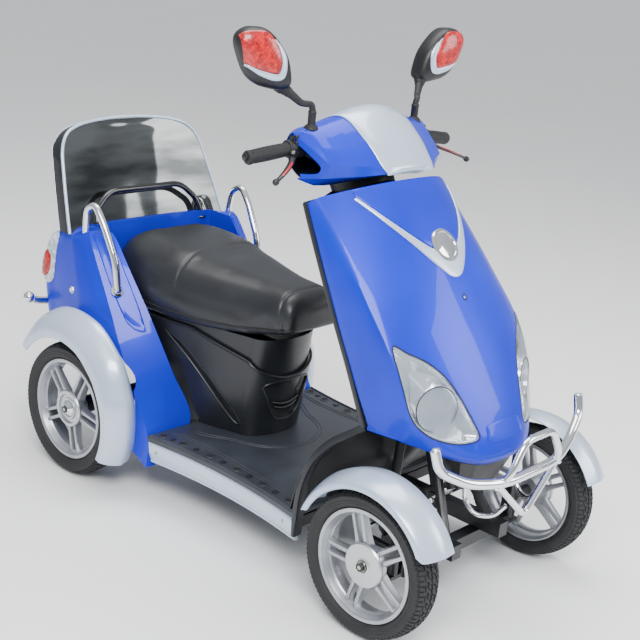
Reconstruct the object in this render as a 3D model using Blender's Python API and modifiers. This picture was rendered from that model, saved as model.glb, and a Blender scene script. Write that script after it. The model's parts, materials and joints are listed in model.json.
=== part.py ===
"""Four-wheeled electric mobility scooter with a front shield, saddle seat and tall back panel.

Metres, +Z up, -Y forward, +X to the vehicle's left. The origin is on the floor, under
the middle of the whole vehicle. Run it with blender --background --python part.py.
"""
import bpy
import bmesh
from math import cos, pi, radians, sin
from mathutils import Matrix, Vector
from mathutils.bvhtree import BVHTree

MODEL = "electric_mobility_scooter"
GAP = 0.0003
RUNNING_GAP = 0.0008
LEFT, RIGHT = 1, -1
SIDES = (("left", LEFT), ("right", RIGHT))

# Axles and wheels
FRONT_AXLE_Y = -0.610
REAR_AXLE_Y = 0.530
FRONT_HALF_TRACK = 0.338
REAR_BODY_HALF_WIDTH = 0.335
REAR_WHEEL_OUTSET = 0.027
REAR_HALF_TRACK = REAR_BODY_HALF_WIDTH + REAR_WHEEL_OUTSET
FRONT_TYRE_RADIUS = 0.186
REAR_TYRE_RADIUS = 0.198
FRONT_TYRE_WIDTH = 0.084
REAR_TYRE_WIDTH = 0.092
FRONT_TYRE_HEIGHT = 0.0435
REAR_TYRE_HEIGHT = 0.0480
FRONT_RIM_RADIUS = FRONT_TYRE_RADIUS - FRONT_TYRE_HEIGHT
REAR_RIM_RADIUS = REAR_TYRE_RADIUS - REAR_TYRE_HEIGHT
FRONT_RIM_WIDTH = 0.066
REAR_RIM_WIDTH = 0.072
RIM_LIP = 0.005
RIM_SEAT_DROP = 0.008
RIM_WALL = 0.008
SPOKE_PAIRS = 5
SPOKE_WIDTH = 0.011
SPOKE_DEPTH = 0.018
SPOKE_ROOT_OFFSET = 0.0125
SPOKE_TIP_OFFSET = 0.0140
RIM_FACE_DEPTH = 0.012
FRONT_HUB_RADIUS = 0.058
FRONT_HUB_DEPTH = 0.040
REAR_HUB_RADIUS = 0.056
REAR_HUB_DEPTH = 0.042
SPINDLE_RADIUS = 0.0105
WHEEL_FACETS = 30
HUB_BORE_RADIUS = 0.0120

# Steering
STEER_RAKE = radians(30.0)
STEER_TOP_Z = 1.030
COLUMN_RADIUS = 0.0185
HEAD_BORE_RADIUS = COLUMN_RADIUS + RUNNING_GAP
HEAD_TUBE_RADIUS = 0.0280
KINGPIN_INSET = 0.088
KINGPIN_X = FRONT_HALF_TRACK - KINGPIN_INSET
STEER_ARM = 0.100
TIE_ROD_Z = 0.206
TIE_ROD_RADIUS = 0.007

# Frame and floor
FLOOR_TOP = 0.207
FLOOR_THICKNESS = 0.020
FLOOR_FRONT_Y = -0.345
POST_FRONT_Y = 0.2360
FLOOR_REAR_Y = POST_FRONT_Y - 0.0005
FLOOR_HALF_WIDTH = REAR_BODY_HALF_WIDTH + 0.002
FLOOR_BOW = 0.026
RAIL_X = 0.100
RAIL_WIDTH = 0.036
RAIL_HEIGHT = 0.040
RAIL_FRONT_Y = -0.690
BEAM_SIZE = 0.036
SILL_BOTTOM = 0.120

# Body panels
PANEL_WALL = 0.004
TRIM_THICKNESS = 0.003

FLOOR_BOTTOM = FLOOR_TOP - FLOOR_THICKNESS
RAIL_TOP = FLOOR_BOTTOM - GAP
RAIL_Z = RAIL_TOP - RAIL_HEIGHT / 2
BEAM_TOP = RAIL_TOP - RAIL_HEIGHT - GAP
STEER_AXIS = Vector((0.0, sin(STEER_RAKE), cos(STEER_RAKE)))
STEER_ARM_DIRECTION = Vector((0.0, cos(STEER_RAKE), -sin(STEER_RAKE)))
TIE_ROD_Y = FRONT_AXLE_Y + STEER_ARM
STEER_TOP_Y = TIE_ROD_Y + ((STEER_TOP_Z - TIE_ROD_Z) * sin(STEER_RAKE) - STEER_ARM) / cos(STEER_RAKE)
STEER_TOP = Vector((0.0, STEER_TOP_Y, STEER_TOP_Z))


def steer_point(z):
    """The point of the steering axis at height z."""
    return STEER_TOP + STEER_AXIS * ((z - STEER_TOP.z) / STEER_AXIS.z)


# Tools

def clear_scene():
    for obj in list(bpy.data.objects):
        bpy.data.objects.remove(obj, do_unlink=True)


def collection(name):
    found = bpy.data.collections.get(name)
    if not found:
        found = bpy.data.collections.new(name)
        bpy.context.scene.collection.children.link(found)
    return found


def srgb(code):
    """A hex colour such as 1a3fbf as linear RGBA."""
    values = [int(code[i:i + 2], 16) / 255 for i in (0, 2, 4)]
    return [v / 12.92 if v < 0.04045 else ((v + 0.055) / 1.055) ** 2.4 for v in values] + [1.0]


# Materials: name, colour, roughness, metallic
FINISHES = (
    ("blue_paint", "1c3fc4", 0.18, 0.35),
    ("silver_paint", "dfe6ec", 0.25, 0.30),
    ("chrome", "d9dcdf", 0.08, 1.00),
    ("cast_aluminium", "a9adb2", 0.32, 0.90),
    ("black_steel", "17181a", 0.45, 0.40),
    ("black_plastic", "202327", 0.50, 0.00),
    ("seat_vinyl", "1b1c1f", 0.42, 0.00),
    ("rubber", "1a1a1b", 0.80, 0.00),
    ("lamp_glass", "e6eef2", 0.06, 0.10),
    ("tail_glass", "d8c4c4", 0.10, 0.00),
    ("smoked_gloss", "30343a", 0.04, 0.60),
)


def make_materials():
    for name, colour, roughness, metallic in FINISHES:
        made = bpy.data.materials.new(name)
        made.use_nodes = True
        shader = made.node_tree.nodes["Principled BSDF"]
        shader.inputs["Base Color"].default_value = srgb(colour)
        shader.inputs["Roughness"].default_value = roughness
        shader.inputs["Metallic"].default_value = metallic


def place(name, mesh, finish, smooth=35.0):
    """A finished mesh as the named object of the model."""
    obj = bpy.data.objects.new(name, mesh)
    collection(MODEL).objects.link(obj)
    mesh.materials.clear()
    mesh.materials.append(bpy.data.materials[finish])
    mesh.shade_smooth()
    mesh.set_sharp_from_angle(angle=radians(smooth))
    return obj


def to_mesh(bm, name="piece"):
    """A bmesh as mesh data; a closed one gets its normals turned out."""
    bmesh.ops.recalc_face_normals(bm, faces=bm.faces)
    mesh = bpy.data.meshes.new(name)
    bm.to_mesh(mesh)
    bm.free()
    return mesh


def evaluated(obj):
    """An object's mesh with its modifiers applied, in world space; the object is removed."""
    depsgraph = bpy.context.evaluated_depsgraph_get()
    mesh = bpy.data.meshes.new_from_object(obj.evaluated_get(depsgraph))
    mesh.transform(obj.matrix_world)
    bpy.data.objects.remove(obj, do_unlink=True)
    return mesh


def helper(mesh):
    """A temporary object for a mesh that is joined, cut or used to cut."""
    obj = bpy.data.objects.new("helper", mesh)
    obj.hide_render = True
    obj.display_type = "WIRE"
    collection("cutters").objects.link(obj)
    return obj


def combine(base, others, operation="UNION"):
    """The base mesh joined with, or cut by, the other meshes."""
    obj = helper(base)
    tools = [helper(mesh) for mesh in others]
    for tool in tools:
        change = obj.modifiers.new(operation.lower(), "BOOLEAN")
        change.operation = operation
        change.solver = "EXACT"
        change.object = tool
    bpy.context.view_layer.update()
    mesh = evaluated(obj)
    for tool in tools:
        bpy.data.objects.remove(tool, do_unlink=True)
    return mesh


def mirrored(mesh):
    """A copy of a mesh on the other side of the X = 0 plane."""
    other = mesh.copy()
    other.transform(Matrix.Scale(-1, 4, (1, 0, 0)))
    other.flip_normals()
    return other


def sided(mesh, side):
    return mesh if side == LEFT else mirrored(mesh)


def box(low, high, bevel=0.0):
    """A box mesh between two corners, with rounded edges if bevel is set."""
    low, high = Vector(low), Vector(high)
    bm = bmesh.new()
    bmesh.ops.create_cube(bm, size=1.0)
    bmesh.ops.scale(bm, vec=high - low, verts=bm.verts)
    bmesh.ops.translate(bm, vec=(low + high) / 2, verts=bm.verts)
    if bevel:
        bmesh.ops.bevel(bm, geom=bm.edges, offset=bevel, segments=2, profile=0.5, affect="EDGES")
    return to_mesh(bm)


def rod(start, end, radius, sides=16, radius_end=None):
    """A capped cylinder or cone between two points."""
    start, end = Vector(start), Vector(end)
    bm = bmesh.new()
    bmesh.ops.create_cone(bm, cap_ends=True, segments=sides, radius1=radius,
                          radius2=radius if radius_end is None else radius_end,
                          depth=(end - start).length)
    turn = (end - start).to_track_quat("Z", "Y").to_matrix().to_4x4()
    bm.transform(Matrix.Translation((start + end) / 2) @ turn)
    return to_mesh(bm)


def rounded(points, radius, steps=4):
    """A path through the points with its inner corners rounded."""
    points = [Vector(p) for p in points]
    path = [points[0]]
    for before, corner, after in zip(points, points[1:], points[2:]):
        to_before = (before - corner).normalized()
        to_after = (after - corner).normalized()
        reach = min(radius, (before - corner).length * 0.45, (after - corner).length * 0.45)
        a, b = corner + to_before * reach, corner + to_after * reach
        for i in range(steps + 1):
            t = i / steps
            path.append(a * (1 - t) ** 2 + corner * 2 * t * (1 - t) + b * t * t)
    return path + [points[-1]]


def tube(points, radius, resolution=3, cyclic=False):
    """A round tube with filled ends along a path, as a mesh."""
    curve = bpy.data.curves.new("tube", "CURVE")
    curve.dimensions = "3D"
    curve.bevel_depth = radius
    curve.bevel_resolution = resolution
    curve.use_fill_caps = not cyclic
    spline = curve.splines.new("POLY")
    spline.points.add(len(points) - 1)
    spline.use_cyclic_u = cyclic
    for slot, point in zip(spline.points, points):
        slot.co = (*point, 1.0)
    obj = bpy.data.objects.new("tube", curve)
    collection("cutters").objects.link(obj)
    bpy.context.view_layer.update()
    mesh = evaluated(obj)
    bm = bmesh.new()
    bm.from_mesh(mesh)
    bmesh.ops.remove_doubles(bm, verts=bm.verts, dist=0.00001)
    return to_mesh(bm)


def loft(rings, cyclic=False):
    """A closed solid through closed rings of the same number of points."""
    bm = bmesh.new()
    made = [[bm.verts.new(point) for point in ring] for ring in rings]
    count = len(made[0])
    pairs = list(zip(made, made[1:])) + ([(made[-1], made[0])] if cyclic else [])
    for near, far in pairs:
        for i in range(count):
            j = (i + 1) % count
            bm.faces.new((near[i], near[j], far[j], far[i]))
    if not cyclic:
        bm.faces.new(made[0])
        bm.faces.new(list(reversed(made[-1])))
    return to_mesh(bm)


def shell(rows, wall, mirror=False, offset=-1.0, weld=0.0):
    """A bowed sheet through rows of points, thickened inwards from its outer side."""
    bm = bmesh.new()
    made = [[bm.verts.new(point) for point in row] for row in rows]
    for near, far in zip(made, made[1:]):
        for i in range(len(near) - 1):
            bm.faces.new((near[i], near[i + 1], far[i + 1], far[i]))
    if weld:
        bmesh.ops.remove_doubles(bm, verts=bm.verts, dist=weld)
    middle = sum((v.co for v in bm.verts), Vector()) / len(bm.verts)
    if mirror:
        middle.x = 0.0
    bm.normal_update()
    if sum(f.calc_area() * f.normal.dot(f.calc_center_median() - middle) for f in bm.faces) < 0:
        bmesh.ops.reverse_faces(bm, faces=bm.faces)
    mesh = bpy.data.meshes.new("sheet")
    bm.to_mesh(mesh)
    bm.free()
    obj = helper(mesh)
    if mirror:
        flip = obj.modifiers.new("other half", "MIRROR")
        flip.merge_threshold = 0.0001
    thick = obj.modifiers.new("wall", "SOLIDIFY")
    thick.thickness = wall
    thick.offset = offset
    thick.use_even_offset = True
    bpy.context.view_layer.update()
    return evaluated(obj)


def turned(profile, steps, axis="X"):
    """A ring turned from a closed profile of (axial, radius) points, about X or Z."""
    bm = bmesh.new()
    made = [bm.verts.new((radius, 0.0, axial)) for axial, radius in profile]
    for a, b in zip(made, made[1:] + made[:1]):
        bm.edges.new((a, b))
    mesh = bpy.data.meshes.new("profile")
    bm.to_mesh(mesh)
    bm.free()
    obj = helper(mesh)
    screw = obj.modifiers.new("turn", "SCREW")
    screw.steps = steps
    screw.render_steps = steps
    screw.use_merge_vertices = True
    screw.merge_threshold = 0.00001
    bpy.context.view_layer.update()
    made = evaluated(obj)
    if axis == "X":
        made.transform(Matrix.Rotation(pi / 2, 4, "Y"))
    bm = bmesh.new()
    bm.from_mesh(made)
    return to_mesh(bm)


def pivot(obj, point):
    """Puts the object's origin on its joint's axis without moving its surface."""
    point = Vector(point)
    obj.data.transform(Matrix.Translation(-point))
    obj.location = point
    return obj


# Wheels

def tyre_mesh(radius, width, rim_radius, rim_width):
    """A tyre with rounded shoulders, seated between the rim's lips."""
    half = width / 2
    bead = rim_width / 2 - RIM_LIP - 0.001 - GAP
    seat = rim_radius - RIM_SEAT_DROP + GAP
    side = [
        (bead, seat),
        (bead, rim_radius + 0.002),
        (half, rim_radius + (radius - rim_radius) * 0.45),
        (half * 0.90, radius - 0.011),
        (half * 0.45, radius),
    ]
    return turned(side + [(-x, r) for x, r in reversed(side)], WHEEL_FACETS)


def rim_mesh(rim_radius, rim_width, hub_radius, hub_depth, twist):
    """A cast rim: barrel, hub and pairs of split spokes, its face towards +X."""
    half = rim_width / 2
    seat = rim_radius - RIM_SEAT_DROP
    inner = seat - RIM_WALL
    barrel = turned([
        (half, rim_radius), (half - RIM_LIP, rim_radius), (half - RIM_LIP - 0.001, seat),
        (-half + RIM_LIP + 0.001, seat), (-half + RIM_LIP, rim_radius), (-half, rim_radius),
        (-half + 0.003, inner), (half - 0.006, inner),
    ], WHEEL_FACETS)
    spokes = []
    face = half - RIM_FACE_DEPTH
    for pair in range(SPOKE_PAIRS):
        for lean in (-1, 1):
            angle = 2 * pi * pair / SPOKE_PAIRS + twist
            root = Vector((0.0, cos(angle), sin(angle))) * (hub_radius - 0.008)
            across = Vector((0.0, -sin(angle), cos(angle))) * lean
            tip = Vector((0.0, cos(angle), sin(angle))) * (inner + 0.004)
            a, b = root + across * SPOKE_ROOT_OFFSET, tip + across * SPOKE_TIP_OFFSET
            rings = []
            for end, deep in ((a, SPOKE_DEPTH * 1.25), (b, SPOKE_DEPTH)):
                wide = across.normalized() * SPOKE_WIDTH / 2
                high = Vector((face, 0.0, 0.0))
                low = Vector((face - deep, 0.0, 0.0))
                rings.append([end + high - wide * 0.7, end + high + wide * 0.7,
                              end + low + wide, end + low - wide])
            spokes.append(loft(rings))
    hub = turned([
        (face + 0.004, HUB_BORE_RADIUS), (face + 0.004, hub_radius - 0.003),
        (face + 0.001, hub_radius), (face - 0.010, hub_radius + 0.001),
        (face - hub_depth, hub_radius * 0.55), (face - hub_depth, HUB_BORE_RADIUS),
    ], 16)
    return combine(barrel, [hub] + spokes)


# Wheel table: name, axle y, half track, tyre radius, tyre width, rim radius, rim width,
# hub radius, hub depth, spoke twist
WHEELS = (
    ("front", FRONT_AXLE_Y, FRONT_HALF_TRACK, FRONT_TYRE_RADIUS, FRONT_TYRE_WIDTH,
     FRONT_RIM_RADIUS, FRONT_RIM_WIDTH, FRONT_HUB_RADIUS, FRONT_HUB_DEPTH, 0.35),
    ("rear", REAR_AXLE_Y, REAR_HALF_TRACK, REAR_TYRE_RADIUS, REAR_TYRE_WIDTH,
     REAR_RIM_RADIUS, REAR_RIM_WIDTH, REAR_HUB_RADIUS, REAR_HUB_DEPTH, 0.80),
)


def build_wheels():
    for end, axle_y, half_track, tyre_radius, tyre_width, rim_radius, rim_width, hub, deep, twist in WHEELS:
        tyre = tyre_mesh(tyre_radius, tyre_width, rim_radius, rim_width)
        rim = rim_mesh(rim_radius, rim_width, hub, deep, twist)
        for word, side in SIDES:
            centre = Vector((side * half_track, axle_y, tyre_radius))
            for part, mesh, finish in (("tyre", tyre, "rubber"), ("rim", rim, "cast_aluminium")):
                obj = place(f"{part}_{end}_{word}", sided(mesh.copy(), side), finish)
                obj.location = centre


# Chassis

def swept_rail(x, path):
    """A box rail along a path of (y, z) points, mitred at its bends."""
    rings = []
    for i, (y, z) in enumerate(path):
        before = Vector(path[max(i - 1, 0)])
        after = Vector(path[min(i + 1, len(path) - 1)])
        along = (after - before).normalized()
        up = Vector((-along.y, along.x)) * RAIL_HEIGHT / 2
        half = RAIL_WIDTH / 2
        rings.append([(x - half, y - up.x, z - up.y), (x + half, y - up.x, z - up.y),
                      (x + half, y + up.x, z + up.y), (x - half, y + up.x, z + up.y)])
    return loft(rings)


REAR_RAIL_Z = 0.315
RAIL_REAR_Y = 0.770
SILL_REACH = 0.031
CROSS_SIZE = 0.030
# Floor cross members by y
CROSS_MEMBERS = (-0.325, -0.060, 0.205)


def build_frame():
    path = ((RAIL_FRONT_Y, RAIL_Z), (0.340, RAIL_Z), (0.430, REAR_RAIL_Z), (RAIL_REAR_Y, REAR_RAIL_Z))
    left_rail = swept_rail(RAIL_X, path)
    pieces = [mirrored(left_rail)]
    half = CROSS_SIZE / 2
    for y in CROSS_MEMBERS:
        reach = floor_edge(y) - SILL_REACH
        pieces.append(box((-reach, y - half, RAIL_Z - half), (reach, y + half, RAIL_Z + half)))
    pieces.append(box((-RAIL_X, 0.745 - half, REAR_RAIL_Z - half), (RAIL_X, 0.745 + half, REAR_RAIL_Z + half)))
    head_low, head_high = steer_point(0.400), steer_point(0.860)
    pieces.append(rod(head_low, head_high, HEAD_TUBE_RADIUS, 20))
    for side in (LEFT, RIGHT):
        foot = Vector((side * RAIL_X, -0.655, RAIL_TOP - 0.010))
        pieces.append(rod(foot, steer_point(0.430) + Vector((side * 0.010, 0, 0)), 0.013, 10))
        foot = Vector((side * RAIL_X, -0.465, RAIL_TOP - 0.010))
        pieces.append(rod(foot, steer_point(0.560) + Vector((side * 0.010, 0, 0)), 0.013, 10))
    body = combine(left_rail, pieces)
    bore = rod(steer_point(0.30), steer_point(0.95), HEAD_BORE_RADIUS, 20)
    place("frame", combine(body, [bore], "DIFFERENCE"), "black_steel")


YOKE_X = KINGPIN_X - 0.030
YOKE_WALL = 0.010
YOKE_TOP = FRONT_TYRE_RADIUS + 0.060
KNUCKLE_RADIUS = 0.017


def build_front_beam():
    """The axle beam with a C-shaped yoke at each end that holds a knuckle."""
    low = BEAM_TOP - BEAM_SIZE
    beam = box((-YOKE_X - 0.004, FRONT_AXLE_Y - BEAM_SIZE / 2, low),
               (YOKE_X + 0.004, FRONT_AXLE_Y + BEAM_SIZE / 2, BEAM_TOP))
    reach = KINGPIN_X + KNUCKLE_RADIUS + 0.003
    pieces = []
    for side in (LEFT, RIGHT):
        profile = ((YOKE_X, low + 0.004), (reach, low + 0.004), (reach, low + 0.004 + YOKE_WALL),
                   (YOKE_X + YOKE_WALL, low + 0.004 + YOKE_WALL), (YOKE_X + YOKE_WALL, YOKE_TOP - YOKE_WALL),
                   (reach, YOKE_TOP - YOKE_WALL), (reach, YOKE_TOP), (YOKE_X, YOKE_TOP))
        half = BEAM_SIZE / 2 - 0.004
        rings = [[(side * x, FRONT_AXLE_Y + y, z) for x, z in profile] for y in (-half, half)]
        pieces.append(loft(rings))
    place("front_beam", combine(beam, pieces), "black_steel")


# The fender bracket on a knuckle: how far out it rises and ends, and how high above the axle
BRACKET_INNER = 0.029
BRACKET_OUTER = 0.052
BRACKET_RISE = 0.2114


def build_knuckles():
    """Kingpin post, wheel spindle and steering arm, turning in the beam's yoke."""
    low = BEAM_TOP - BEAM_SIZE + 0.004 + YOKE_WALL + GAP
    high = YOKE_TOP - YOKE_WALL - GAP
    axle = Vector((KINGPIN_X, FRONT_AXLE_Y, FRONT_TYRE_RADIUS))
    post = rod((axle.x, axle.y, low), (axle.x, axle.y, high), KNUCKLE_RADIUS - 0.003, 12)
    spindle_end = FRONT_HALF_TRACK + FRONT_RIM_WIDTH / 2 + 0.001
    spindle = rod(axle, (spindle_end, axle.y, axle.z), SPINDLE_RADIUS, 12)
    hub_face = FRONT_HALF_TRACK + FRONT_RIM_WIDTH / 2 - RIM_FACE_DEPTH - FRONT_HUB_DEPTH
    shoulder = rod(axle + Vector((0.004, 0, 0)), (hub_face - GAP, axle.y, axle.z), 0.016, 12)
    arm_top = TIE_ROD_Z - TIE_ROD_RADIUS - 0.003
    arm = box((axle.x - 0.006, axle.y, arm_top - 0.012),
              (axle.x + 0.010, axle.y + STEER_ARM + 0.011, arm_top))
    nut = rod((spindle_end - 0.0005, axle.y, axle.z), (spindle_end + 0.009, axle.y, axle.z), 0.0115, 6)
    arch_y = 0.030
    inner, outer = axle.x + BRACKET_INNER, axle.x + BRACKET_OUTER
    top = axle.z + BRACKET_RISE
    bracket = tube(rounded([(axle.x + 0.002, axle.y + arch_y, axle.z + 0.030),
                            (inner, axle.y + arch_y, axle.z + 0.064), (inner, axle.y + arch_y, top),
                            (outer, axle.y + arch_y, top)], 0.012, 3), 0.006, 1)
    ear = box((axle.x - 0.006, axle.y + 0.004, axle.z + 0.018),
              (axle.x + 0.010, axle.y + arch_y + 0.008, axle.z + 0.040))
    mesh = combine(post, [spindle, shoulder, arm, nut, ear, bracket])
    for word, side in SIDES:
        obj = place(f"knuckle_{word}", sided(mesh.copy(), side), "black_steel")
        pivot(obj, (side * KINGPIN_X, FRONT_AXLE_Y, 0.0))


EYE_RADIUS = 0.0170
EYE_BORE = 0.0095
EYE_THICKNESS = 0.0120
PIN_RADIUS = 0.0060


def build_tie_rod():
    """One rod between the knuckle arms with an eye in the middle for the column's pin."""
    y = TIE_ROD_Y
    half = EYE_THICKNESS / 2
    eye = turned([(-half, EYE_BORE), (-half, EYE_RADIUS), (half, EYE_RADIUS), (half, EYE_BORE)], 14, "Z")
    eye.transform(Matrix.Translation((0.0, y, TIE_ROD_Z)) @ Matrix.Rotation(-STEER_RAKE, 4, "X"))
    bars = [rod((s * (EYE_BORE + 0.002), y, TIE_ROD_Z), (s * (KINGPIN_X + 0.008), y, TIE_ROD_Z), TIE_ROD_RADIUS, 8)
            for s in (LEFT, RIGHT)]
    ends = [rod((x, y, TIE_ROD_Z - TIE_ROD_RADIUS - 0.003 + GAP), (x, y, TIE_ROD_Z + 0.009), 0.0105, 8)
            for x in (-KINGPIN_X, KINGPIN_X)]
    pivot(place("tie_rod", combine(eye, bars + ends), "chrome"), (KINGPIN_X, y, TIE_ROD_Z))


def build_rear_axle():
    """Motor and gearbox block on the axle tube, hung under the rails by two saddles."""
    axle = Vector((0.0, REAR_AXLE_Y, REAR_TYRE_RADIUS))
    hub_face = REAR_HALF_TRACK + REAR_RIM_WIDTH / 2 - RIM_FACE_DEPTH - REAR_HUB_DEPTH
    end = REAR_HALF_TRACK + REAR_RIM_WIDTH / 2 + 0.001
    spindle = rod((-end, axle.y, axle.z), (end, axle.y, axle.z), SPINDLE_RADIUS, 16)
    casing = rod((-hub_face + GAP, axle.y, axle.z), (hub_face - GAP, axle.y, axle.z), 0.026, 16)
    gearbox = box((-0.060, axle.y - 0.085, axle.z - 0.075), (0.055, axle.y + 0.075, axle.z + 0.070))
    motor = rod((0.040, axle.y - 0.020, axle.z), (0.205, axle.y - 0.020, axle.z), 0.062, 18)
    saddles = [box((x - 0.020, axle.y - 0.030, axle.z), (x + 0.020, axle.y + 0.030,
                   REAR_RAIL_Z - RAIL_HEIGHT / 2 - GAP)) for x in (-RAIL_X, RAIL_X)]
    nuts = [rod((x - 0.0005 * s, axle.y, axle.z), (x + 0.009 * s, axle.y, axle.z), 0.0115, 6)
            for x, s in ((-end, -1), (end, 1))]
    place("rear_axle_motor", combine(casing, [spindle, gearbox, motor] + saddles + nuts), "black_steel")


def floor_edge(y):
    """The floor's half width at y: bowed inwards between its front and rear corners."""
    middle = (FLOOR_FRONT_Y + FLOOR_REAR_Y) / 2
    reach = (FLOOR_REAR_Y - FLOOR_FRONT_Y) / 2
    return FLOOR_HALF_WIDTH - FLOOR_BOW * (1 - ((y - middle) / reach) ** 2)


def build_floor():
    steps = 10
    length = FLOOR_REAR_Y - FLOOR_FRONT_Y
    side = [(floor_edge(FLOOR_FRONT_Y + length * i / steps), FLOOR_FRONT_Y + length * i / steps)
            for i in range(steps + 1)]
    outline = side + [(-x, y) for x, y in reversed(side)]
    bm = bmesh.new()
    face = bm.faces.new([bm.verts.new((x, y, FLOOR_BOTTOM)) for x, y in outline])
    made = bmesh.ops.extrude_face_region(bm, geom=[face])
    top = [v for v in made["geom"] if isinstance(v, bmesh.types.BMVert)]
    bmesh.ops.translate(bm, vec=(0, 0, FLOOR_THICKNESS), verts=top)
    place("floorboard", to_mesh(bm), "black_plastic")
    for word, side_sign in SIDES:
        rings = []
        for i in range(steps + 1):
            y = FLOOR_FRONT_Y + 0.004 + (length - 0.008) * i / steps
            x = floor_edge(y)
            top_z, low_z = FLOOR_BOTTOM - GAP, SILL_BOTTOM
            rings.append([(side_sign * (x + dx), y, z) for dx, z in (
                (-0.003, top_z), (-0.006, (top_z + low_z) / 2), (-0.018, low_z),
                (-0.032, low_z - 0.004), (-0.030, low_z + 0.004), (-0.018, (top_z + low_z) / 2),
                (-0.030, top_z))])
        place(f"sill_{word}", loft(rings), "silver_paint")


# Front body. Columns of SHIELD_ROWS: centre y, z; crease x, y, z; rear edge x, y, z
SHIELD_ROWS = (
    (-0.344, 1.036, 0.232, -0.243, 0.988, 0.255, -0.221, 0.969),
    (-0.400, 0.965, 0.243, -0.315, 0.918, 0.258, -0.261, 0.896),
    (-0.458, 0.892, 0.252, -0.383, 0.848, 0.261, -0.301, 0.822),
    (-0.520, 0.808, 0.258, -0.455, 0.770, 0.263, -0.343, 0.745),
    (-0.585, 0.712, 0.261, -0.530, 0.685, 0.264, -0.385, 0.668),
    (-0.645, 0.610, 0.256, -0.580, 0.600, 0.263, -0.424, 0.597),
    (-0.700, 0.510, 0.244, -0.600, 0.530, 0.262, -0.462, 0.530),
    (-0.735, 0.430, 0.215, -0.622, 0.465, 0.258, -0.493, 0.473),
)
SHIELD_FLATNESS = 2.4
SHIELD_BOTTOM_TUCK = Vector((0.0, 0.030, -0.035))


def shield_row(row, points=6):
    yc, zc, xr, yr, zr, xe, ye, ze = row
    line = []
    for i in range(points):
        t = i / (points - 1)
        fall = t ** SHIELD_FLATNESS
        line.append(Vector((xr * t, yc + (yr - yc) * fall, zc + (zr - zc) * fall)))
    crease, edge = line[-1], Vector((xe, ye, ze))
    line.append(crease.lerp(edge, 0.12) + Vector((0.004, 0, 0)))
    line.append(crease.lerp(edge, 0.55) + Vector((0.004, 0, 0)))
    line.append(edge)
    return line


def shield_rows():
    rows = [shield_row(row) for row in SHIELD_ROWS]
    last = rows[-1]
    tuck = []
    for i, point in enumerate(last):
        share = max(0.0, 1 - i / (len(last) - 2))
        tuck.append(point + SHIELD_BOTTOM_TUCK * (0.15 + 0.85 * share))
    return rows + [tuck]


def surface_of(mesh):
    """A search tree of a sheet, used to lay trim and lamps on it."""
    mesh.calc_loop_triangles()
    points = [v.co.copy() for v in mesh.vertices]
    return BVHTree.FromPolygons(points, [tuple(t.vertices) for t in mesh.loop_triangles])


def resting_z(tree, x, y, radius):
    """The lowest height at which a level disc clears the sheet below it by the gap."""
    spots = [(x + radius * share * cos(i * pi / 16), y + radius * share * sin(i * pi / 16))
             for share in (0.0, 0.2, 0.4, 0.6, 0.8, 1.0) for i in range(32)]
    hits = [tree.ray_cast(Vector((px, py, 2.0)), Vector((0, 0, -1)))[0] for px, py in spots]
    return max(hit.z for hit in hits if hit) + GAP


def triangulated(mesh):
    """The mesh with its faces split into triangles, so that nothing splits them another way."""
    bm = bmesh.new()
    bm.from_mesh(mesh)
    bmesh.ops.triangulate(bm, faces=bm.faces)
    bm.to_mesh(mesh)
    bm.free()
    return mesh


def on_surface(tree, x, z):
    """The point and outward normal of a front sheet at (x, z), seen from the front."""
    spot, normal, _, _ = tree.ray_cast(Vector((abs(x), -2.0, z)), Vector((0, 1, 0)))
    if normal.y > 0:
        normal = -normal
    return spot, normal


# Headlamp outline in the front view, left lamp: x, z
LAMP_OUTLINE = (
    (0.250, 0.690), (0.222, 0.676), (0.183, 0.655), (0.148, 0.622), (0.122, 0.575), (0.104, 0.525),
    (0.093, 0.482), (0.128, 0.472), (0.166, 0.474), (0.203, 0.488), (0.232, 0.518), (0.248, 0.565),
    (0.255, 0.630),
)
LAMP_DEPTH = 0.030
LAMP_BULGE = 0.006


def lamp_ring(tree, scale, push, clearance=0.0):
    """The lamp's outline on the shield, scaled about its middle and pushed outwards."""
    middle = Vector((0.185, 0.0, 0.560))
    ring = []
    for x, z in LAMP_OUTLINE:
        at = Vector((x, 0, z)) - middle
        at = at * scale + at.normalized() * clearance + middle
        spot, _ = on_surface(tree, min(at.x, 0.2575), at.z)
        ring.append(Vector((at.x, spot.y - push, at.z)))
    return ring


def build_front_body():
    rows = shield_rows()
    sheet = triangulated(shell(rows, PANEL_WALL, mirror=True))
    tree = surface_of(sheet)
    cutter = loft([lamp_ring(tree, 1.0, 0.03), lamp_ring(tree, 1.0, -LAMP_DEPTH - 0.02)])
    shield = combine(sheet, [cutter, mirrored(cutter)], "DIFFERENCE")
    place("front_shield", shield, "blue_paint")
    lamp = loft([lamp_ring(tree, 1.0, -LAMP_DEPTH, -0.0012), lamp_ring(tree, 1.0, 0.0, -0.0006),
                 lamp_ring(tree, 0.86, LAMP_BULGE * 0.7), lamp_ring(tree, 0.45, LAMP_BULGE)])
    for word, side in SIDES:
        place(f"headlamp_{word}", sided(lamp.copy(), side), "lamp_glass")
    build_v_trim(tree)
    build_neck_cover(tree, build_leg_shield())
    build_arch_lips()
    build_undertray(rows)


# V trim centre line in the front view: x, z, half width
V_LINE = (
    (0.182, 0.985, 0.006), (0.135, 0.930, 0.008), (0.085, 0.882, 0.010), (0.040, 0.850, 0.012),
)
V_TIP_TOP = V_LINE[-1][1] + V_LINE[-1][2]
V_TIP_DEPTH = 0.036
V_STEPS = (0.0, 0.34, 0.67, 1.0)
TRIM_GAP = 0.0010


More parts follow.
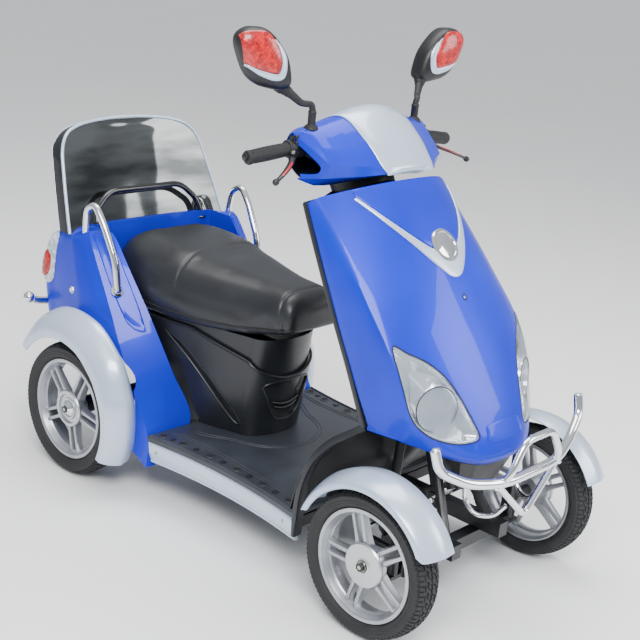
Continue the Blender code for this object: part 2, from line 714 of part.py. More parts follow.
def build_v_trim(tree):
    """A raised V-shaped strip across the shield's upper face."""
    def spot(x, z, out):
        point, normal = on_surface(tree, x, z)
        return Vector((point.x * (1 if x >= 0 else -1), point.y, point.z)) + Vector(
            (normal.x * (1 if x >= 0 else -1), normal.y, normal.z)) * out
    def ring(x, low, high):
        levels = [low + (high - low) * share for share in V_STEPS]
        return ([spot(x, z, TRIM_GAP) for z in levels]
                + [spot(x, z, TRIM_GAP + TRIM_THICKNESS) for z in reversed(levels)])
    line = []
    for near, far in zip(V_LINE, V_LINE[1:]):
        line += [[a + (b - a) * i / 3 for a, b in zip(near, far)] for i in range(3)]
    line.append(V_LINE[-1])
    half = [ring(x, z - wide, z + wide) for x, z, wide in line]
    other = [ring(-x, z - wide, z + wide) for x, z, wide in reversed(line)]
    middle = ring(0.0001, V_TIP_TOP - V_TIP_DEPTH, V_TIP_TOP)
    place("v_trim", loft(half + [middle] + other), "silver_paint")


LEG_FOOT_Z = FLOOR_TOP + GAP + 0.0013
LEG_FOOT_X = FLOOR_HALF_WIDTH - 0.007

# Leg shield rows: centre y, hump half width, inner y, z of centre, edge x, edge y, edge z
LEG_ROWS = (
    (-0.120, -0.165, 0.962, 0.255, -0.221, 0.969),
    (-0.160, -0.215, 0.880, 0.259, -0.266, 0.886),
    (-0.235, -0.285, 0.740, 0.263, -0.343, 0.745),
    (-0.310, -0.345, 0.590, 0.263, -0.424, 0.597),
    (-0.365, -0.388, 0.460, 0.262, -0.487, 0.470),
    (-0.392, -0.398, 0.380, 0.302, -0.405, 0.400),
    (-0.395, -0.386, 0.300, LEG_FOOT_X, -0.364, 0.310),
    (-0.338, -0.336, LEG_FOOT_Z, LEG_FOOT_X, -0.336, LEG_FOOT_Z),
)
EDGE_TRIM = 0.012
ARCH_LIP_LOW = 0.134
ARCH_LIP_THICKNESS = 0.004
ARCH_LIP_INNER = FLOOR_HALF_WIDTH - 0.075
ARCH_LIP_OUTER = FLOOR_HALF_WIDTH


def build_arch_lips():
    """A black lip in front of each end of the floor, hanging below it behind the front wheel."""
    rear = FLOOR_FRONT_Y - GAP
    for word, side in SIDES:
        lip = box((ARCH_LIP_INNER, rear - ARCH_LIP_THICKNESS, ARCH_LIP_LOW),
                  (ARCH_LIP_OUTER, rear, FLOOR_TOP + 0.001), 0.0012)
        place(f"arch_lip_{word}", sided(lip, side), "black_plastic")


def build_leg_shield():
    """The black inner shield; its flanged edge shows behind the blue shield."""
    lines = []
    for centre_y, inner_y, z, xe, ye, ze in LEG_ROWS:
        back = Vector((xe + 0.0015, ye + EDGE_TRIM, ze))
        inner = Vector((0.14, inner_y, z))
        lines.append([Vector((0.0, centre_y, z)), Vector((0.06, centre_y - 0.006, z)), inner,
                      inner.lerp(back, 0.6), back, Vector((xe + 0.0012, ye + RUNNING_GAP, ze))])
    sheet = triangulated(shell(lines, PANEL_WALL, mirror=True, offset=0.0))
    place("leg_shield", sheet, "black_plastic")
    return surface_of(sheet)


# Neck cover between the tops of the shield and the leg shield: x values, how far it lies below their
# edges, and how far its edges stay off their sloping faces
NECK_COLUMNS = (0.0, 0.0464, 0.060, 0.0928, 0.140, 0.186, 0.209, 0.226)
NECK_FRONT_DROP = 0.014
NECK_REAR_Z = 0.948
NECK_FRONT_SEAT = 0.0028
NECK_REAR_SEAT = 0.0013
NECK_WALL = 0.003
NECK_HOLE_RADIUS = COLUMN_RADIUS + 0.0060


def build_neck_cover(shield_tree, leg_tree):
    """A black cover that closes the front body around the steering column."""
    top = shield_row(SHIELD_ROWS[0])
    lines = []
    for x in NECK_COLUMNS:
        near, far = [pair for pair in zip(top, top[1:]) if pair[0].x <= x <= pair[1].x][0]
        z = near.lerp(far, (x - near.x) / (far.x - near.x)).z - NECK_FRONT_DROP
        middle = Vector((x, (far.y + near.y) / 2 + 0.035, z))
        front = shield_tree.ray_cast(middle, Vector((0, -1, 0)))[0]
        start = Vector((x, front.y + 0.004, NECK_REAR_Z))
        rear = leg_tree.ray_cast(start, Vector((0, 1, 0)))[0]
        a, b = front + Vector((0, NECK_FRONT_SEAT, 0)), rear - Vector((0, NECK_REAR_SEAT, 0))
        lines.append([a.lerp(b, share) for share in (0.0, 0.25, 0.5, 0.75, 1.0)])
    sheet = shell(lines, NECK_WALL, mirror=True, offset=0.0)
    hole = rod(steer_point(0.90), steer_point(1.04), NECK_HOLE_RADIUS, 20)
    place("neck_cover", combine(sheet, [hole], "DIFFERENCE"), "black_plastic")


UNDERTRAY_DEPTH = 0.075
UNDERTRAY_REAR_Y = -0.645


def build_undertray(rows):
    """The black belly under the shield, from its lower edge back to the front stays."""
    edge = [point - Vector((0, 0, 0.0006)) for point in rows[-1][:4]]
    top = [Vector((-p.x, p.y, p.z)) for p in reversed(edge[1:])] + edge
    top += [Vector((edge[-1].x, UNDERTRAY_REAR_Y, edge[-1].z)), Vector((-edge[-1].x, UNDERTRAY_REAR_Y, edge[-1].z))]
    low = [Vector((p.x * 0.62, min(p.y + 0.030, UNDERTRAY_REAR_Y), edge[0].z - UNDERTRAY_DEPTH)) for p in top]
    place("nose_undertray", loft([low, top]), "black_plastic")


BUMPER_RADIUS = 0.0125


def build_front_bumper():
    """Chrome main tube with upturned ends, a hoop above, a V below and two stays."""
    half = [(0.303, -0.728, 0.512), (0.296, -0.742, 0.462), (0.215, -0.770, 0.418), (0.110, -0.802, 0.404)]
    path = half + [(-x, y, z) for x, y, z in reversed(half)]
    main = tube(rounded(path, 0.045, 2), BUMPER_RADIUS, 2)
    hoop = tube(rounded([(0.112, -0.800, 0.404), (0.100, -0.814, 0.440), (0.060, -0.812, 0.522),
                         (-0.060, -0.812, 0.522), (-0.100, -0.814, 0.440), (-0.112, -0.800, 0.404)], 0.024, 2),
                0.0095, 1)
    vee = tube(rounded([(0.128, -0.794, 0.402), (0.0, -0.800, 0.287), (-0.128, -0.794, 0.402)], 0.022, 3),
               0.0085, 1)
    stays = [tube(rounded([(s * 0.060, -0.797, 0.342), (s * 0.085, -0.786, 0.300), (s * 0.100, -0.740, 0.262),
                           (s * 0.100, -0.700, 0.215), (s * 0.100, RAIL_FRONT_Y - 0.0065, RAIL_Z)], 0.018, 2),
                  0.0065, 1) for s in (LEFT, RIGHT)]
    plates = [box((s * RAIL_X - 0.016, RAIL_FRONT_Y - 0.010, RAIL_Z - 0.018),
                  (s * RAIL_X + 0.016, RAIL_FRONT_Y - GAP, RAIL_Z + 0.018)) for s in (LEFT, RIGHT)]
    place("front_bumper", combine(main, [hoop, vee] + stays + plates), "chrome")


# Steering head

BAR_RADIUS = 0.011
BAR_BEND = 0.030
BAR_END = Vector((0.392, -0.131, 1.0745))
BAR_ELBOW = Vector((0.178, -0.160, 1.0613))
BRACKET_X = 0.055
BRACKET_HALF = 0.007


def build_steering_column(tree):
    """Column with the handlebar and cowl brackets on top and the arm that moves the tie rod."""
    top = steer_point(1.012)
    tip = Vector((0.0, TIE_ROD_Y, TIE_ROD_Z)) + STEER_AXIS * 0.032
    low = tip - STEER_ARM_DIRECTION * STEER_ARM
    column = rod(low - STEER_AXIS * 0.010, top, COLUMN_RADIUS, 14)
    collar = rod(steer_point(0.861), steer_point(0.885), 0.026, 14)
    half = [BAR_END, BAR_ELBOW, (0.070, -0.160, 1.012)]
    bar = tube(rounded(half + [(-x, y, z) for x, y, z in reversed(half)], BAR_BEND, 2), BAR_RADIUS, 1)
    side = Vector((0.012, 0, 0))
    up = STEER_AXIS * 0.006
    rings = [[end - side * wide - up, end + side * wide - up, end + side * wide + up, end - side * wide + up]
             for end, wide in ((low, 1.2), (tip + STEER_ARM_DIRECTION * 0.010, 0.8))]
    arm = loft(rings)
    pin = rod(tip - STEER_AXIS * 0.046, tip, PIN_RADIUS, 12)
    brackets = []
    for x in (-BRACKET_X, BRACKET_X):
        hits = [tree.ray_cast(Vector((x + dx, top.y + dy, top.z + 0.03)), Vector((0, 0, 1)))[0].z
                for dx in (-BRACKET_HALF, 0, BRACKET_HALF) for dy in (-BRACKET_HALF, 0, BRACKET_HALF)]
        brackets.append(box((x - BRACKET_HALF, top.y - BRACKET_HALF, top.z - 0.004),
                            (x + BRACKET_HALF, top.y + BRACKET_HALF, min(hits) - GAP)))
    obj = place("steering_column", combine(column, [collar, bar, arm, pin] + brackets), "black_steel")
    pivot(obj, STEER_TOP)


# Cowl sections, left half: x, then (y, z) of rear edge, rear top, ridge, front middle, front lip, throat
COWL_ROWS = (
    (0.000, (-0.072, 1.095), (-0.100, 1.150), (-0.182, 1.184), (-0.262, 1.130), (-0.328, 1.053), (-0.262, 1.026)),
    (0.070, (-0.072, 1.090), (-0.100, 1.145), (-0.182, 1.176), (-0.256, 1.124), (-0.318, 1.050), (-0.252, 1.022)),
    (0.140, (-0.075, 1.080), (-0.100, 1.128), (-0.172, 1.156), (-0.236, 1.108), (-0.288, 1.040), (-0.228, 1.012)),
    (0.200, (-0.080, 1.078), (-0.100, 1.114), (-0.160, 1.138), (-0.212, 1.095), (-0.250, 1.024), (-0.205, 1.000)),
    (0.250, (-0.090, 1.086), (-0.110, 1.113), (-0.150, 1.127), (-0.194, 1.102), (-0.228, 1.050), (-0.202, 1.020)),
)


def on_curve(points, share):
    """The point at a share of a smooth curve through the points."""
    last = len(points) - 1
    at = min(max(share, 0.0), 1.0) * last
    i = min(int(at), last - 1)
    u = at - i
    b, c = points[i], points[i + 1]
    a = points[i - 1] if i else b * 2 - c
    d = points[i + 2] if i + 2 <= last else c * 2 - b
    return (b * 2 + (c - a) * u + (a * 2 - b * 5 + c * 4 - d) * u ** 2 + (b * 3 - a - c * 3 + d) * u ** 3) * 0.5


def cowl_point(across, down):
    """A point of the cowl's outer face: shares from the middle outwards and from rear edge to throat."""
    lines = [[Vector((x, y, z)) for y, z in points] for x, *points in COWL_ROWS]
    return on_curve([on_curve(line, down) for line in lines], across)


COWL_ACROSS, COWL_DOWN = 8, 10
# The stripe on the cowl: steps across, the cowl's first and last line under it, its half width there
STRIPE_ACROSS = 8
STRIPE_FIRST, STRIPE_LAST = 2, 8
STRIPE_TOP_SHARE, STRIPE_LOW_SHARE = 0.44, 0.32
STRIPE_STAND_OFF = 0.0016
STRIPE_THICKNESS = 0.0020
COWL_CORE_Y, COWL_CORE_Z = -0.120, 1.040


def build_cowl():
    rows = [[cowl_point(i / COWL_ACROSS, k / COWL_DOWN) for k in range(COWL_DOWN + 1)]
            for i in range(COWL_ACROSS + 1)]
    sheet = triangulated(shell(rows, TRIM_THICKNESS, mirror=True))
    tree = surface_of(sheet)
    place("handlebar_cowl", sheet, "blue_paint")
    stripe = []
    for i in range(STRIPE_ACROSS + 1):
        line = []
        for k in range(STRIPE_FIRST, STRIPE_LAST + 1):
            t = (k - STRIPE_FIRST) / (STRIPE_LAST - STRIPE_FIRST)
            wide = STRIPE_TOP_SHARE * (1 - t) + STRIPE_LOW_SHARE * t
            base = cowl_point(wide * i / STRIPE_ACROSS, k / COWL_DOWN)
            away = (base - Vector((base.x, COWL_CORE_Y, COWL_CORE_Z))).normalized()
            spot = tree.ray_cast(base + away * 0.03, -away)[0]
            line.append(spot + away * STRIPE_STAND_OFF)
        stripe.append(line)
    place("cowl_stripe", shell(stripe, STRIPE_THICKNESS, mirror=True, offset=1.0), "silver_paint")
    build_mirrors(tree)
    build_steering_column(tree)

MIRROR_FOOT_RADIUS = 0.017
MIRROR_FOOT_X, MIRROR_FOOT_Y = 0.200, -0.160
MIRROR_HEAD = Vector((0.335, -0.118, 1.312))
# Mirror head outline about its middle: x, z
MIRROR_OUTLINE = (
    (0.030, 0.064), (0.000, 0.066), (-0.028, 0.050), (-0.044, 0.018), (-0.046, -0.020), (-0.030, -0.056),
    (-0.006, -0.066), (0.022, -0.058), (0.042, -0.030), (0.050, 0.010), (0.048, 0.042),
)


def build_mirrors(tree):
    """Black mirror on a bent stem; its conical foot seats on the cowl."""
    base = Vector((MIRROR_FOOT_X, MIRROR_FOOT_Y,
                   resting_z(tree, MIRROR_FOOT_X, MIRROR_FOOT_Y, MIRROR_FOOT_RADIUS)))
    foot = rod(base, base + Vector((0, 0, 0.016)), MIRROR_FOOT_RADIUS, 16, 0.011)
    stem = tube(rounded([base + Vector((0, 0, 0.008)), base + Vector((0.004, 0, 0.040)),
                         base + Vector((0.050, 0.022, 0.085)), MIRROR_HEAD + Vector((-0.020, 0.0, -0.045))],
                        0.02, 3), 0.0075, 2)
    rings = []
    for y, scale in ((-0.030, 0.45), (-0.024, 0.78), (-0.008, 0.97), (0.008, 1.0), (0.014, 0.98)):
        rings.append([MIRROR_HEAD + Vector((x * scale, y, z * scale)) for x, z in MIRROR_OUTLINE])
    head = loft(rings)
    mesh = combine(head, [stem, foot])
    for word, side in SIDES:
        pivot(place(f"mirror_{word}", sided(mesh.copy(), side), "black_plastic"),
              (side * base.x, base.y, base.z))


def build_hand_controls():
    """Grip, switch housing and brake lever, which a bar end carries."""
    outer = BAR_END
    along = (outer - BAR_ELBOW).normalized()
    inner = BAR_ELBOW + along * BAR_BEND
    length = (outer - inner).length
    bore = BAR_RADIUS + RUNNING_GAP
    body = turned([(length + 0.004, 0.0005), (length + 0.004, 0.0150), (length, 0.0165), (0.040, 0.0165),
                   (0.040, 0.0215), (0.032, 0.0215), (0.032, 0.0195), (0.004, 0.0195), (0.004, bore),
                   (length + RUNNING_GAP, bore), (length + RUNNING_GAP, 0.0005)], 12)
    body.transform(Matrix.Translation(inner) @ along.to_track_quat("X", "Z").to_matrix().to_4x4())
    lever = tube(rounded([inner + along * 0.020 + Vector((0, -0.0150, -0.003)),
                          inner + along * 0.044 + Vector((0, -0.045, -0.012)),
                          (0.330, -0.208, 1.046), (0.374, -0.224, 1.030)], 0.03, 3), 0.0055, 1)
    tip = rod((0.370, -0.222, 1.0315), (0.381, -0.227, 1.0275), 0.008, 10)
    mesh = combine(body, [lever, tip])
    for word, side in SIDES:
        pivot(place(f"hand_control_{word}", sided(mesh.copy(), side), "rubber"),
              (side * inner.x, inner.y, inner.z))


# Fenders. Columns: angle from forward, and how far the inner edge, crown and lip stand off the tread
FRONT_FENDER = (
    (26.0, 0.036, 0.044, 0.016),
    (50.0, 0.036, 0.045, 0.017),
    (75.0, 0.036, 0.045, 0.017),
    (100.0, 0.036, 0.044, 0.016),
    (125.0, 0.036, 0.043, 0.014),
    (145.0, 0.036, 0.042, 0.014),
    (160.0, 0.035, 0.041, 0.014),
)
REAR_FENDER = (
    (-25.0, 0.040, 0.048, 0.007),
    (0.0, 0.042, 0.054, 0.007),
    (25.0, 0.048, 0.068, 0.009),
    (50.0, 0.056, 0.086, 0.014),
    (75.0, 0.062, 0.098, 0.022),
    (100.0, 0.064, 0.100, 0.026),
    (122.0, 0.062, 0.092, 0.028),
    (142.0, 0.056, 0.078, 0.030),
)
FENDER_WALL = 0.003


def fender_mesh(table, axle_y, tyre_radius, inner_x, crown_x, lip_x):
    """An arched mudguard, rolled down to a lip over the tyre's outer side."""
    rows = []
    for angle, *clearances in table:
        inner, crown, lip = [tyre_radius + clearance for clearance in clearances]
        out = Vector((0.0, -cos(radians(angle)), sin(radians(angle))))
        axle = Vector((0.0, axle_y, tyre_radius))
        line = []
        for x, radius in ((inner_x, inner), (crown_x * 0.5 + inner_x * 0.5, crown - 0.002), (crown_x, crown),
                          (crown_x * 0.45 + lip_x * 0.55, crown - (crown - lip) * 0.28),
                          (lip_x - 0.004, crown - (crown - lip) * 0.68), (lip_x, lip)):
            line.append(axle + Vector((x, 0, 0)) + out * radius)
        rows.append(line)
    return shell(rows, FENDER_WALL, offset=0.0)


# Across the wheel: how far a fender's inner edge, crown and lip lie from the tyre's middle.
# The rear fender's inner edge lies on the rear body's side.
FRONT_FENDER_SPAN = (-0.050, -0.003, 0.055)
REAR_FENDER_INNER_X = REAR_BODY_HALF_WIDTH - 0.0004
REAR_FENDER_CROWN = 0.013
REAR_FENDER_LIP = 0.066


def build_fenders():
    front = fender_mesh(FRONT_FENDER, FRONT_AXLE_Y, FRONT_TYRE_RADIUS,
                        *[FRONT_HALF_TRACK + reach for reach in FRONT_FENDER_SPAN])
    rear = fender_mesh(REAR_FENDER, REAR_AXLE_Y, REAR_TYRE_RADIUS, REAR_FENDER_INNER_X,
                       REAR_HALF_TRACK + REAR_FENDER_CROWN, REAR_HALF_TRACK + REAR_FENDER_LIP)
    for word, side in SIDES:
        obj = place(f"front_fender_{word}", sided(front.copy(), side), "silver_paint")
        pivot(obj, (side * KINGPIN_X, FRONT_AXLE_Y, 0.0))
        place(f"rear_fender_{word}", sided(rear.copy(), side), "silver_paint")


DECK_Z = 0.680

# Rear body, left half. Columns: z at the front, z at the side, z at the rear, inner ridge inset, y,
# outer ridge inset, y, side inset, y, rear corner inset, y, rear centre y; an inset is from the half width
BODY_ROWS = (
    (0.104, 0.252, 0.400, 0.035, POST_FRONT_Y, 0.002, POST_FRONT_Y, 0.000, 0.520, 0.045, 0.768, 0.778),
    (0.210, 0.311, 0.412, 0.159, POST_FRONT_Y, 0.002, 0.240, 0.000, 0.520, 0.043, 0.772, 0.782),
    (0.350, 0.395, 0.440, 0.135, 0.300, 0.011, 0.348, 0.001, 0.540, 0.041, 0.780, 0.790),
    (0.500, 0.515, 0.530, 0.113, 0.388, 0.027, 0.455, 0.007, 0.580, 0.043, 0.795, 0.805),
    (0.600, 0.605, 0.610, 0.107, 0.468, 0.035, 0.525, 0.017, 0.620, 0.047, 0.780, 0.792),
    (0.680, 0.664, 0.655, 0.105, 0.535, 0.041, 0.580, 0.026, 0.650, 0.055, 0.758, 0.772),
    (0.704, DECK_Z, DECK_Z, 0.103, 0.560, 0.050, 0.600, 0.034, 0.660, 0.063, 0.742, 0.756),
)
RECESS_REAR_Y = 0.655
ARCH_RADIUS = REAR_TYRE_RADIUS + 0.044


def build_rear_body():
    """Blue cowling around the seat: front posts, sides, deck and rear wall, open below."""
    outer, inner = [], []
    for zf, zs, zr, xi, yi, xo, yo, xs, ys, xc, yc, y0 in BODY_ROWS:
        xi, xo, xs, xc = [REAR_BODY_HALF_WIDTH - inset for inset in (xi, xo, xs, xc)]
        a, b = Vector((xi, yi, zf)), Vector((xo, yo, zf))
        c, d = Vector((xs, ys, zs)), Vector((xc, yc, zr))
        outer.append([a, a.lerp(b, 0.5), b, b.lerp(c, 0.5), c, d.lerp(c, 0.35), d, Vector((xc * 0.5, y0, zr)),
                      Vector((0.0, y0, zr))])
    for zf, _, zr, inset, yi, *_ in reversed(BODY_ROWS[2:]):
        xi = REAR_BODY_HALF_WIDTH - inset
        a = Vector((xi, yi, zf))
        rear = Vector((xi, RECESS_REAR_Y, zr))
        inner.append([a, a.lerp(rear, 0.2), a.lerp(rear, 0.4), a.lerp(rear, 0.6), a.lerp(rear, 0.8), rear,
                      Vector((xi * 0.8, RECESS_REAR_Y + 0.004, zr)), Vector((xi * 0.4, RECESS_REAR_Y + 0.006, zr)),
                      Vector((0.0, RECESS_REAR_Y + 0.006, zr))])
    sheet = shell(outer + inner, PANEL_WALL, mirror=True, weld=0.0001)
    arches = [rod((s * 0.286, REAR_AXLE_Y, REAR_TYRE_RADIUS), (s * 0.45, REAR_AXLE_Y, REAR_TYRE_RADIUS),
                  ARCH_RADIUS, 32) for s in (LEFT, RIGHT)]
    body = triangulated(combine(sheet, arches, "DIFFERENCE"))
    tree = surface_of(body)
    place("rear_body", body, "blue_paint")
    build_fenders()
    build_rear_fittings(tree)


SEAT_BOX_TOP = 0.5010
SEAT_LOW = SEAT_BOX_TOP + GAP

SEAT_HALF_WIDTH = REAR_BODY_HALF_WIDTH - 0.119
# Seat. Columns: y, inset from the half width, bottom z, top z
SEAT_ROWS = (
    (-0.064, 0.171, 0.556, 0.592),
    (-0.045, 0.126, 0.538, 0.622),
    (0.010, 0.100, 0.526, 0.646),
    (0.110, 0.074, 0.510, 0.668),
    (0.220, 0.038, SEAT_LOW, 0.682),
    (0.340, 0.004, SEAT_LOW, 0.695),
    (0.470, 0.000, SEAT_LOW, 0.703),
    (0.560, 0.012, 0.508, 0.700),
    (0.620, 0.056, 0.530, 0.676),
)
SEAT_HINGE = Vector((0.0, -0.012, SEAT_BOX_TOP + 0.001))


def build_seat():
    rings = []
    for y, inset, low, high in SEAT_ROWS:
        half = SEAT_HALF_WIDTH - inset
        ring = []
        for i in range(16):
            angle = 2 * pi * i / 16
            c, s = cos(angle), sin(angle)
            x = half * (abs(c) ** 0.55) * (1 if c >= 0 else -1)
            middle = low + (high - low) * 0.30
            if s >= 0:
                z = middle + (high - middle) * s ** 0.7
            else:
                z = middle - (middle - low) * min(1.0, abs(s) * 1.45)
            ring.append((x, y, z))
        rings.append(ring)
    obj = place("seat_cushion", loft(rings), "seat_vinyl", 60.0)
    pivot(obj, SEAT_HINGE)


BOX_REAR_HALF_WIDTH = SEAT_HALF_WIDTH - 0.038
# Seat box rows: z, front y, front half width's inset from the rear's, rear inset, rear y
BOX_ROWS = (
    (FLOOR_TOP + 0.0005, 0.004, 0.078, 0.012, 0.436),
    (0.300, -0.012, 0.072, 0.004, 0.436),
    (0.400, -0.018, 0.070, 0.000, 0.436),
    (SEAT_BOX_TOP, -0.014, 0.070, 0.000, 0.436),
)


def build_seat_box():
    """Black moulded box under the seat, open above, below and behind."""
    rows = []
    for z, front, front_inset, rear_inset, rear in BOX_ROWS:
        narrow, wide = BOX_REAR_HALF_WIDTH - front_inset, BOX_REAR_HALF_WIDTH - rear_inset
        line = []
        for i in range(7):
            angle = (pi / 2) * i / 6
            line.append(Vector((narrow * sin(angle), front + 0.075 * (1 - cos(angle)), z)))
        corner = Vector((narrow, front + 0.075, z))
        back = Vector((wide, 0.360, z))
        line += [corner.lerp(back, 0.5), back, Vector((wide, rear, z))]
        rows.append(line)
    rows = [list(reversed(row)) for row in rows]
    place("seat_box", shell(rows, PANEL_WALL, mirror=True), "black_plastic")


def build_battery():
    place("battery_pack", box((-0.094, 0.100, FLOOR_TOP + GAP), (0.094, 0.330, 0.430)), "black_plastic")


# Rear fittings

REAR_BUMPER_Y = 0.8116
HOOP_RADIUS = 0.009
HOOP_FOOT_X, HOOP_FOOT_Y = REAR_BODY_HALF_WIDTH - 0.130, 0.670
LOOP_RADIUS = 0.0105
LAMP_SEAT = 0.0008
LOOP_FOOT_X, LOOP_FOOT_Y = REAR_BODY_HALF_WIDTH - 0.055, 0.622
# The grab loop's path ahead of its rear foot: inset from the body's half width, y, z
LOOP_PATH = ((0.063, 0.4730, 0.585), (0.053, 0.520, 0.680), (0.043, 0.575, 0.790), (0.047, 0.612, 0.785))

PANEL_HALF_WIDTH = REAR_BODY_HALF_WIDTH - 0.037
# Back panel rows: z, inset from the half width, centre y
PANEL_ROWS = (
    (DECK_Z + GAP + 0.0008, 0.0000, 0.700),
    (0.735, 0.0065, 0.721),
    (0.795, 0.0145, 0.744),
    (0.851, 0.0235, 0.766),
    (0.900, 0.0325, 0.785),
    (0.934, 0.0480, 0.798),
    (0.957, 0.0740, 0.807),
    (0.972, 0.1200, 0.812),
    (0.980, 0.1800, 0.815),
    (0.984, 0.2380, 0.817),
)
PANEL_BOW = 0.026
PANEL_BOW_X = 0.290
PANEL_RIM_OUT = 0.0062


def panel_y(middle, x):
    """The panel's y at x: bowed forwards towards its side edges."""
    return middle - PANEL_BOW * (x / PANEL_BOW_X) ** 3


def build_back_panel():
    """Tall rounded panel behind the seat with a rim tube along its edge."""
    rows = []
    for z, inset, middle in PANEL_ROWS:
        half = PANEL_HALF_WIDTH - inset
        rows.append([Vector((half * i / 5, panel_y(middle, half * i / 5), z)) for i in range(6)])
    place("back_panel", shell(rows, PANEL_WALL, mirror=True, offset=0.0), "smoked_gloss")
    half = []
    for i, (z, inset, middle) in enumerate(PANEL_ROWS):
        width = PANEL_HALF_WIDTH - inset
        low, high = PANEL_ROWS[max(i - 1, 0)], PANEL_ROWS[min(i + 1, len(PANEL_ROWS) - 1)]
        slope = Vector((high[1] - low[1], high[0] - low[0]))
        out = slope.yx.normalized() * PANEL_RIM_OUT
        half.append(Vector((width + out.x, panel_y(middle, width), z + out.y)))
    half[-1].z = PANEL_ROWS[-1][0] + PANEL_RIM_OUT
    path = half + [Vector((-p.x, p.y, p.z)) for p in reversed(half)]
    place("back_panel_rim", tube(path, 0.0055, 1), "silver_paint")


def build_rear_fittings(tree):
    """Black hoop, chrome grab loops, tail lamps and rear bumper around the rear body."""
    foot = Vector((HOOP_FOOT_X, HOOP_FOOT_Y, resting_z(tree, HOOP_FOOT_X, HOOP_FOOT_Y, HOOP_RADIUS)))
    hoop = [foot, foot + Vector((0, 0, 0.020)), (foot.x - 0.009, 0.688, 0.740), (foot.x - 0.065, 0.702, 0.790)]
    path = hoop + [(-x, y, z) for x, y, z in reversed(hoop)]
    place("back_hoop", tube(rounded(path, 0.05, 3), HOOP_RADIUS, 1), "black_steel")
    foot = Vector((LOOP_FOOT_X, LOOP_FOOT_Y, resting_z(tree, LOOP_FOOT_X, LOOP_FOOT_Y, LOOP_RADIUS)))
    loop = rounded([(REAR_BODY_HALF_WIDTH - inset, y, z) for inset, y, z in LOOP_PATH]
                   + [foot + Vector((0, 0, 0.020)), foot], 0.03, 3)
    mesh = tube(loop, LOOP_RADIUS, 2)
    for word, side in SIDES:
        place(f"grab_loop_{word}", sided(mesh.copy(), side), "chrome")
    rings = []
    for zf, zs, zr, xi, yi, xo, yo, xs, ys, xc, yc, y0 in BODY_ROWS[3:6]:
        xs, xc = REAR_BODY_HALF_WIDTH - xs, REAR_BODY_HALF_WIDTH - xc
        side, corner, rear = Vector((xs, ys, zs)), Vector((xc, yc, zr)), Vector((xc * 0.5, y0, zr))
        line = [corner.lerp(side, 0.10), corner, corner.lerp(rear, 0.40)]
        outward = [Vector((0.98, 0.20, 0)), Vector((0.62, 0.78, 0)), Vector((0.06, 0.998, 0))]
        rings.append([p + n * LAMP_SEAT for p, n in zip(line, outward)]
                     + [p + n * deep for p, n, deep in reversed(list(zip(line, outward, (0.004, 0.016, 0.013))))])
    lamp = loft(rings)
    for word, side in SIDES:
        place(f"tail_lamp_{word}", sided(lamp.copy(), side), "tail_glass")
    half = [(0.352, 0.784, 0.455), (0.318, REAR_BUMPER_Y, 0.440), (0.060, REAR_BUMPER_Y, 0.400)]
    main = tube(rounded(half + [(-x, y, z) for x, y, z in reversed(half)], 0.03, 3), 0.0115, 2)
    stays = [tube(rounded([(s * RAIL_X, REAR_BUMPER_Y, 0.405), (s * RAIL_X, REAR_BUMPER_Y - 0.006, REAR_RAIL_Z),
                           (s * RAIL_X, RAIL_REAR_Y + 0.006, REAR_RAIL_Z)], 0.014, 2), 0.008, 1)
             for s in (LEFT, RIGHT)]
    plates = [box((s * RAIL_X - 0.016, RAIL_REAR_Y + GAP, REAR_RAIL_Z - 0.018),
                  (s * RAIL_X + 0.016, RAIL_REAR_Y + 0.008, REAR_RAIL_Z + 0.018)) for s in (LEFT, RIGHT)]
    place("rear_bumper", combine(main, stays + plates), "chrome")


def main():
    clear_scene()
    make_materials()
    build_wheels()
    build_frame()
    build_front_beam()
    build_knuckles()
    build_tie_rod()
    build_rear_axle()
    build_floor()
    build_front_body()
    build_front_bumper()
    build_cowl()
    build_hand_controls()
    build_rear_body()
    build_seat()
    build_seat_box()
    build_battery()
    build_back_panel()


main()
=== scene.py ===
import json
from math import atan2, cos, exp, pi, radians, sin

import bmesh
import bpy
from mathutils import Matrix, Vector
from mathutils.bvhtree import BVHTree

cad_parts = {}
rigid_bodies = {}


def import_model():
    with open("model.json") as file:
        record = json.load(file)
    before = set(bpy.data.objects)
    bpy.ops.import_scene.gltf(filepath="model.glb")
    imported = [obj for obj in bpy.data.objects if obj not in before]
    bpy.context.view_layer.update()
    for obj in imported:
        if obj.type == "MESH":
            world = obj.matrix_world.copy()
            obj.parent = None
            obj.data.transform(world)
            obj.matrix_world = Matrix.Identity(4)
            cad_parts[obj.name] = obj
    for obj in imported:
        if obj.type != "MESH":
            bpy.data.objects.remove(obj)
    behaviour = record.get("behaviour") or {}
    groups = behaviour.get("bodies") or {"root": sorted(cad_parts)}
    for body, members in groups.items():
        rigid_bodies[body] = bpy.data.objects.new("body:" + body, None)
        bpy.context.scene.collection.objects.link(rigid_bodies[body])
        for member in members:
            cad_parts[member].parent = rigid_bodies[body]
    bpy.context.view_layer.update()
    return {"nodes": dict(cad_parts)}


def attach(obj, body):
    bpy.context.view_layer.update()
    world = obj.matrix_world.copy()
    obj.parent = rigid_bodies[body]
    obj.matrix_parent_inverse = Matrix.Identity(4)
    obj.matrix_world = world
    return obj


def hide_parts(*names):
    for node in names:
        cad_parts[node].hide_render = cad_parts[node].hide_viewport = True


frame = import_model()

bl_info = {
    "name": "Four-wheeled mobility scooter",
    "version": (1, 0, 0),
    "blender": (4, 5, 0),
    "location": "View3D > Sidebar > Scooter",
    "description": "Detailed pieces, materials and studio for a four-wheeled mobility scooter",
    "category": "Object",
}

LEFT, RIGHT = 1, -1
SIDES = (("left", LEFT), ("right", RIGHT))


# Node and colour tools

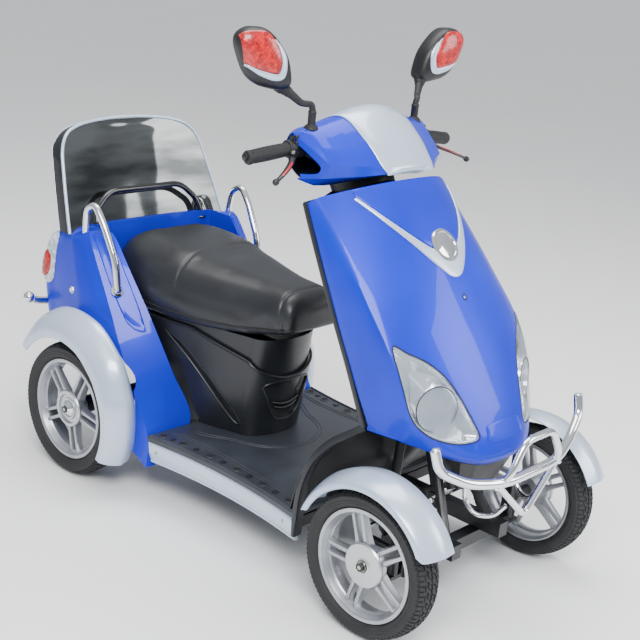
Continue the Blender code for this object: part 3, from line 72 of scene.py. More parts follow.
def linear(code):
    """Linear colour from an sRGB hex code; a colour that is linear already passes through."""
    if not isinstance(code, str):
        return tuple(code)
    values = [int(code[i:i + 2], 16) / 255 for i in (1, 3, 5)]
    return [v / 12.92 if v < 0.04045 else ((v + 0.055) / 1.055) ** 2.4 for v in values] + [1.0]


def node(tree, kind, inputs=None, **settings):
    """Adds a node; an input is given a value or another node's output to link."""
    made = tree.nodes.new(kind)
    for name, value in settings.items():
        setattr(made, name, value)
    for name, value in (inputs or {}).items():
        if isinstance(value, bpy.types.NodeSocket):
            tree.links.new(value, made.inputs[name])
        else:
            made.inputs[name].default_value = value
    return made


def new_material(name):
    """An empty node material: its tree and the surface output."""
    made = bpy.data.materials.new(name)
    made.use_nodes = True
    made.node_tree.nodes.clear()
    output = node(made.node_tree, "ShaderNodeOutputMaterial")
    return made, made.node_tree, output


def coordinates(tree, scale=(1.0, 1.0, 1.0), turn=(0.0, 0.0, 0.0)):
    """Object coordinates in metres through a Mapping node."""
    place = node(tree, "ShaderNodeTexCoord")
    return node(tree, "ShaderNodeMapping", {"Vector": place.outputs["Object"], "Scale": scale,
                                            "Rotation": turn}).outputs["Vector"]


def noise(tree, where, scale, detail=3.0, roughness=0.5):
    """A noise value from 0 to 1 with scale features to the metre."""
    return node(tree, "ShaderNodeTexNoise", {"Vector": where, "Scale": scale, "Detail": detail,
                                             "Roughness": roughness}).outputs["Fac"]


def span(tree, value, low, high, start=0.0, end=1.0):
    """A value mapped from the range low to high onto the range start to end."""
    return node(tree, "ShaderNodeMapRange", {"Value": value, "From Min": low, "From Max": high,
                                             "To Min": start, "To Max": end}).outputs["Result"]


def mixed(tree, share, first, second):
    """Two colours mixed by a share."""
    made = node(tree, "ShaderNodeMix", data_type="RGBA")
    for socket, value in ((made.inputs[0], share), (made.inputs[6], first), (made.inputs[7], second)):
        if isinstance(value, bpy.types.NodeSocket):
            tree.links.new(value, socket)
        else:
            socket.default_value = value
    return made.outputs[2]


def bump(tree, height, strength, distance):
    """A normal bumped by a height value over distance metres."""
    inputs = {"Height": height, "Strength": strength, "Distance": distance}
    return node(tree, "ShaderNodeBump", inputs).outputs["Normal"]


def close(tree, output, shader):
    """Links a shader to the material's surface."""
    tree.links.new(shader.outputs["BSDF"], output.inputs["Surface"])


# Materials

def painted(name, colour, shade, flake, metallic, rough, sheen):
    """Sprayed base coat with fine metal flakes, and a smooth clear coat over it."""
    made, tree, output = new_material(name)
    where = coordinates(tree)
    # Flakes are drawn at 0.8 mm, coarser than real ones, so that they still show as a glitter
    speck = node(tree, "ShaderNodeTexVoronoi", {"Vector": where, "Scale": 1250.0}).outputs["Distance"]
    sparkle = span(tree, speck, 0.0, 0.7, 1.0, 0.0)
    tint = mixed(tree, span(tree, noise(tree, where, 3.5, 2.0), 0.3, 0.7), linear(colour), linear(shade))
    tint = mixed(tree, span(tree, sparkle, 0.55, 1.0, 0.0, flake), tint, linear("#ffffff"))
    # Orange peel of sprayed lacquer, about 4 mm across and a few micrometres high
    peel = bump(tree, noise(tree, where, 240.0, 1.0), 0.10, 0.00006)
    shader = node(tree, "ShaderNodeBsdfPrincipled", {
        "Base Color": tint, "Metallic": metallic,
        "Roughness": span(tree, noise(tree, where, 30.0), 0.3, 0.7, rough, rough + 0.06),
        "Specular IOR Level": sheen * 0.6, "Normal": peel, "Coat Weight": sheen, "Coat Roughness": 0.04,
        "Coat Normal": peel})
    close(tree, output, shader)
    return made


def plated(name, colour, rough):
    """Bright plating over polished steel: clean reflections, faint wipe marks."""
    made, tree, output = new_material(name)
    where = coordinates(tree)
    wipe = noise(tree, coordinates(tree, (1.0, 6.0, 1.0), (0.3, 0.2, 0.9)), 26.0, 4.0)
    shader = node(tree, "ShaderNodeBsdfPrincipled", {
        "Base Color": linear(colour), "Metallic": 1.0,
        "Roughness": span(tree, wipe, 0.35, 0.7, rough, rough + 0.07),
        "Normal": bump(tree, noise(tree, where, 90.0, 1.0), 0.06, 0.00008)})
    close(tree, output, shader)
    return made


def cast(name, colour, shade, rough):
    """Cast metal under silver lacquer: fine sand texture and a slightly uneven tone."""
    made, tree, output = new_material(name)
    where = coordinates(tree)
    sand = noise(tree, where, 1500.0, 2.0)
    tint = mixed(tree, span(tree, noise(tree, where, 18.0), 0.3, 0.7), linear(colour), linear(shade))
    shader = node(tree, "ShaderNodeBsdfPrincipled", {
        "Base Color": tint, "Metallic": 0.75, "Roughness": span(tree, sand, 0.3, 0.7, rough, rough + 0.12),
        "Normal": bump(tree, sand, 0.25, 0.00012), "Coat Weight": 0.3, "Coat Roughness": 0.15})
    close(tree, output, shader)
    return made


def coated_steel(name):
    """Black powder coat: satin, with the small dimples of baked powder and grey dust."""
    made, tree, output = new_material(name)
    where = coordinates(tree)
    dimple = noise(tree, where, 700.0, 1.5)
    dust = span(tree, noise(tree, where, 14.0, 5.0), 0.45, 0.8)
    shader = node(tree, "ShaderNodeBsdfPrincipled", {
        "Base Color": mixed(tree, dust, linear("#16171a"), linear("#2b2c2f")),
        "Roughness": span(tree, dust, 0.0, 1.0, 0.32, 0.5), "Specular IOR Level": 0.55,
        "Normal": bump(tree, dimple, 0.3, 0.0001)})
    close(tree, output, shader)
    return made


def grained(name, colour, shade, rough, grain):
    """Injection-moulded plastic with an etched leather grain about grain metres across."""
    made, tree, output = new_material(name)
    where = coordinates(tree)
    cell = node(tree, "ShaderNodeTexVoronoi", {"Vector": where, "Scale": 1.0 / grain},
                feature="SMOOTH_F1").outputs["Distance"]
    wear = span(tree, noise(tree, where, 9.0, 4.0), 0.35, 0.75)
    shader = node(tree, "ShaderNodeBsdfPrincipled", {
        "Base Color": mixed(tree, wear, linear(colour), linear(shade)),
        "Roughness": span(tree, wear, 0.0, 1.0, rough, rough + 0.08),
        "Normal": bump(tree, cell, 0.22, grain * 0.12)})
    close(tree, output, shader)
    return made


def rubbery(name, colour, shade, rough):
    """Cured rubber: matt, mould-fine grain, greyer where dust has settled."""
    made, tree, output = new_material(name)
    where = coordinates(tree)
    fine = noise(tree, where, 900.0, 2.0)
    dust = span(tree, noise(tree, where, 22.0, 5.0), 0.35, 0.75)
    shader = node(tree, "ShaderNodeBsdfPrincipled", {
        "Base Color": mixed(tree, dust, linear(colour), linear(shade)),
        "Roughness": span(tree, dust, 0.0, 1.0, rough, rough + 0.12),
        "Normal": bump(tree, fine, 0.3, 0.00015)})
    close(tree, output, shader)
    return made


def lens(name, colour, rough, ior, alpha):
    """Moulded polycarbonate: clear or tinted through, with a polished face."""
    made, tree, output = new_material(name)
    where = coordinates(tree)
    shader = node(tree, "ShaderNodeBsdfPrincipled", {
        "Base Color": linear(colour), "Roughness": rough, "IOR": ior, "Transmission Weight": 1.0,
        "Alpha": alpha,
        "Normal": bump(tree, noise(tree, where, 60.0, 1.0), 0.05, 0.0001)})
    close(tree, output, shader)
    return made


def glossy(name, colour, shade, metallic, rough):
    """Polished sheet or glass-smooth moulding whose colour is painted with long soft streaks of reflection.
    """
    made, tree, output = new_material(name)
    # Painted reflection: the base colour runs in long soft bands between the two tones, standing in for light
    # reflected in the polished face
    painted_reflection_streak = noise(tree, coordinates(tree, (2.0, 1.0, 9.0), (0.0, 0.5, 0.0)), 1.6, 3.0)
    shader = node(tree, "ShaderNodeBsdfPrincipled", {
        "Base Color": mixed(tree, span(tree, painted_reflection_streak, 0.35, 0.65), linear(colour), linear(shade)),
        "Metallic": metallic, "Roughness": rough, "Coat Weight": 0.5, "Coat Roughness": 0.02})
    close(tree, output, shader)
    return made


def faceted(name, colour, shade, painted_glint, size):
    """Clear plastic moulded with prisms behind: glossy face, and cells size metres across painted lighter and
    darker, with a painted glint at their middles.
    """
    made, tree, output = new_material(name)
    where = coordinates(tree, turn=(0.4, 0.7, 0.2))
    cell = node(tree, "ShaderNodeTexVoronoi", {"Vector": where, "Scale": 1.0 / size, "Randomness": 0.45})
    # Painted light on the prisms: each cell takes a tone between the two colours at random as painted light
    # and shade of its facet, and its middle is painted towards the glint colour
    grey = node(tree, "ShaderNodeSeparateColor", {"Color": cell.outputs["Color"]}).outputs["Red"]
    tint = mixed(tree, grey, linear(colour), linear(shade))
    tint = mixed(tree, span(tree, cell.outputs["Distance"], 0.15, 0.5, 0.30, 0.0), tint, linear(painted_glint))
    shader = node(tree, "ShaderNodeBsdfPrincipled", {
        "Base Color": tint, "Roughness": 0.30, "Coat Weight": 0.5, "Coat Roughness": 0.03,
        "Normal": bump(tree, cell.outputs["Distance"], 0.35, size * 0.10)})
    close(tree, output, shader)
    return made


MATERIALS = {}


def make_materials(paint):
    """Every finish, under the key that the pieces use."""
    MATERIALS.update({
        "blue_paint": painted("ABS, blue metallic base coat under clear coat", paint.blue, paint.blue_shade,
                              0.02, 0.10, 0.30, 0.30),
        "silver_paint": painted("ABS, pearl silver base coat under clear coat", paint.silver,
                                paint.silver_shade, 0.30, 0.30, 0.28, 0.8),
        "chrome": plated("Steel tube, nickel and chrome plated", "#e9ebee", 0.04),
        "zinc": plated("Steel bolt, zinc plated", "#b9b7a6", 0.28),
        "hub_metal": plated("Aluminium cover, brushed and lacquered", "#c3c6ca", 0.30),
        "cast_aluminium": cast("Aluminium, die cast under silver lacquer", "#b4b7bc", "#a2a5ab", 0.30),
        "black_steel": coated_steel("Steel, black powder coat"),
        "black_plastic": grained("ABS, moulded black with fine grain", "#0e0f11", "#141517", 0.38, 0.0011),
        "satin_plastic": grained("Polypropylene, moulded satin black", "#191b1f", "#202328", 0.30, 0.0013),
        "black_gloss": glossy("Steel and ABS, black gloss enamel", "#0c0d0f", "#141518", 0.0, 0.12),
        "clear_facets": faceted("Acrylic, clear with moulded prisms", "#dfe6ec", "#98a4b0", "#ffffff",
                                0.0095),
        "floor_plastic": grained("Polypropylene floor, moulded with grain", "#2c3037", "#363b43", 0.36,
                                 0.0014),
        "seat_vinyl": grained("Vinyl, embossed leather grain", paint.vinyl, "#24262a", 0.36, 0.0022),
        "rubber": rubbery("Rubber, cured tyre compound", "#1d1e20", "#2b2b2c", 0.68),
        "grip_rubber": rubbery("Rubber, moulded grip", "#131416", "#1c1d1f", 0.55),
        "lamp_glass": lens("Polycarbonate lens, clear moulding", "#eaf6ff", 0.0, 1.3, 0.35),
        "reflector": glossy("ABS, vapour-deposited aluminium", "#fbfdff", "#e6eef6", 0.85, 0.10),
        "smoked_gloss": glossy("Acrylic panel, dark mirror gloss", "#6a6e6e", "#2c2f31", 0.85, 0.035),
        "mirror_glass": glossy("Glass, silvered mirror", "#dfe4e8", "#d5dbe0", 1.0, 0.01),
        "red_plastic": glossy("ABS, red gloss insert", "#c01a22", "#a5121a", 0.0, 0.15),
        "red_facets": faceted("Acrylic, red with moulded prisms", paint.red, "#7c060b", "#ff3230", 0.0085),
        "shadow_black": grained("Polypropylene, unlit hole", "#050506", "#08080a", 0.7, 0.0016),
        "battery": grained("ABS, battery case", "#1c1d20", "#232427", 0.4, 0.0016),
    })


# Geometry tools

# Distances in metres under which corners are welded: of CAD meshes, spun profiles, and halves or skins
CAD_WELD, SPIN_WELD, SKIN_WELD, WELD = 0.00002, 0.000005, 0.00001, 0.0001


def finish_mesh(bm, name):
    """A bmesh as mesh data with its normals turned out."""
    bmesh.ops.recalc_face_normals(bm, faces=bm.faces)
    mesh = bpy.data.meshes.new(name)
    bm.to_mesh(mesh)
    bm.free()
    return mesh


def new_object(name, data):
    """An object with this data, in the scene."""
    made = bpy.data.objects.new(name, data)
    bpy.context.scene.collection.objects.link(made)
    return made


def add_piece(name, bm, material, body, stands_for=(), slot=None, smooth=35.0):
    """Shows a bmesh as a piece that rides on a body and stands for CAD nodes."""
    mesh = finish_mesh(bm, name)
    piece = new_object(name, mesh)
    mesh.materials.clear()
    mesh.materials.append(MATERIALS[material])
    mesh.shade_smooth()
    mesh.set_sharp_from_angle(angle=radians(smooth))
    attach(piece, body)
    if stands_for:
        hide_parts(*stands_for)
    return piece


def rounded_edges(piece, width, segments=2, angle=30.0):
    """A Bevel modifier on the sharp edges, with face-weighted normals."""
    change = piece.modifiers.new("rounded edges", "BEVEL")
    change.width = width
    change.segments = segments
    change.limit_method = "ANGLE"
    change.angle_limit = radians(angle)
    change.harden_normals = True
    change.use_clamp_overlap = True
    return piece


def carried(name, material, body, edge, angle=30.0):
    """A merged copy of a CAD node with rounded edges, standing for the node."""
    bm = bmesh.new()
    bm.from_mesh(frame["nodes"][name].data)
    bmesh.ops.remove_doubles(bm, verts=bm.verts, dist=CAD_WELD)
    bmesh.ops.dissolve_limit(bm, angle_limit=radians(0.4), verts=bm.verts, edges=bm.edges)
    piece = add_piece(name + "_shell", bm, material, body, (name,), None, angle)
    rounded_edges(piece, edge, 2, angle)


def aimed(start, end):
    """The turn and move that take +Z of length one along start to end."""
    start, end = Vector(start), Vector(end)
    return Matrix.Translation(start) @ (end - start).to_track_quat("Z", "Y").to_matrix().to_4x4()


def turned(profile, steps, matrix=None, closed=True):
    """A solid spun about Z from a profile of (radius, height) points."""
    bm = bmesh.new()
    made = [bm.verts.new((max(r, 0.0), 0.0, z)) for r, z in profile]
    edges = [bm.edges.new(pair) for pair in zip(made, made[1:])]
    if closed:
        edges.append(bm.edges.new((made[-1], made[0])))
    bmesh.ops.spin(bm, geom=made + edges, cent=(0, 0, 0), axis=(0, 0, 1), angle=2 * pi, steps=steps,
                   use_merge=True)
    bmesh.ops.remove_doubles(bm, verts=bm.verts, dist=SPIN_WELD)
    if matrix:
        bm.transform(matrix)
    return bm


def absorb(whole, part):
    """Moves the faces of one bmesh into another."""
    mesh = bpy.data.meshes.new("part")
    part.to_mesh(mesh)
    part.free()
    whole.from_mesh(mesh)
    bpy.data.meshes.remove(mesh)


def joined(parts):
    """Several bmeshes as one."""
    whole = bmesh.new()
    for part in parts:
        absorb(whole, part)
    return whole


def mirrored(bm):
    """A copy of a bmesh on the other side of X = 0."""
    other = bm.copy()
    bmesh.ops.scale(other, vec=(-1, 1, 1), verts=other.verts)
    bmesh.ops.reverse_faces(other, faces=other.faces)
    return other


def sided(bm, side):
    """A copy of a left-hand bmesh for its side."""
    return bm.copy() if side == LEFT else mirrored(bm)


def add_pairs(body, rows):
    """Left and right pieces. Each row: name, bmesh, material, CAD nodes' name, slot (not used), smooth angle.
    """
    for word, side in SIDES:
        for name, bm, material, stands_for, slot, smooth in rows:
            nodes = (f"{stands_for}_{word}",) if stands_for else ()
            add_piece(f"{name}_{word}", sided(bm, side), material, body, nodes, slot, smooth)
    for row in rows:
        row[1].free()


def bevelled(bm, edges, width, segments=2):
    """Rounds edges of a bmesh."""
    bmesh.ops.bevel(bm, geom=edges, offset=width, segments=segments, profile=0.5, affect="EDGES",
                    material=-1)


def block(low, high, bevel=0.0, segments=2):
    """A box between two corners with rounded edges."""
    low, high = Vector(low), Vector(high)
    bm = bmesh.new()
    bmesh.ops.create_cube(bm, size=1.0)
    bmesh.ops.scale(bm, vec=high - low, verts=bm.verts)
    bmesh.ops.translate(bm, vec=(low + high) / 2, verts=bm.verts)
    if bevel:
        bevelled(bm, bm.edges, bevel, segments)
    return bm


def rod(start, end, radius, sides=24, end_radius=None, bevel=0.0):
    """A capped round bar between two points."""
    start, end = Vector(start), Vector(end)
    length = (end - start).length
    bm = bmesh.new()
    bmesh.ops.create_cone(bm, cap_ends=True, segments=sides, radius1=radius,
                          radius2=radius if end_radius is None else end_radius, depth=length)
    bmesh.ops.translate(bm, vec=(0, 0, length / 2), verts=bm.verts)
    if bevel:
        rims = [e for e in bm.edges if any(len(f.verts) > 4 for f in e.link_faces)]
        bevelled(bm, rims, bevel)
    bm.transform(aimed(start, end))
    return bm


def rounded(points, radius, steps=6):
    """A path through the points with its inner corners rounded."""
    points = [Vector(p) for p in points]
    path = [points[0]]
    for before, corner, after in zip(points, points[1:], points[2:]):
        to_before, to_after = (before - corner).normalized(), (after - corner).normalized()
        reach = min(radius, (before - corner).length * 0.45, (after - corner).length * 0.45)
        a, b = corner + to_before * reach, corner + to_after * reach
        for i in range(steps + 1):
            t = i / steps
            path.append(a * (1 - t) ** 2 + corner * 2 * t * (1 - t) + b * t * t)
    return path + [points[-1]]


def heading(path, i):
    """The unit direction of a path at its point i."""
    return (path[min(i + 1, len(path) - 1)] - path[max(i - 1, 0)]).normalized()


def tube(points, radius, sides=20, caps=True, radii=None):
    """A round tube along a path, its rings bridged and its ends capped."""
    points = [Vector(p) for p in points]
    bm = bmesh.new()
    rings, up = [], Vector((0.12, 0.31, 0.94)).normalized()
    for i, point in enumerate(points):
        along = heading(points, i)
        across = up.cross(along)
        across = across.normalized() if across.length > 0.05 else Vector((1, 0,
                                                                          0)).cross(along).normalized()
        up = along.cross(across).normalized()
        size = radii[i] if radii else radius
        made = bmesh.ops.create_circle(bm, cap_ends=False, segments=sides, radius=size)["verts"]
        turn = Matrix((across, up, along)).transposed().to_4x4()
        bmesh.ops.transform(bm, matrix=Matrix.Translation(point) @ turn, verts=made)
        rings.append(made)
    for near, far in zip(rings, rings[1:]):
        edges = [bm.edges.get((ring[k], ring[(k + 1) % sides])) for ring in (near, far)
                 for k in range(sides)]
        bmesh.ops.bridge_loops(bm, edges=edges)
    if caps:
        bmesh.ops.holes_fill(bm, edges=bm.edges, sides=sides + 1)
    return bm


def spline(values, t):
    """The point at share t of a smooth curve through a list of vectors."""
    last = len(values) - 1
    at = min(max(t, 0.0), 1.0) * last
    i = min(int(at), last - 1)
    u = at - i
    p1, p2 = values[i], values[i + 1]
    p0 = values[i - 1] if i > 0 else p1 * 2 - p2
    p3 = values[i + 2] if i + 2 <= last else p2 * 2 - p1
    return (p1 * 2 + (p2 - p0) * u + (p0 * 2 - p1 * 5 + p2 * 4 - p3) * u * u
            + (p1 * 3 - p0 - p2 * 3 + p3) * u * u * u) * 0.5


def mirror_join(bm):
    """The sheet with its other half, welded on the middle plane."""
    other = mirrored(bm)
    whole = joined([bm, other])
    bmesh.ops.remove_doubles(whole, verts=whole.verts, dist=WELD)
    return whole


# Wheels. Axle y, half track, tyre radius, tyre width, rim radius, rim width, hub radius, spoke turn
WHEELS = {
    "front": (-0.610, 0.338, 0.186, 0.084, 0.1425, 0.066, 0.058, 0.35),
    "rear": (0.530, 0.362, 0.198, 0.092, 0.150, 0.072, 0.056, 0.80),
}
CARCASS_STEPS = 132
BLOCK_CHAMFER = 0.0007
BLOCK_EDGE_DROP = 0.0006
# How far a tread block reaches into the carcass, so that no gap shows
BLOCK_ROOT = 0.0015
# How far the spokes' outer face lies inside the rim's edge
FACE_INSET = 0.011
# Tread blocks on one half, in shares of a pitch and of the half width; a block on the other half is turned
TREAD_BLOCKS = (
    ((0.06, 0.04), (0.50, 0.10), (0.62, 0.30), (0.98, 0.36), (0.90, 0.46), (0.46, 0.42), (0.34, 0.24),
     (0.00, 0.18)),
    ((0.56, 0.05), (0.94, 0.08), (1.08, 0.26), (0.74, 0.24)),
    ((0.10, 0.50), (0.44, 0.54), (0.52, 0.82), (0.18, 0.84)),
    ((0.60, 0.56), (0.96, 0.54), (1.02, 0.84), (0.68, 0.82)),
)


def crown_radius(radius, half, across):
    """The tread's radius at a distance across from the tyre's middle."""
    return radius - 0.0135 * (abs(across) / half) ** 2.6


def tyre_bm(settings, radius, width, rim_radius, rim_width):
    """Carcass spun from a smooth section, with a ribbed side wall and bevelled tread blocks."""
    half = width / 2
    bead = rim_width / 2 - 0.0062
    seat = rim_radius - 0.0076
    side = [(seat, bead), (rim_radius + 0.0010, bead + 0.0002), (rim_radius + 0.0030, bead + 0.0048),
            (rim_radius + 0.0050, bead + 0.0070)]
    wall = 10
    for i in range(wall + 1):
        t = i / wall
        r = rim_radius + 0.0065 + (radius - 0.0135 - rim_radius - 0.0065) * t
        swell = half - 0.0002 - (half - bead - 0.0095) * abs(1 - t / 0.55) ** 2.2 * (1.0
                                                                                     if t < 0.55 else 0.16)
        if i in (3, 6):
            side.append((r - 0.0008, swell - 0.0006))
            side.append((r, swell))
            swell -= 0.0007
            r += 0.0006
        side.append((r, swell))
    for share in (0.86, 0.74, 0.60, 0.45, 0.30, 0.15):
        side.append((crown_radius(radius, half, share * half) - settings.tread_depth, share * half))
    middle = [(radius - settings.tread_depth, 0.0)]
    carcass = turned(side + middle + [(r, -z) for r, z in reversed(side)], CARCASS_STEPS)
    tread = bmesh.new()
    pitch = 2 * pi / settings.tread_pitches
    for outline in TREAD_BLOCKS:
        for hand in (1, -1):
            bm = bmesh.new()
            flat = [(s * hand + (0.5 if hand < 0 else 0.0), t * hand) for s, t in outline]
            face = bm.faces.new([bm.verts.new((s * pitch * radius, t * half, 0.0)) for s, t in flat])
            made = bmesh.ops.extrude_face_region(bm, geom=[face])
            top = [v for v in made["geom"] if isinstance(v, bmesh.types.BMVert)]
            bmesh.ops.translate(bm, vec=(0, 0, 1.0), verts=top)
            rim = [e for e in bm.edges if all(v in top for v in e.verts)]
            bevelled(bm, rim, BLOCK_CHAMFER, 1)
            for vert in bm.verts:
                s, t, h = vert.co
                if h > 0.5:
                    lift = settings.tread_depth - (0.0 if h >= 0.9999 else BLOCK_EDGE_DROP)
                else:
                    lift = -BLOCK_ROOT
                r = crown_radius(radius, half, t) - settings.tread_depth + lift
                vert.co = (r * cos(s / radius), r * sin(s / radius), t)
            for step in range(settings.tread_pitches):
                turn = bm.copy()
                bmesh.ops.rotate(turn, verts=turn.verts, cent=(0, 0, 0),
                                 matrix=Matrix.Rotation(pitch * step, 3, "Z"))
                absorb(tread, turn)
            bm.free()
    # Small lugs that notch the shoulder between the tread and the side wall
    lug = block((-0.0036, -0.0030, -0.0014), (0.0036, 0.0030, 0.0014), 0.0008)
    for hand in (1, -1):
        for step in range(settings.tread_pitches * 2):
            turn = lug.copy()
            place = Matrix.Rotation(pitch * step / 2, 4, "Z") @ Matrix.Translation(
                (radius - 0.0130, 0, hand * half * 0.925)) @ Matrix.Rotation(hand * radians(62), 4, "Y")
            turn.transform(place)
            absorb(tread, turn)
    lug.free()
    bmesh.ops.recalc_face_normals(tread, faces=tread.faces)
    return joined([carcass, tread])


def spoke_bm(root, tip, face, side):
    """One rib of a split spoke: flared at the hub, with drafted sides and rounded edges."""
    bm = bmesh.new()
    bmesh.ops.create_cube(bm, size=1.0)
    along = [e for e in bm.edges if abs(e.verts[0].co.x - e.verts[1].co.x) > 0.5]
    bmesh.ops.subdivide_edges(bm, edges=along, cuts=7, use_grid_fill=True)
    for vert in bm.verts:
        t = vert.co.x + 0.5
        r = root + (tip - root) * t
        wide = 0.0080 + 0.0060 * (1 - t) ** 3 + 0.0020 * t ** 6
        draft = 1.0 if vert.co.z > 0 else 1.55
        deep = 0.022 * (1 - t) + 0.018 * t
        high = face - 0.0030 * t + (0.0 if vert.co.z > 0 else -deep)
        vert.co = (r, side * (0.0125 + 0.0015 * t) + vert.co.y * wide * draft, high)
    sharp = [e for e in bm.edges if e.is_manifold and e.calc_face_angle(0.0) > radians(50)]
    bevelled(bm, sharp, 0.0011)
    return bm


def rim_bm(settings, rim_radius, rim_width, hub_radius, twist):
    """Barrel with a stepped inside, split spokes and hub barrel."""
    half = rim_width / 2
    barrel = turned([
        (rim_radius - 0.0045, half), (rim_radius - 0.0010, half - 0.0002), (rim_radius, half - 0.0016),
        (rim_radius - 0.0004, half - 0.0048), (rim_radius - 0.0080, half - 0.0062),
        (rim_radius - 0.0080, -half + 0.0062), (rim_radius - 0.0004, -half + 0.0048),
        (rim_radius, -half + 0.0016), (rim_radius - 0.0010, -half + 0.0002), (rim_radius - 0.0045, -half),
        (rim_radius - 0.0120, -half + 0.0060), (rim_radius - 0.0150, -half + 0.0150),
        (rim_radius - 0.0150, -0.004), (rim_radius - 0.0205, 0.002), (rim_radius - 0.0205, half - 0.0230),
        (rim_radius - 0.0165, half - 0.0180), (rim_radius - 0.0155, half - 0.0100),
        (rim_radius - 0.0115, half - 0.0050), (rim_radius - 0.0105, half - 0.0012),
        (rim_radius - 0.0090, half)], CARCASS_STEPS)
    face = half - FACE_INSET
    parts = [barrel]
    for pair in range(settings.spoke_pairs):
        angle = 2 * pi * pair / settings.spoke_pairs + twist
        for side in (-1, 1):
            rib = spoke_bm(hub_radius - 0.016, rim_radius - 0.0125, face, side)
            rib.transform(Matrix.Rotation(angle, 4, "Z"))
            parts.append(rib)
        # Pad where a pair of ribs meets the rim
        pad = block((rim_radius - 0.0215, -0.0200, face - 0.0260),
                    (rim_radius - 0.0130, 0.0200, face - 0.0080), 0.003)
        pad.transform(Matrix.Rotation(angle, 4, "Z"))
        parts.append(pad)
    hub = turned([
        (0.0125, face - 0.040), (hub_radius * 0.62, face - 0.040), (hub_radius * 0.66, face - 0.036),
        (hub_radius - 0.0070, face - 0.020), (hub_radius - 0.0040, face - 0.014),
        (hub_radius - 0.0040, face + 0.0005), (hub_radius - 0.0060, face + 0.0020),
        (0.0125, face + 0.0020)], 72)
    return joined(parts + [hub])


def front_cover_bm(hub_radius, face):
    """Flat machined hub cover with a polished chamfer and a stepped middle."""
    top = face + 0.0105
    return turned([
        (0.0145, top - 0.0075), (0.0150, top - 0.0010), (0.0162, top), (0.0180, top - 0.0004),
        (0.0195, top - 0.0014), (hub_radius - 0.0060, top - 0.0014), (hub_radius - 0.0042, top - 0.0018),
        (hub_radius - 0.0008, top - 0.0052), (hub_radius, top - 0.0070), (hub_radius, face + 0.0010),
        (hub_radius - 0.0030, face - 0.0010), (0.0145, face - 0.0010)], 96)


def rear_cover_bm(hub_radius, face):
    """Stepped hub ring with a dark channel inside it."""
    top = face + 0.0085
    return turned([
        (0.0250, top - 0.0070), (0.0250, top - 0.0030), (0.0265, top - 0.0022), (0.0320, top - 0.0022),
        (0.0335, top - 0.0060), (0.0430, top - 0.0066), (0.0445, top - 0.0008), (0.0462, top),
        (hub_radius - 0.0035, top), (hub_radius - 0.0010, top - 0.0026), (hub_radius, top - 0.0050),
        (hub_radius, face - 0.0010), (0.0250, face - 0.0010)], 96)


def wheel_matrix(end, side):
    """From a wheel's own axes, +Z along the axle outwards, to its place."""
    axle_y, half_track, radius = WHEELS[end][:3]
    return Matrix.Translation((side * half_track, axle_y, radius)) @ Matrix.Rotation(side * pi / 2, 4, "Y")


def nut_bm(low):
    """Axle nut on a washer with the threaded end standing out of it, from the height low."""
    washer = turned([(0.0004, low), (0.0125, low), (0.0130, low + 0.0006), (0.0125, low + 0.0014),
                     (0.0004, low + 0.0014)], 40)
    nut = bmesh.new()
    bmesh.ops.create_cone(nut, cap_ends=True, segments=6, radius1=0.0098, radius2=0.0098, depth=0.0070)
    bmesh.ops.translate(nut, vec=(0, 0, low + 0.0049), verts=nut.verts)
    bevelled(nut, nut.edges, 0.0007)
    stub = rod((0, 0, low), (0, 0, low + 0.0105), 0.0052, 24, bevel=0.0008)
    return joined([washer, nut, stub])


def make_wheels(settings):
    """Tyres, cast wheels, hub covers and axle nuts."""
    for end, sizes in WHEELS.items():
        radius, width, rim_radius, rim_width, hub_radius, twist = sizes[2:]
        tyre = tyre_bm(settings, radius, width, rim_radius, rim_width)
        rim = rim_bm(settings, rim_radius, rim_width, hub_radius, twist)
        face = rim_width / 2 - FACE_INSET
        cover = front_cover_bm(hub_radius, face) if end == "front" else rear_cover_bm(hub_radius, face)
        for word, side in SIDES:
            turn = wheel_matrix(end, side)
            body = f"{end}_{word}_wheel"
            for part, bm, material, stands, slot in (
                    ("tyre", tyre, "rubber", (f"tyre_{end}_{word}",), "rubber"),
                    ("rim", rim, "cast_aluminium", (f"rim_{end}_{word}",), "cast_aluminium"),
                    ("hub_cover", cover, "hub_metal", (), "cast_aluminium")):
                placed = bm.copy()
                placed.transform(turn)
                add_piece(f"{part}_{end}_{word}_detail", placed, material, body, stands, slot, 32.0)
            nut = nut_bm(face + 0.0110)
            nut.transform(turn)
            carrier = f"front_{word}_knuckle" if end == "front" else "chassis"
            add_piece(f"axle_nut_{end}_{word}", nut, "zinc", carrier, (), "chrome", 30.0)
            if end == "rear":
                cap = turned([(0.0004, face + 0.0190), (0.0060, face + 0.0184), (0.0130, face + 0.0150),
                              (0.0185, face + 0.0095), (0.0235, face + 0.0060), (0.0240, face),
                              (0.0004, face)], 64)
                cap.transform(turn)
                add_piece(f"hub_cap_rear_{word}", cap, "chrome", body, (), "chrome", 40.0)
        for bm in (tyre, rim, cover):
            bm.free()


# Front body. Columns of SHIELD_ROWS: centre y, z; crease x, y, z; rear edge x, y, z
SHIELD_ROWS = (
    (-0.344, 1.036, 0.232, -0.243, 0.988, 0.255, -0.221, 0.969),
    (-0.400, 0.965, 0.243, -0.315, 0.918, 0.258, -0.261, 0.896),
    (-0.458, 0.892, 0.252, -0.383, 0.848, 0.261, -0.301, 0.822),
    (-0.520, 0.808, 0.258, -0.455, 0.770, 0.263, -0.343, 0.745),
    (-0.585, 0.712, 0.261, -0.530, 0.685, 0.264, -0.385, 0.668),
    (-0.645, 0.610, 0.256, -0.580, 0.600, 0.263, -0.424, 0.597),
    (-0.700, 0.510, 0.244, -0.600, 0.530, 0.262, -0.462, 0.530),
    (-0.735, 0.430, 0.215, -0.622, 0.465, 0.258, -0.493, 0.473),
)
SHIELD_FLATNESS = 2.4
SHIELD_TUCK = Vector((0.0, 0.030, -0.035))
SHIELD_WALL = 0.004
FRONT_SHARE = 0.72


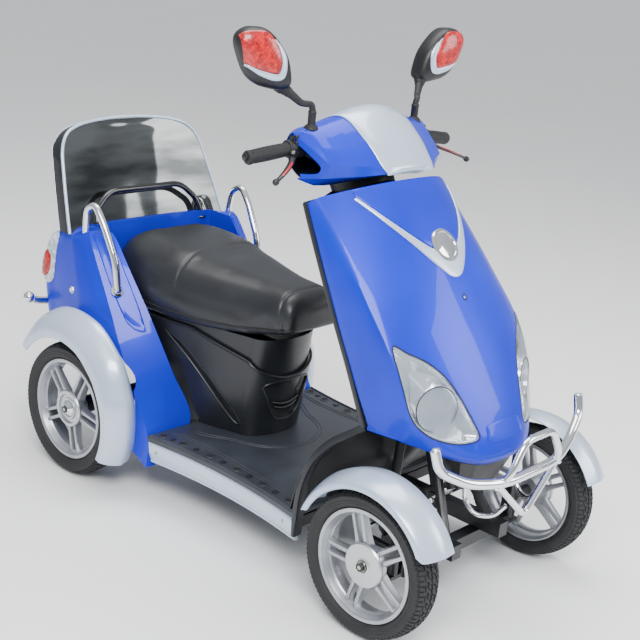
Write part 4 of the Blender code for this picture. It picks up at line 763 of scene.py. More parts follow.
def shield_point(across, row):
    """A point of one row of the shield: 0 is the middle, FRONT_SHARE the crease and 1 the rear edge."""
    yc, zc, xr, yr, zr, xe, ye, ze = row
    crease, edge = Vector((xr, yr, zr)), Vector((xe, ye, ze))
    if across <= FRONT_SHARE:
        t = across / FRONT_SHARE
        fall = t ** SHIELD_FLATNESS
        return Vector((xr * t, yc + (yr - yc) * fall, zc + (zr - zc) * fall))
    t = (across - FRONT_SHARE) / (1 - FRONT_SHARE)
    return crease.lerp(edge, t) + Vector((0.005, 0, 0)) * (1 - (2 * t - 1) ** 4)


def shield_surface(across, down):
    """A point of the shield's outer face; down runs from the top edge to the tucked lower edge."""
    points = [shield_point(across, row) for row in SHIELD_ROWS]
    share = max(0.0, 1 - across * 8 / 7)
    points.append(points[-1] + SHIELD_TUCK * (0.15 + 0.85 * share))
    return spline(points, down)


def make_surface(point, across, down):
    """A grid of across by down cells laid on a function of two shares."""
    bm = bmesh.new()
    bmesh.ops.create_grid(bm, x_segments=across, y_segments=down, size=1.0)
    for vert in bm.verts:
        vert.co = point((vert.co.x + 1) / 2, (vert.co.y + 1) / 2)
    return bm


def outwards(bm, core):
    """Turns a sheet's faces away from a core point."""
    bm.normal_update()
    if sum(f.calc_area() * f.normal.dot(f.calc_center_median() - Vector(core)) for f in bm.faces) < 0:
        bmesh.ops.reverse_faces(bm, faces=bm.faces)
    return bm


def thickened(bm, wall, core):
    """The sheet as a closed shell whose outer side stays in place."""
    outwards(bm, core)
    bmesh.ops.solidify(bm, geom=bm.faces, thickness=wall)
    bm.normal_update()
    return bm


def tree_of(bm):
    """A search tree of a sheet, with which trim and lamps are laid on it."""
    bm.normal_update()
    return BVHTree.FromBMesh(bm)


def on_front(tree, x, z):
    """The point and outward normal of a front sheet at (x, z)."""
    spot, normal, _, _ = tree.ray_cast(Vector((abs(x), -2.0, z)), Vector((0, 1, 0)))
    if normal.y > 0:
        normal = -normal
    hand = 1 if x >= 0 else -1
    return Vector((spot.x * hand, spot.y, spot.z)), Vector((normal.x * hand, normal.y, normal.z))


def between(p0, p1, p2, p3, u):
    """The point at share u of the smooth curve from p1 to p2."""
    return (p1 * 2 + (p2 - p0) * u + (p0 * 2 - p1 * 5 + p2 * 4 - p3) * u * u
            + (p1 * 3 - p0 - p2 * 3 + p3) * u ** 3) * 0.5


def closed_curve(points, steps):
    """A smooth closed curve through points, steps for each of them."""
    points = [Vector(p) for p in points]
    count, made = len(points), []
    for i in range(count):
        around = [points[(i + k) % count] for k in (-1, 0, 1, 2)]
        made += [between(*around, k / steps) for k in range(steps)]
    return made


def flat_curve(points, steps):
    """A smooth closed curve through points of two measures, in the plane."""
    return [Vector((p.x, p.y)) for p in closed_curve([(x, y, 0) for x, y in points], steps)]


def bridged(rings, cap_first=False, cap_last=False):
    """Rings of equal counts joined by quads, optionally capped."""
    bm = bmesh.new()
    made = [[bm.verts.new(p) for p in ring] for ring in rings]
    count = len(made[0])
    for ring in made:
        for k in range(count):
            bm.edges.new((ring[k], ring[(k + 1) % count]))
    for near, far in zip(made, made[1:]):
        edges = [bm.edges.get((ring[k], ring[(k + 1) % count])) for ring in (near, far)
                 for k in range(count)]
        bmesh.ops.bridge_loops(bm, edges=edges)
    if cap_first:
        bm.faces.new(made[0])
    if cap_last:
        bm.faces.new(list(reversed(made[-1])))
    bmesh.ops.recalc_face_normals(bm, faces=bm.faces)
    return bm


def applied(obj):
    """The object's mesh with its modifiers applied."""
    bpy.context.view_layer.update()
    return bpy.data.meshes.new_from_object(obj.evaluated_get(bpy.context.evaluated_depsgraph_get()))


def cut(bm, cutters):
    """The bmesh less the cutters, by an exact Boolean."""
    base = new_object("cut_base", finish_mesh(bm, "cut_base"))
    tool = new_object("cut_tool", finish_mesh(joined(cutters), "cut_tool"))
    change = base.modifiers.new("cut", "BOOLEAN")
    change.operation = "DIFFERENCE"
    change.solver = "EXACT"
    change.use_self = True
    change.object = tool
    mesh = applied(base)
    for obj in (base, tool):
        bpy.data.objects.remove(obj, do_unlink=True)
    made = bmesh.new()
    made.from_mesh(mesh)
    return made


# Headlamp outline in the front view, left lamp: x, z
LAMP_OUTLINE = (
    (0.2505, 0.690), (0.222, 0.676), (0.183, 0.655), (0.148, 0.622), (0.122, 0.575), (0.104, 0.525),
    (0.093, 0.482), (0.128, 0.472), (0.166, 0.474), (0.203, 0.488), (0.232, 0.518), (0.248, 0.565),
    (0.2545, 0.630),
)
LAMP_MIDDLE = Vector((0.185, 0.0, 0.552))
LAMP_STEPS = 6
LAMP_BULGE = 0.006
LENS_WALL = 0.0022
BOWL_TURN = radians(22)


def lamp_outline():
    """The lamp's outline with soft corners, as points (x, 0, z)."""
    curve = closed_curve([(x, 0.0, z) for x, z in LAMP_OUTLINE], LAMP_STEPS)
    return [Vector((min(p.x, 0.2555), 0.0, p.z)) for p in curve]


def lamp_ring(tree, scale, push):
    """The outline scaled about the lamp's middle, laid on the shield and pushed outwards along -Y."""
    ring = []
    for point in lamp_outline():
        at = LAMP_MIDDLE + (point - LAMP_MIDDLE) * scale
        spot, _ = on_front(tree, at.x, at.z)
        ring.append(Vector((at.x, spot.y - push, at.z)))
    return ring


def make_shield():
    """Glossy front shield with lamp openings, a raised blank bib and a fastener recess."""
    outer = make_surface(shield_surface, 40, 64)
    tree = tree_of(outer)
    sheet_bm = mirror_join(outer)
    shell = thickened(sheet_bm, SHIELD_WALL, (0.0, -0.20, 0.70))
    cutter = bridged([lamp_ring(tree, 1.0, 0.03), lamp_ring(tree, 1.0, -0.05)], True, True)
    shell = cut(shell, [cutter.copy(), mirrored(cutter)])
    cutter.free()
    piece = add_piece("front_shield_skin", shell, "blue_paint", "chassis",
                      ("front_shield",), "blue_paint", 28.0)
    rounded_edges(piece, 0.0012, 3, 28.0)
    make_headlamps(tree)
    make_v_trim(tree)
    make_shield_details(tree)


def make_headlamps(tree):
    """Clear lens over a silver housing with a deep round bowl and a faceted projector."""
    axis = Vector((sin(BOWL_TURN), -cos(BOWL_TURN), 0.10)).normalized()
    spot, _ = on_front(tree, LAMP_MIDDLE.x, LAMP_MIDDLE.z)
    middle = spot - axis * 0.004
    outline = lamp_ring(tree, 1.0, -0.0045)
    across = Vector((0, 0, 1)).cross(axis).normalized()
    up = axis.cross(across)

    def circle(radius, depth):
        ring = []
        for point in outline:
            away = point - middle
            angle = atan2(away.dot(up), away.dot(across))
            ring.append(middle - axis * depth + (across * cos(angle) + up * sin(angle)) * radius)
        return ring

    def rings(*levels):
        return [lamp_ring(tree, scale, push) for scale, push in levels]
    # Housing: shallow dish from the outline to the bowl's lip, then the bowl
    dish = rings((0.992, -0.0140), (0.992, -0.0030), (0.955, -0.0035), (0.945, -0.0090))
    halfway = [a.lerp(b, 0.5) - axis * 0.003 for a, b in zip(dish[-1], circle(0.0590, 0.0080))]
    bowl = [circle(radius, depth) for radius, depth in (
        (0.0590, 0.0070), (0.0578, 0.0030), (0.0555, 0.0030), (0.0545, 0.0080), (0.0500, 0.0280),
        (0.0470, 0.0360), (0.0440, 0.0375), (0.0425, 0.0350), (0.0400, 0.0350), (0.0380, 0.0480))]
    housing = bridged(dish + [halfway] + bowl, False, True)
    # Lens: a bulging outer skin, and an inner one LENS_WALL behind it
    crown = ((0.80, LAMP_BULGE * 0.85), (0.55, LAMP_BULGE), (0.25, LAMP_BULGE * 1.1),
             (0.02, LAMP_BULGE * 1.12))
    outside = bridged(rings((0.985, -0.0030), (0.988, -0.0006), (0.975, 0.0012), (0.93, 0.0032), *crown),
                      False, True)
    inside = bridged(rings((0.985, -0.0030), (0.965, -0.0010), (0.92, 0.0010),
                           *((scale, push - LENS_WALL) for scale, push in crown)), False, True)
    lens_whole = joined([outside, inside])
    bmesh.ops.remove_doubles(lens_whole, verts=lens_whole.verts, dist=SKIN_WELD)
    # Projector: a domed lens with a ring of facets behind it
    base = middle - axis * 0.0445
    turn = aimed(base, base + axis)
    dome = turned([(0.0004, 0.0170), (0.0100, 0.0160), (0.0200, 0.0125), (0.0280, 0.0070), (0.0320, 0.0010),
                   (0.0320, -0.0005), (0.0004, -0.0005)], 64, turn)
    facets = []
    for ring, (radius, size, number) in enumerate(((0.0105, 0.0062, 6), (0.0235, 0.0066, 12))):
        for k in range(number):
            angle = 2 * pi * (k + 0.5 * ring) / number
            cup = turned([(0.0004, 0.0002), (size * 0.5, 0.0008), (size * 0.85, 0.0030), (size, 0.0048),
                          (size, 0.0060), (size * 1.08, 0.0060), (size * 1.08, -0.0020),
                          (0.0004, -0.0020)], 12,
                         turn @ Matrix.Translation((radius * cos(angle), radius * sin(angle), -0.0060)))
            facets.append(cup)
    cluster = joined(facets)
    # Dark lines of the photograph: the lens's gasket, and two dark rings on the rims of the bowl that are
    # painted shade
    rim = lamp_ring(tree, 1.012, -0.0004)
    lines = [tube(rim + rim[:1], 0.0016, 8, caps=False)]
    for radius, depth in ((0.0560, 0.0026), (0.0430, 0.0345)):
        ring = circle(radius, depth)
        lines.append(tube(ring + ring[:1], 0.0015, 8, caps=False))
    gasket_and_rim_shade = joined(lines)
    add_pairs("chassis", (
        ("headlamp_housing", housing, "reflector", "headlamp", "lamp_glass", 40.0),
        ("headlamp_lens", lens_whole, "lamp_glass", "headlamp", "lamp_glass", 40.0),
        ("headlamp_dome", dome, "lamp_glass", None, "lamp_glass", 40.0),
        ("headlamp_facets", cluster, "reflector", None, "lamp_glass", 40.0),
        ("headlamp_gasket_and_rim_shade", gasket_and_rim_shade, "grip_rubber", None, "rubber", 60.0)))


# V trim, left half in the front view: inner and outer edge from the tip upwards, x, z
V_INNER = ((0.000, 0.879), (0.020, 0.8795), (0.036, 0.883), (0.060, 0.893), (0.095, 0.918), (0.130, 0.947),
           (0.158, 0.974), (0.177, 0.9935))
V_OUTER = ((0.000, 0.8215), (0.020, 0.8255), (0.040, 0.839), (0.070, 0.866), (0.100, 0.8975),
           (0.134, 0.933), (0.160, 0.9625), (0.183, 0.9890))
TRIM_SECTION = ((0.0, 0.0002), (0.0, 0.0026), (0.06, 0.0038), (0.25, 0.0044), (0.5, 0.0046), (0.75, 0.0044),
                (0.94, 0.0038), (1.0, 0.0026), (1.0, 0.0002))


def laid_strip(cast, inner, outer, steps, section):
    """A crowned strip between two edge lines, laid on a surface."""
    inner, outer = [Vector(p) for p in inner], [Vector(p) for p in outer]
    rings = []
    for i in range(steps + 1):
        a, b = spline(inner, i / steps), spline(outer, i / steps)
        ring = []
        for share, rise in section:
            at = a.lerp(b, share)
            spot, normal = cast(at.x, at.y)
            ring.append(spot + normal * rise)
        rings.append(ring)
    return bridged(rings, True, True)


def laid_patch(cast, outline, rises, middle=None):
    """A raised patch inside a closed outline, laid on a surface."""
    outline = [Vector(p) for p in outline]
    middle = Vector(middle) if middle else sum(outline, Vector((0, 0))) / len(outline)
    rings = []
    for scale, rise in rises:
        ring = []
        for point in outline:
            at = middle + (point - middle) * scale
            spot, normal = cast(at.x, at.y)
            ring.append(spot + normal * rise)
        rings.append(ring)
    return bridged(rings, False, True)


def make_v_trim(tree):
    """Silver V strip that widens to a plate at its tip, around a raised blue tongue."""
    def cast(x, z):
        return on_front(tree, x, z)
    inner = [(-x, z) for x, z in reversed(V_INNER[1:])] + list(V_INNER)
    outer = [(-x, z) for x, z in reversed(V_OUTER[1:])] + list(V_OUTER)
    add_piece("v_trim_strip", laid_strip(cast, inner, outer, 120, TRIM_SECTION),
              "silver_paint", "chassis", ("v_trim",), "silver_paint", 30.0)
    # Tongue of the shield between the arms, raised a little so that a dark line runs round it
    high = [(x, 1.0335 - 0.046 * (abs(x) / 0.232) ** SHIELD_FLATNESS) for x, _ in inner]
    low = [(x, z + 0.0035) for x, z in inner]
    section = ((0.0, -0.0004), (0.0, 0.0016), (0.012, 0.0024), (0.10, 0.0027), (0.3, 0.0027), (0.5, 0.0027),
               (0.7, 0.0027), (0.9, 0.0024), (1.0, 0.0012), (1.0, -0.0004))
    add_piece("shield_tongue", laid_strip(cast, low, high, 96, section),
              "blue_paint", "chassis", (), "blue_paint", 30.0)


BOSS_SCALE = 1.42


def make_shield_details(tree):
    """A blank round boss inside the V, a fastener in its recess and the raised bib."""
    spot, normal = on_front(tree, 0.0001, 0.8895)
    spot.x, normal.x = 0.0, 0.0
    turn = aimed(spot + normal * 0.0020, spot + normal * 1.002)
    boss = turned([(r * BOSS_SCALE, z) for r, z in ((0.0004, 0.0052), (0.0120, 0.0048), (0.0200, 0.0036),
                                                    (0.0240, 0.0028), (0.0250, 0.0040),
                   (0.0290, 0.0042), (0.0310, 0.0026), (0.0318, 0.0), (0.0004, 0.0))], 72, turn)
    add_piece("front_boss", boss, "chrome", "chassis", (), "chrome", 30.0)
    spot, normal = on_front(tree, 0.0001, 0.778)
    spot.x = 0.0
    turn = aimed(spot - normal * 0.0015, spot + normal)
    recess = turned([(0.0004, 0.0008), (0.0058, 0.0008), (0.0062, 0.0024), (0.0085, 0.0026),
                     (0.0094, 0.0018), (0.0096, 0.0), (0.0004, 0.0)], 40, turn)
    add_piece("front_fastener_ring", recess, "black_plastic", "chassis", (), "black_plastic")
    screw = turned([(0.0004, 0.0018), (0.0030, 0.0018), (0.0044, 0.0010), (0.0044, 0.0), (0.0004, 0.0)], 24,
                   turn)
    add_piece("front_fastener", screw, "zinc", "chassis", (), "chrome")
    bib = flat_curve(((-0.066, 0.466), (-0.068, 0.488), (-0.060, 0.505), (0.0, 0.508), (0.060, 0.505),
                      (0.068, 0.488), (0.066, 0.466), (0.0, 0.462)), 6)
    patch = laid_patch(lambda x, z: on_front(tree, x, z), bib, (
        (1.0, -0.0010), (1.0, 0.0006), (0.975, 0.0016), (0.80, 0.0017), (0.5, 0.0017), (0.2, 0.0017)),
        (0, 0.486))
    add_piece("shield_bib", patch, "blue_paint", "chassis", (), "blue_paint")


# Handlebar cowl, left half. Each row: x, then (y, z) of the rear's lower edge, rear top, ridge, front
# middle, crease, lower lip and throat. The last three rows are the flat side panel.
COWL_LINES = (
    (0.000, (-0.072, 1.095), (-0.100, 1.150), (-0.182, 1.184), (-0.266, 1.130), (-0.325, 1.061),
     (-0.328, 1.050), (-0.262, 1.026)),
    (0.050, (-0.072, 1.092), (-0.100, 1.147), (-0.182, 1.180), (-0.264, 1.127), (-0.323, 1.061),
     (-0.328, 1.050), (-0.258, 1.024)),
    (0.090, (-0.073, 1.089), (-0.101, 1.142), (-0.180, 1.172), (-0.259, 1.123), (-0.316, 1.063),
     (-0.327, 1.049), (-0.250, 1.021)),
    (0.140, (-0.075, 1.082), (-0.102, 1.134), (-0.174, 1.158), (-0.243, 1.112), (-0.292, 1.065),
     (-0.296, 1.041), (-0.228, 1.012)),
    (0.180, (-0.078, 1.078), (-0.104, 1.127), (-0.168, 1.147), (-0.228, 1.105), (-0.270, 1.065),
     (-0.264, 1.035), (-0.214, 1.006)),
    (0.215, (-0.088, 1.082), (-0.110, 1.124), (-0.160, 1.140), (-0.213, 1.104), (-0.250, 1.065),
     (-0.238, 1.030), (-0.200, 1.005)),
    (0.234, (-0.110, 1.104), (-0.126, 1.124), (-0.156, 1.136), (-0.180, 1.116), (-0.201, 1.097),
     (-0.213, 1.026), (-0.190, 1.012)),
    (0.2525, (-0.140, 1.125), (-0.144, 1.128), (-0.150, 1.131), (-0.151, 1.130), (-0.152, 1.129),
     (-0.190, 1.023), (-0.178, 1.020)),
)
COWL_WALL = 0.003
COWL_FLAT_FROM = 5
COWL_CREASE = 4
# Opening in the side panel for the bar, seen from the side: y, z
COWL_OPENING = ((-0.110, 1.117), (-0.156, 1.109), (-0.200, 1.080), (-0.223, 1.061), (-0.226, 1.048),
                (-0.214, 1.038), (-0.170, 1.034), (-0.110, 1.034))
HOOD_REAR_X, HOOD_FRONT_X = 0.128, 0.089


def cowl_line(x):
    """The seven hard points of the cowl's section at x: smooth in the middle, straight at the side."""
    stations = [row[0] for row in COWL_LINES]
    i = max(k for k in range(len(stations) - 1) if stations[k] <= x + 1e-6)
    u = (x - stations[i]) / (stations[i + 1] - stations[i])
    points = []
    for column in range(1, 8):
        line = [Vector((row[0], *row[column])) for row in COWL_LINES]
        p1, p2 = line[i], line[i + 1]
        if i >= COWL_FLAT_FROM:
            points.append(p1.lerp(p2, u))
            continue
        p0 = line[i - 1] if i else Vector((-line[1].x, line[1].y, line[1].z))
        p3 = line[i + 2] if i + 2 <= COWL_FLAT_FROM else p2 * 2 - p1
        spot = between(p0, p1, p2, p3, u)
        points.append(Vector((x, spot.y, spot.z)))
    return points


def cowl_surface(x, down):
    """A point of the cowl: down runs 0 to 4 over the top to the crease, 5 is the lip and 6 the throat."""
    points = cowl_line(x)
    if down <= COWL_CREASE:
        return spline(points[:COWL_CREASE + 1], down / COWL_CREASE)
    i = min(int(down), 5)
    return points[i].lerp(points[i + 1], down - i)


def cowl_xs():
    """Stations across half of the cowl, closer where the side panel folds."""
    return sorted({0.0045 * i for i in range(48)} | {0.215, 0.2192, 0.2246, 0.230, 0.234, 0.240, 0.2463,
                                                     0.2525})


COWL_DOWNS = [i / 6 for i in range(25)] + [4.25, 4.5, 4.75, 5.0, 5.15, 5.4, 5.7, 6.0]


def lofted_sheet(xs, downs, point):
    """A grid laid on a function of two running values."""
    bm = bmesh.new()
    bmesh.ops.create_grid(bm, x_segments=len(xs) - 1, y_segments=len(downs) - 1, size=1.0)
    for vert in bm.verts:
        i = round((vert.co.x + 1) / 2 * (len(xs) - 1))
        k = round((vert.co.y + 1) / 2 * (len(downs) - 1))
        vert.co = point(xs[i], downs[k])
    return bm


def make_cowl():
    """Blue cowl with a folded side panel and bar opening, the silver hood on it and its dark underside."""
    half = lofted_sheet(cowl_xs(), COWL_DOWNS, cowl_surface)
    core = Vector((0.0, -0.150, 1.085))
    whole = mirror_join(half)
    shell = thickened(whole, COWL_WALL, core)
    cutters = []
    for side in (LEFT, RIGHT):
        outline = closed_curve([(0.0, y, z) for y, z in COWL_OPENING], 6)
        cutters.append(bridged([[p + Vector((side * x, 0, 0)) for p in outline] for x in (0.206, 0.30)],
                               True, True))
    shell = cut(shell, cutters)
    piece = add_piece("cowl_skin", shell, "blue_paint", "steering", ("handlebar_cowl",),
                      "blue_paint", 24.0)
    rounded_edges(piece, 0.0011, 3, 24.0)

    # Hood: from behind the ridge down to the front lip, its side edges running forward and inward
    def hood(share, along, rise):
        down = 0.55 + 4.47 * along
        reach = HOOD_REAR_X + (HOOD_FRONT_X - HOOD_REAR_X) * along ** 0.85
        x = abs(share) * reach
        spot = cowl_surface(x, down)
        ahead = cowl_surface(x, min(down + 0.05, 5.02)) - cowl_surface(x, down - 0.05)
        aside = cowl_surface(x + 0.002, down) - cowl_surface(max(x - 0.002, 0), down)
        normal = aside.cross(ahead).normalized()
        if normal.dot(spot - core) < 0:
            normal = -normal
        crown = 0.0055 * (1 - share ** 2) * (1 - (2 * along - 1) ** 4)
        spot = spot + normal * (rise + (crown if rise > 0.001 else 0.0))
        return Vector((spot.x if share >= 0 else -spot.x, spot.y, spot.z))
    steps = 48
    section = [(-1.0, 0.0004), (-1.0, 0.0026), (-0.985, 0.0036)]
    section += [(-0.96 + 1.92 * i / 24, 0.0040) for i in range(25)] + [(0.985, 0.0036), (1.0, 0.0026),
                                                                       (1.0, 0.0004)]
    rings = [[hood(share, i / steps, rise) for share, rise in section] for i in range(steps + 1)]
    hood_piece = add_piece("cowl_hood", bridged(rings, True, True), "silver_paint",
                           "steering", ("cowl_stripe",), "silver_paint", 38.0)
    rounded_edges(hood_piece, 0.0008, 2, 38.0)

    # Underside: closes the cowl below, from its rear edge round under the bar to the throat
    def under(x, share):
        line = cowl_line(x)
        rear, throat = line[0] + Vector((0, -0.004, -0.001)), line[6] + Vector((0, 0.002, 0.001))
        middle = Vector((x, -0.150, 1.030 if x < 0.15 else 1.030 - 0.018 * (x - 0.15) / 0.065))
        return spline([rear, rear.lerp(middle, 0.55) + Vector((0, 0.012, -0.006)), middle, throat], share)
    xs = [0.0045 * i for i in range(48)]
    belly = mirror_join(lofted_sheet(xs, [i / 16 for i in range(17)], under))
    add_piece("cowl_underside", thickened(belly, 0.0025, core), "black_plastic", "steering",
              (), "black_plastic", 35.0)
    make_dash(core)


def make_dash(core):
    """Rider's side of the cowl: dark binnacle with a display window, key switch and two warning lamps."""
    def cast(x, down):
        spot = cowl_surface(abs(x), down)
        ahead = cowl_surface(abs(x), down + 0.04) - cowl_surface(abs(x), max(down - 0.04, 0))
        normal = Vector((0, ahead.z, -ahead.y)).normalized()
        if normal.dot(spot - core) < 0:
            normal = -normal
        return Vector((x, spot.y, spot.z)), normal
    plate = flat_curve(((-0.112, 0.16), (-0.100, 0.95), (-0.045, 1.22), (0.045, 1.22), (0.100, 0.95),
                        (0.112, 0.16), (0.06, 0.08), (-0.06, 0.08)), 8)
    add_piece("dash_binnacle", laid_patch(cast, plate, (
        (1.0, 0.0002), (1.0, 0.0030), (0.97, 0.0042), (0.90, 0.0045), (0.5, 0.0045), (0.1, 0.0045)),
        (0.0, 0.62)), "black_plastic", "steering", (), "black_plastic", 30.0)
    window = flat_curve(((-0.060, 0.34), (-0.056, 0.86), (0.0, 0.98), (0.056, 0.86), (0.060, 0.34),
                         (0.0, 0.28)), 8)
    add_piece("dash_window", laid_patch(cast, window, (
        (1.0, 0.0040), (1.0, 0.0056), (0.96, 0.0062), (0.6, 0.0063), (0.1, 0.0063)), (0.0, 0.62)),
        "smoked_gloss", "steering", (), "smoked_gloss", 30.0)
    for name, x, down, radius, material, slot in (
            ("dash_key_switch", 0.084, 0.50, 0.0115, "chrome", "chrome"),
            ("dash_lamp_green", -0.078, 0.38, 0.0036, "lamp_glass", "lamp_glass"),
            ("dash_lamp_red", -0.078, 0.62, 0.0036, "red_plastic", "tail_glass")):
        spot, normal = cast(x, down)
        turn = aimed(spot + normal * 0.0040, spot + normal)
        add_piece(name, turned([(0.0004, 0.0042), (radius * 0.45, 0.0042), (radius * 0.5, 0.0026),
                                            (radius * 0.8, 0.0026), (radius * 0.92, 0.0036),
                                            (radius, 0.0022),
                                            (radius, -0.0015), (0.0004, -0.0015)], 36, turn),
                  material, "steering", (), slot)


# Hand controls. The bar's outer part is a little higher inboard than the CAD bar's, as in the photograph
GRIP_INNER = Vector((0.262, -0.1495, 1.0900))
GRIP_OUTER = Vector((0.3845, -0.1330, 1.0735))
LEVER_PATH = ((0.262, -0.166, 1.078), (0.286, -0.186, 1.066), (0.318, -0.205, 1.0545),
              (0.346, -0.217, 1.044),
              (0.369, -0.2235, 1.0345))


def bar_lift(x):
    """How far the bar's copy is lifted at x, so that it runs through the grip."""
    if x < 0.150:
        return 0.0
    t = min((x - 0.150) / 0.085, 1.0)
    return 0.0245 * t * t * (3 - 2 * t) * (1.0 if x < 0.26 else max(0.0, 1 - (x - 0.26) / 0.14))


def make_bar():
    """Column and handlebar: the CAD shape, rounded, with its grips' stretch lifted."""
    bm = bmesh.new()
    bm.from_mesh(frame["nodes"]["steering_column"].data)
    bmesh.ops.remove_doubles(bm, verts=bm.verts, dist=CAD_WELD)
    for x in (0.16, 0.18, 0.20, 0.22, 0.24, 0.262, 0.30, 0.34):
        for side in (LEFT, RIGHT):
            geom = bm.verts[:] + bm.edges[:] + bm.faces[:]
            bmesh.ops.bisect_plane(bm, geom=geom, plane_co=(side * x, 0, 0), plane_no=(1, 0, 0))
    for vert in bm.verts:
        if vert.co.z > 1.0:
            vert.co.z += bar_lift(abs(vert.co.x))
    piece = add_piece("column_and_bar", bm, "black_steel", "steering", ("steering_column",),
                      "black_steel", 40.0)
    rounded_edges(piece, 0.0008, 2, 40.0)
    # Dark neck drum on the steering axis, between the cowl and the front body's neck cover
    axis = Vector((0, sin(radians(30)), cos(radians(30))))
    low = STEERING_CENTRE - axis * 0.072
    profile = [(0.0190, 0.0), (0.0800, 0.0), (0.0830, 0.0030), (0.0860, 0.0900), (0.0840, 0.0940),
               (0.0190, 0.0940)]
    add_piece("neck_drum", turned(profile, 72, aimed(low, low + axis)), "black_plastic",
              "steering", (), "black_plastic", 30.0)


def make_hand_controls():
    """Grip with a flange and ribbed body, switch housing with buttons, and a lever with a red insert."""
    length = (GRIP_OUTER - GRIP_INNER).length
    turn = aimed(GRIP_INNER, GRIP_OUTER)
    profile = [(0.0115, -0.004), (0.0190, -0.004), (0.0222, -0.002), (0.0226, 0.001), (0.0226, 0.0035),
               (0.0215, 0.0055), (0.0182, 0.0066), (0.0168, 0.0090)]
    ribs = 22
    for i in range(ribs):
        z = 0.0115 + (length - 0.0235) * i / ribs
        pitch = (length - 0.0235) / ribs
        swell = 0.0166 + 0.0010 * sin(pi * (i + 0.5) / ribs)
        profile += [(swell, z), (swell + 0.0005, z + pitch * 0.25), (swell + 0.0005, z + pitch * 0.6),
                    (swell, z + pitch * 0.85)]
    profile += [(0.0170, length - 0.0110), (0.0176, length - 0.0085), (0.0180, length - 0.0030),
                (0.0165, length + 0.0010),
                (0.0120, length + 0.0028), (0.0004, length + 0.0032), (0.0004, -0.004)]
    grip = turned(profile, 56, turn)
    sleeve = turned([(0.0118, -0.046), (0.0172, -0.046), (0.0184, -0.044), (0.0184, -0.0095),
                     (0.0172, -0.008), (0.0118, -0.008)], 40, turn)
    ring = turned([(0.0118, -0.0078), (0.0198, -0.0078), (0.0204, -0.0070), (0.0204, -0.0052),
                   (0.0198, -0.0044), (0.0118, -0.0044)], 40, turn)
    housing = joined([
        block((-0.0165, -0.0215, -0.044), (0.0185, 0.0200, -0.010), 0.0062, 4),
        block((-0.0140, 0.0120, -0.040), (0.0160, 0.0330, -0.014), 0.0050, 3)])
    housing.transform(turn)
    body = joined([sleeve, housing, ring])
    buttons = joined([block((-0.0075, -0.0245, -0.0385), (0.0015, -0.0205, -0.0300), 0.0014, 2),
                      block((0.0035, -0.0250, -0.0385), (0.0120, -0.0205, -0.0300), 0.0014, 2),
                      block((-0.0060, -0.0250, -0.0240), (0.0110, -0.0205, -0.0165), 0.0016, 2)])
    buttons.transform(turn)
    # Lever: flattened blade with a ball at its end, on a bracket under the housing
    path = [spline([Vector(p) for p in LEVER_PATH], i / 40) for i in range(41)]
    rings = []
    for i, point in enumerate(path):
        t = i / 40
        ahead = heading(path, i)
        wide = ahead.cross(Vector((0.1, -0.25, 1.0))).normalized()
        tall = wide.cross(ahead).normalized()
        a = 0.0088 - 0.0034 * t
        b = 0.0046 - 0.0012 * t
        rings.append([point + wide * a * cos(2 * pi * k / 20) + tall * b * sin(2 * pi * k / 20)
                      for k in range(20)])
    blade = bridged(rings, True, True)
    tip = path[-1]
    end = (path[-1] - path[-3]).normalized()
    ball = turned([(0.0004, -0.006), (0.0042, -0.0055), (0.0062, -0.0020), (0.0080, 0.0025),
                   (0.0082, 0.0060), (0.0066, 0.0105), (0.0036, 0.0132),
                   (0.0004, 0.0138)], 32, aimed(tip, tip + end))
    bracket = tube([Vector((0.240, -0.160, 1.082)), Vector((0.252, -0.164, 1.080)), Vector(LEVER_PATH[0]),
                    Vector((0.270, -0.173, 1.074))],
                   0.0085, 18)
    pivot_pin = rod((0.2640, -0.1680, 1.0660), (0.2660, -0.1690, 1.0905), 0.0058, 20, bevel=0.001)
    blade = joined([blade, ball, bracket])
    insert_rings = []
    for i in range(10, 33):
        point = path[i]
        ahead = heading(path, i)
        wide = ahead.cross(Vector((0.1, -0.25, 1.0))).normalized()
        tall = wide.cross(ahead).normalized()
        t = i / 40
        taper = min(1.0, (i - 9) / 4, (33 - i) / 4)
        a = (0.0088 - 0.0034 * t) * 0.62 * taper
        b = (0.0046 - 0.0012 * t) + 0.0006
        front = point + wide * (0.0088 - 0.0034 * t) * 0.25
        insert_rings.append([front + wide * a * cos(2 * pi * k / 16) + tall * b * sin(2 * pi * k / 16)
                             for k in range(16)])
    insert = bridged(insert_rings, True, True)
    add_pairs("steering", (
        ("grip", grip, "grip_rubber", "hand_control", "rubber", 32.0),
        ("switch_housing", body, "black_plastic", None, "black_plastic", 35.0),
        ("switch_buttons", buttons, "grip_rubber", None, "rubber", 35.0),
        ("brake_lever", blade, "black_steel", None, "black_steel", 40.0),
        ("lever_insert", insert, "red_plastic", None, "tail_glass", 40.0),
        ("lever_pivot", pivot_pin, "zinc", None, "chrome", 35.0)))


# Mirror head in its own frame: outwards, up and forwards; outlines as (outwards, up)
STEERING_CENTRE = Vector((0, -0.14972, 1.030))
MIRROR_MIDDLE = Vector((0.335, -0.112, 1.306))
MIRROR_TURNS = {"left": radians(-9), "right": radians(17)}
MIRROR_WIDER = 1.07
MIRROR_EDGE = ((0.021, 0.0712), (0.045, 0.0690), (0.0655, 0.0540), (0.0693, 0.0306), (0.0557, -0.0099),
               (0.0381, -0.0432), (0.0124, -0.0637), (-0.0187, -0.0725), (-0.0470, -0.0760),
               (-0.0680, -0.0655), (-0.0690, -0.0400), (-0.0558, 0.0056), (-0.0260, 0.0463),
               (-0.0001, 0.0672))
MIRROR_RED = ((0.0150, 0.0640), (0.0480, 0.0625), (0.0640, 0.0540), (0.0665, 0.0420), (0.0560, -0.0020),
              (0.0500, -0.0125), (0.0200, -0.0245), (-0.0180, -0.0330), (-0.0270, -0.0290),
              (-0.0320, -0.0049), (-0.0212, 0.0284),
              (-0.0037, 0.0550))
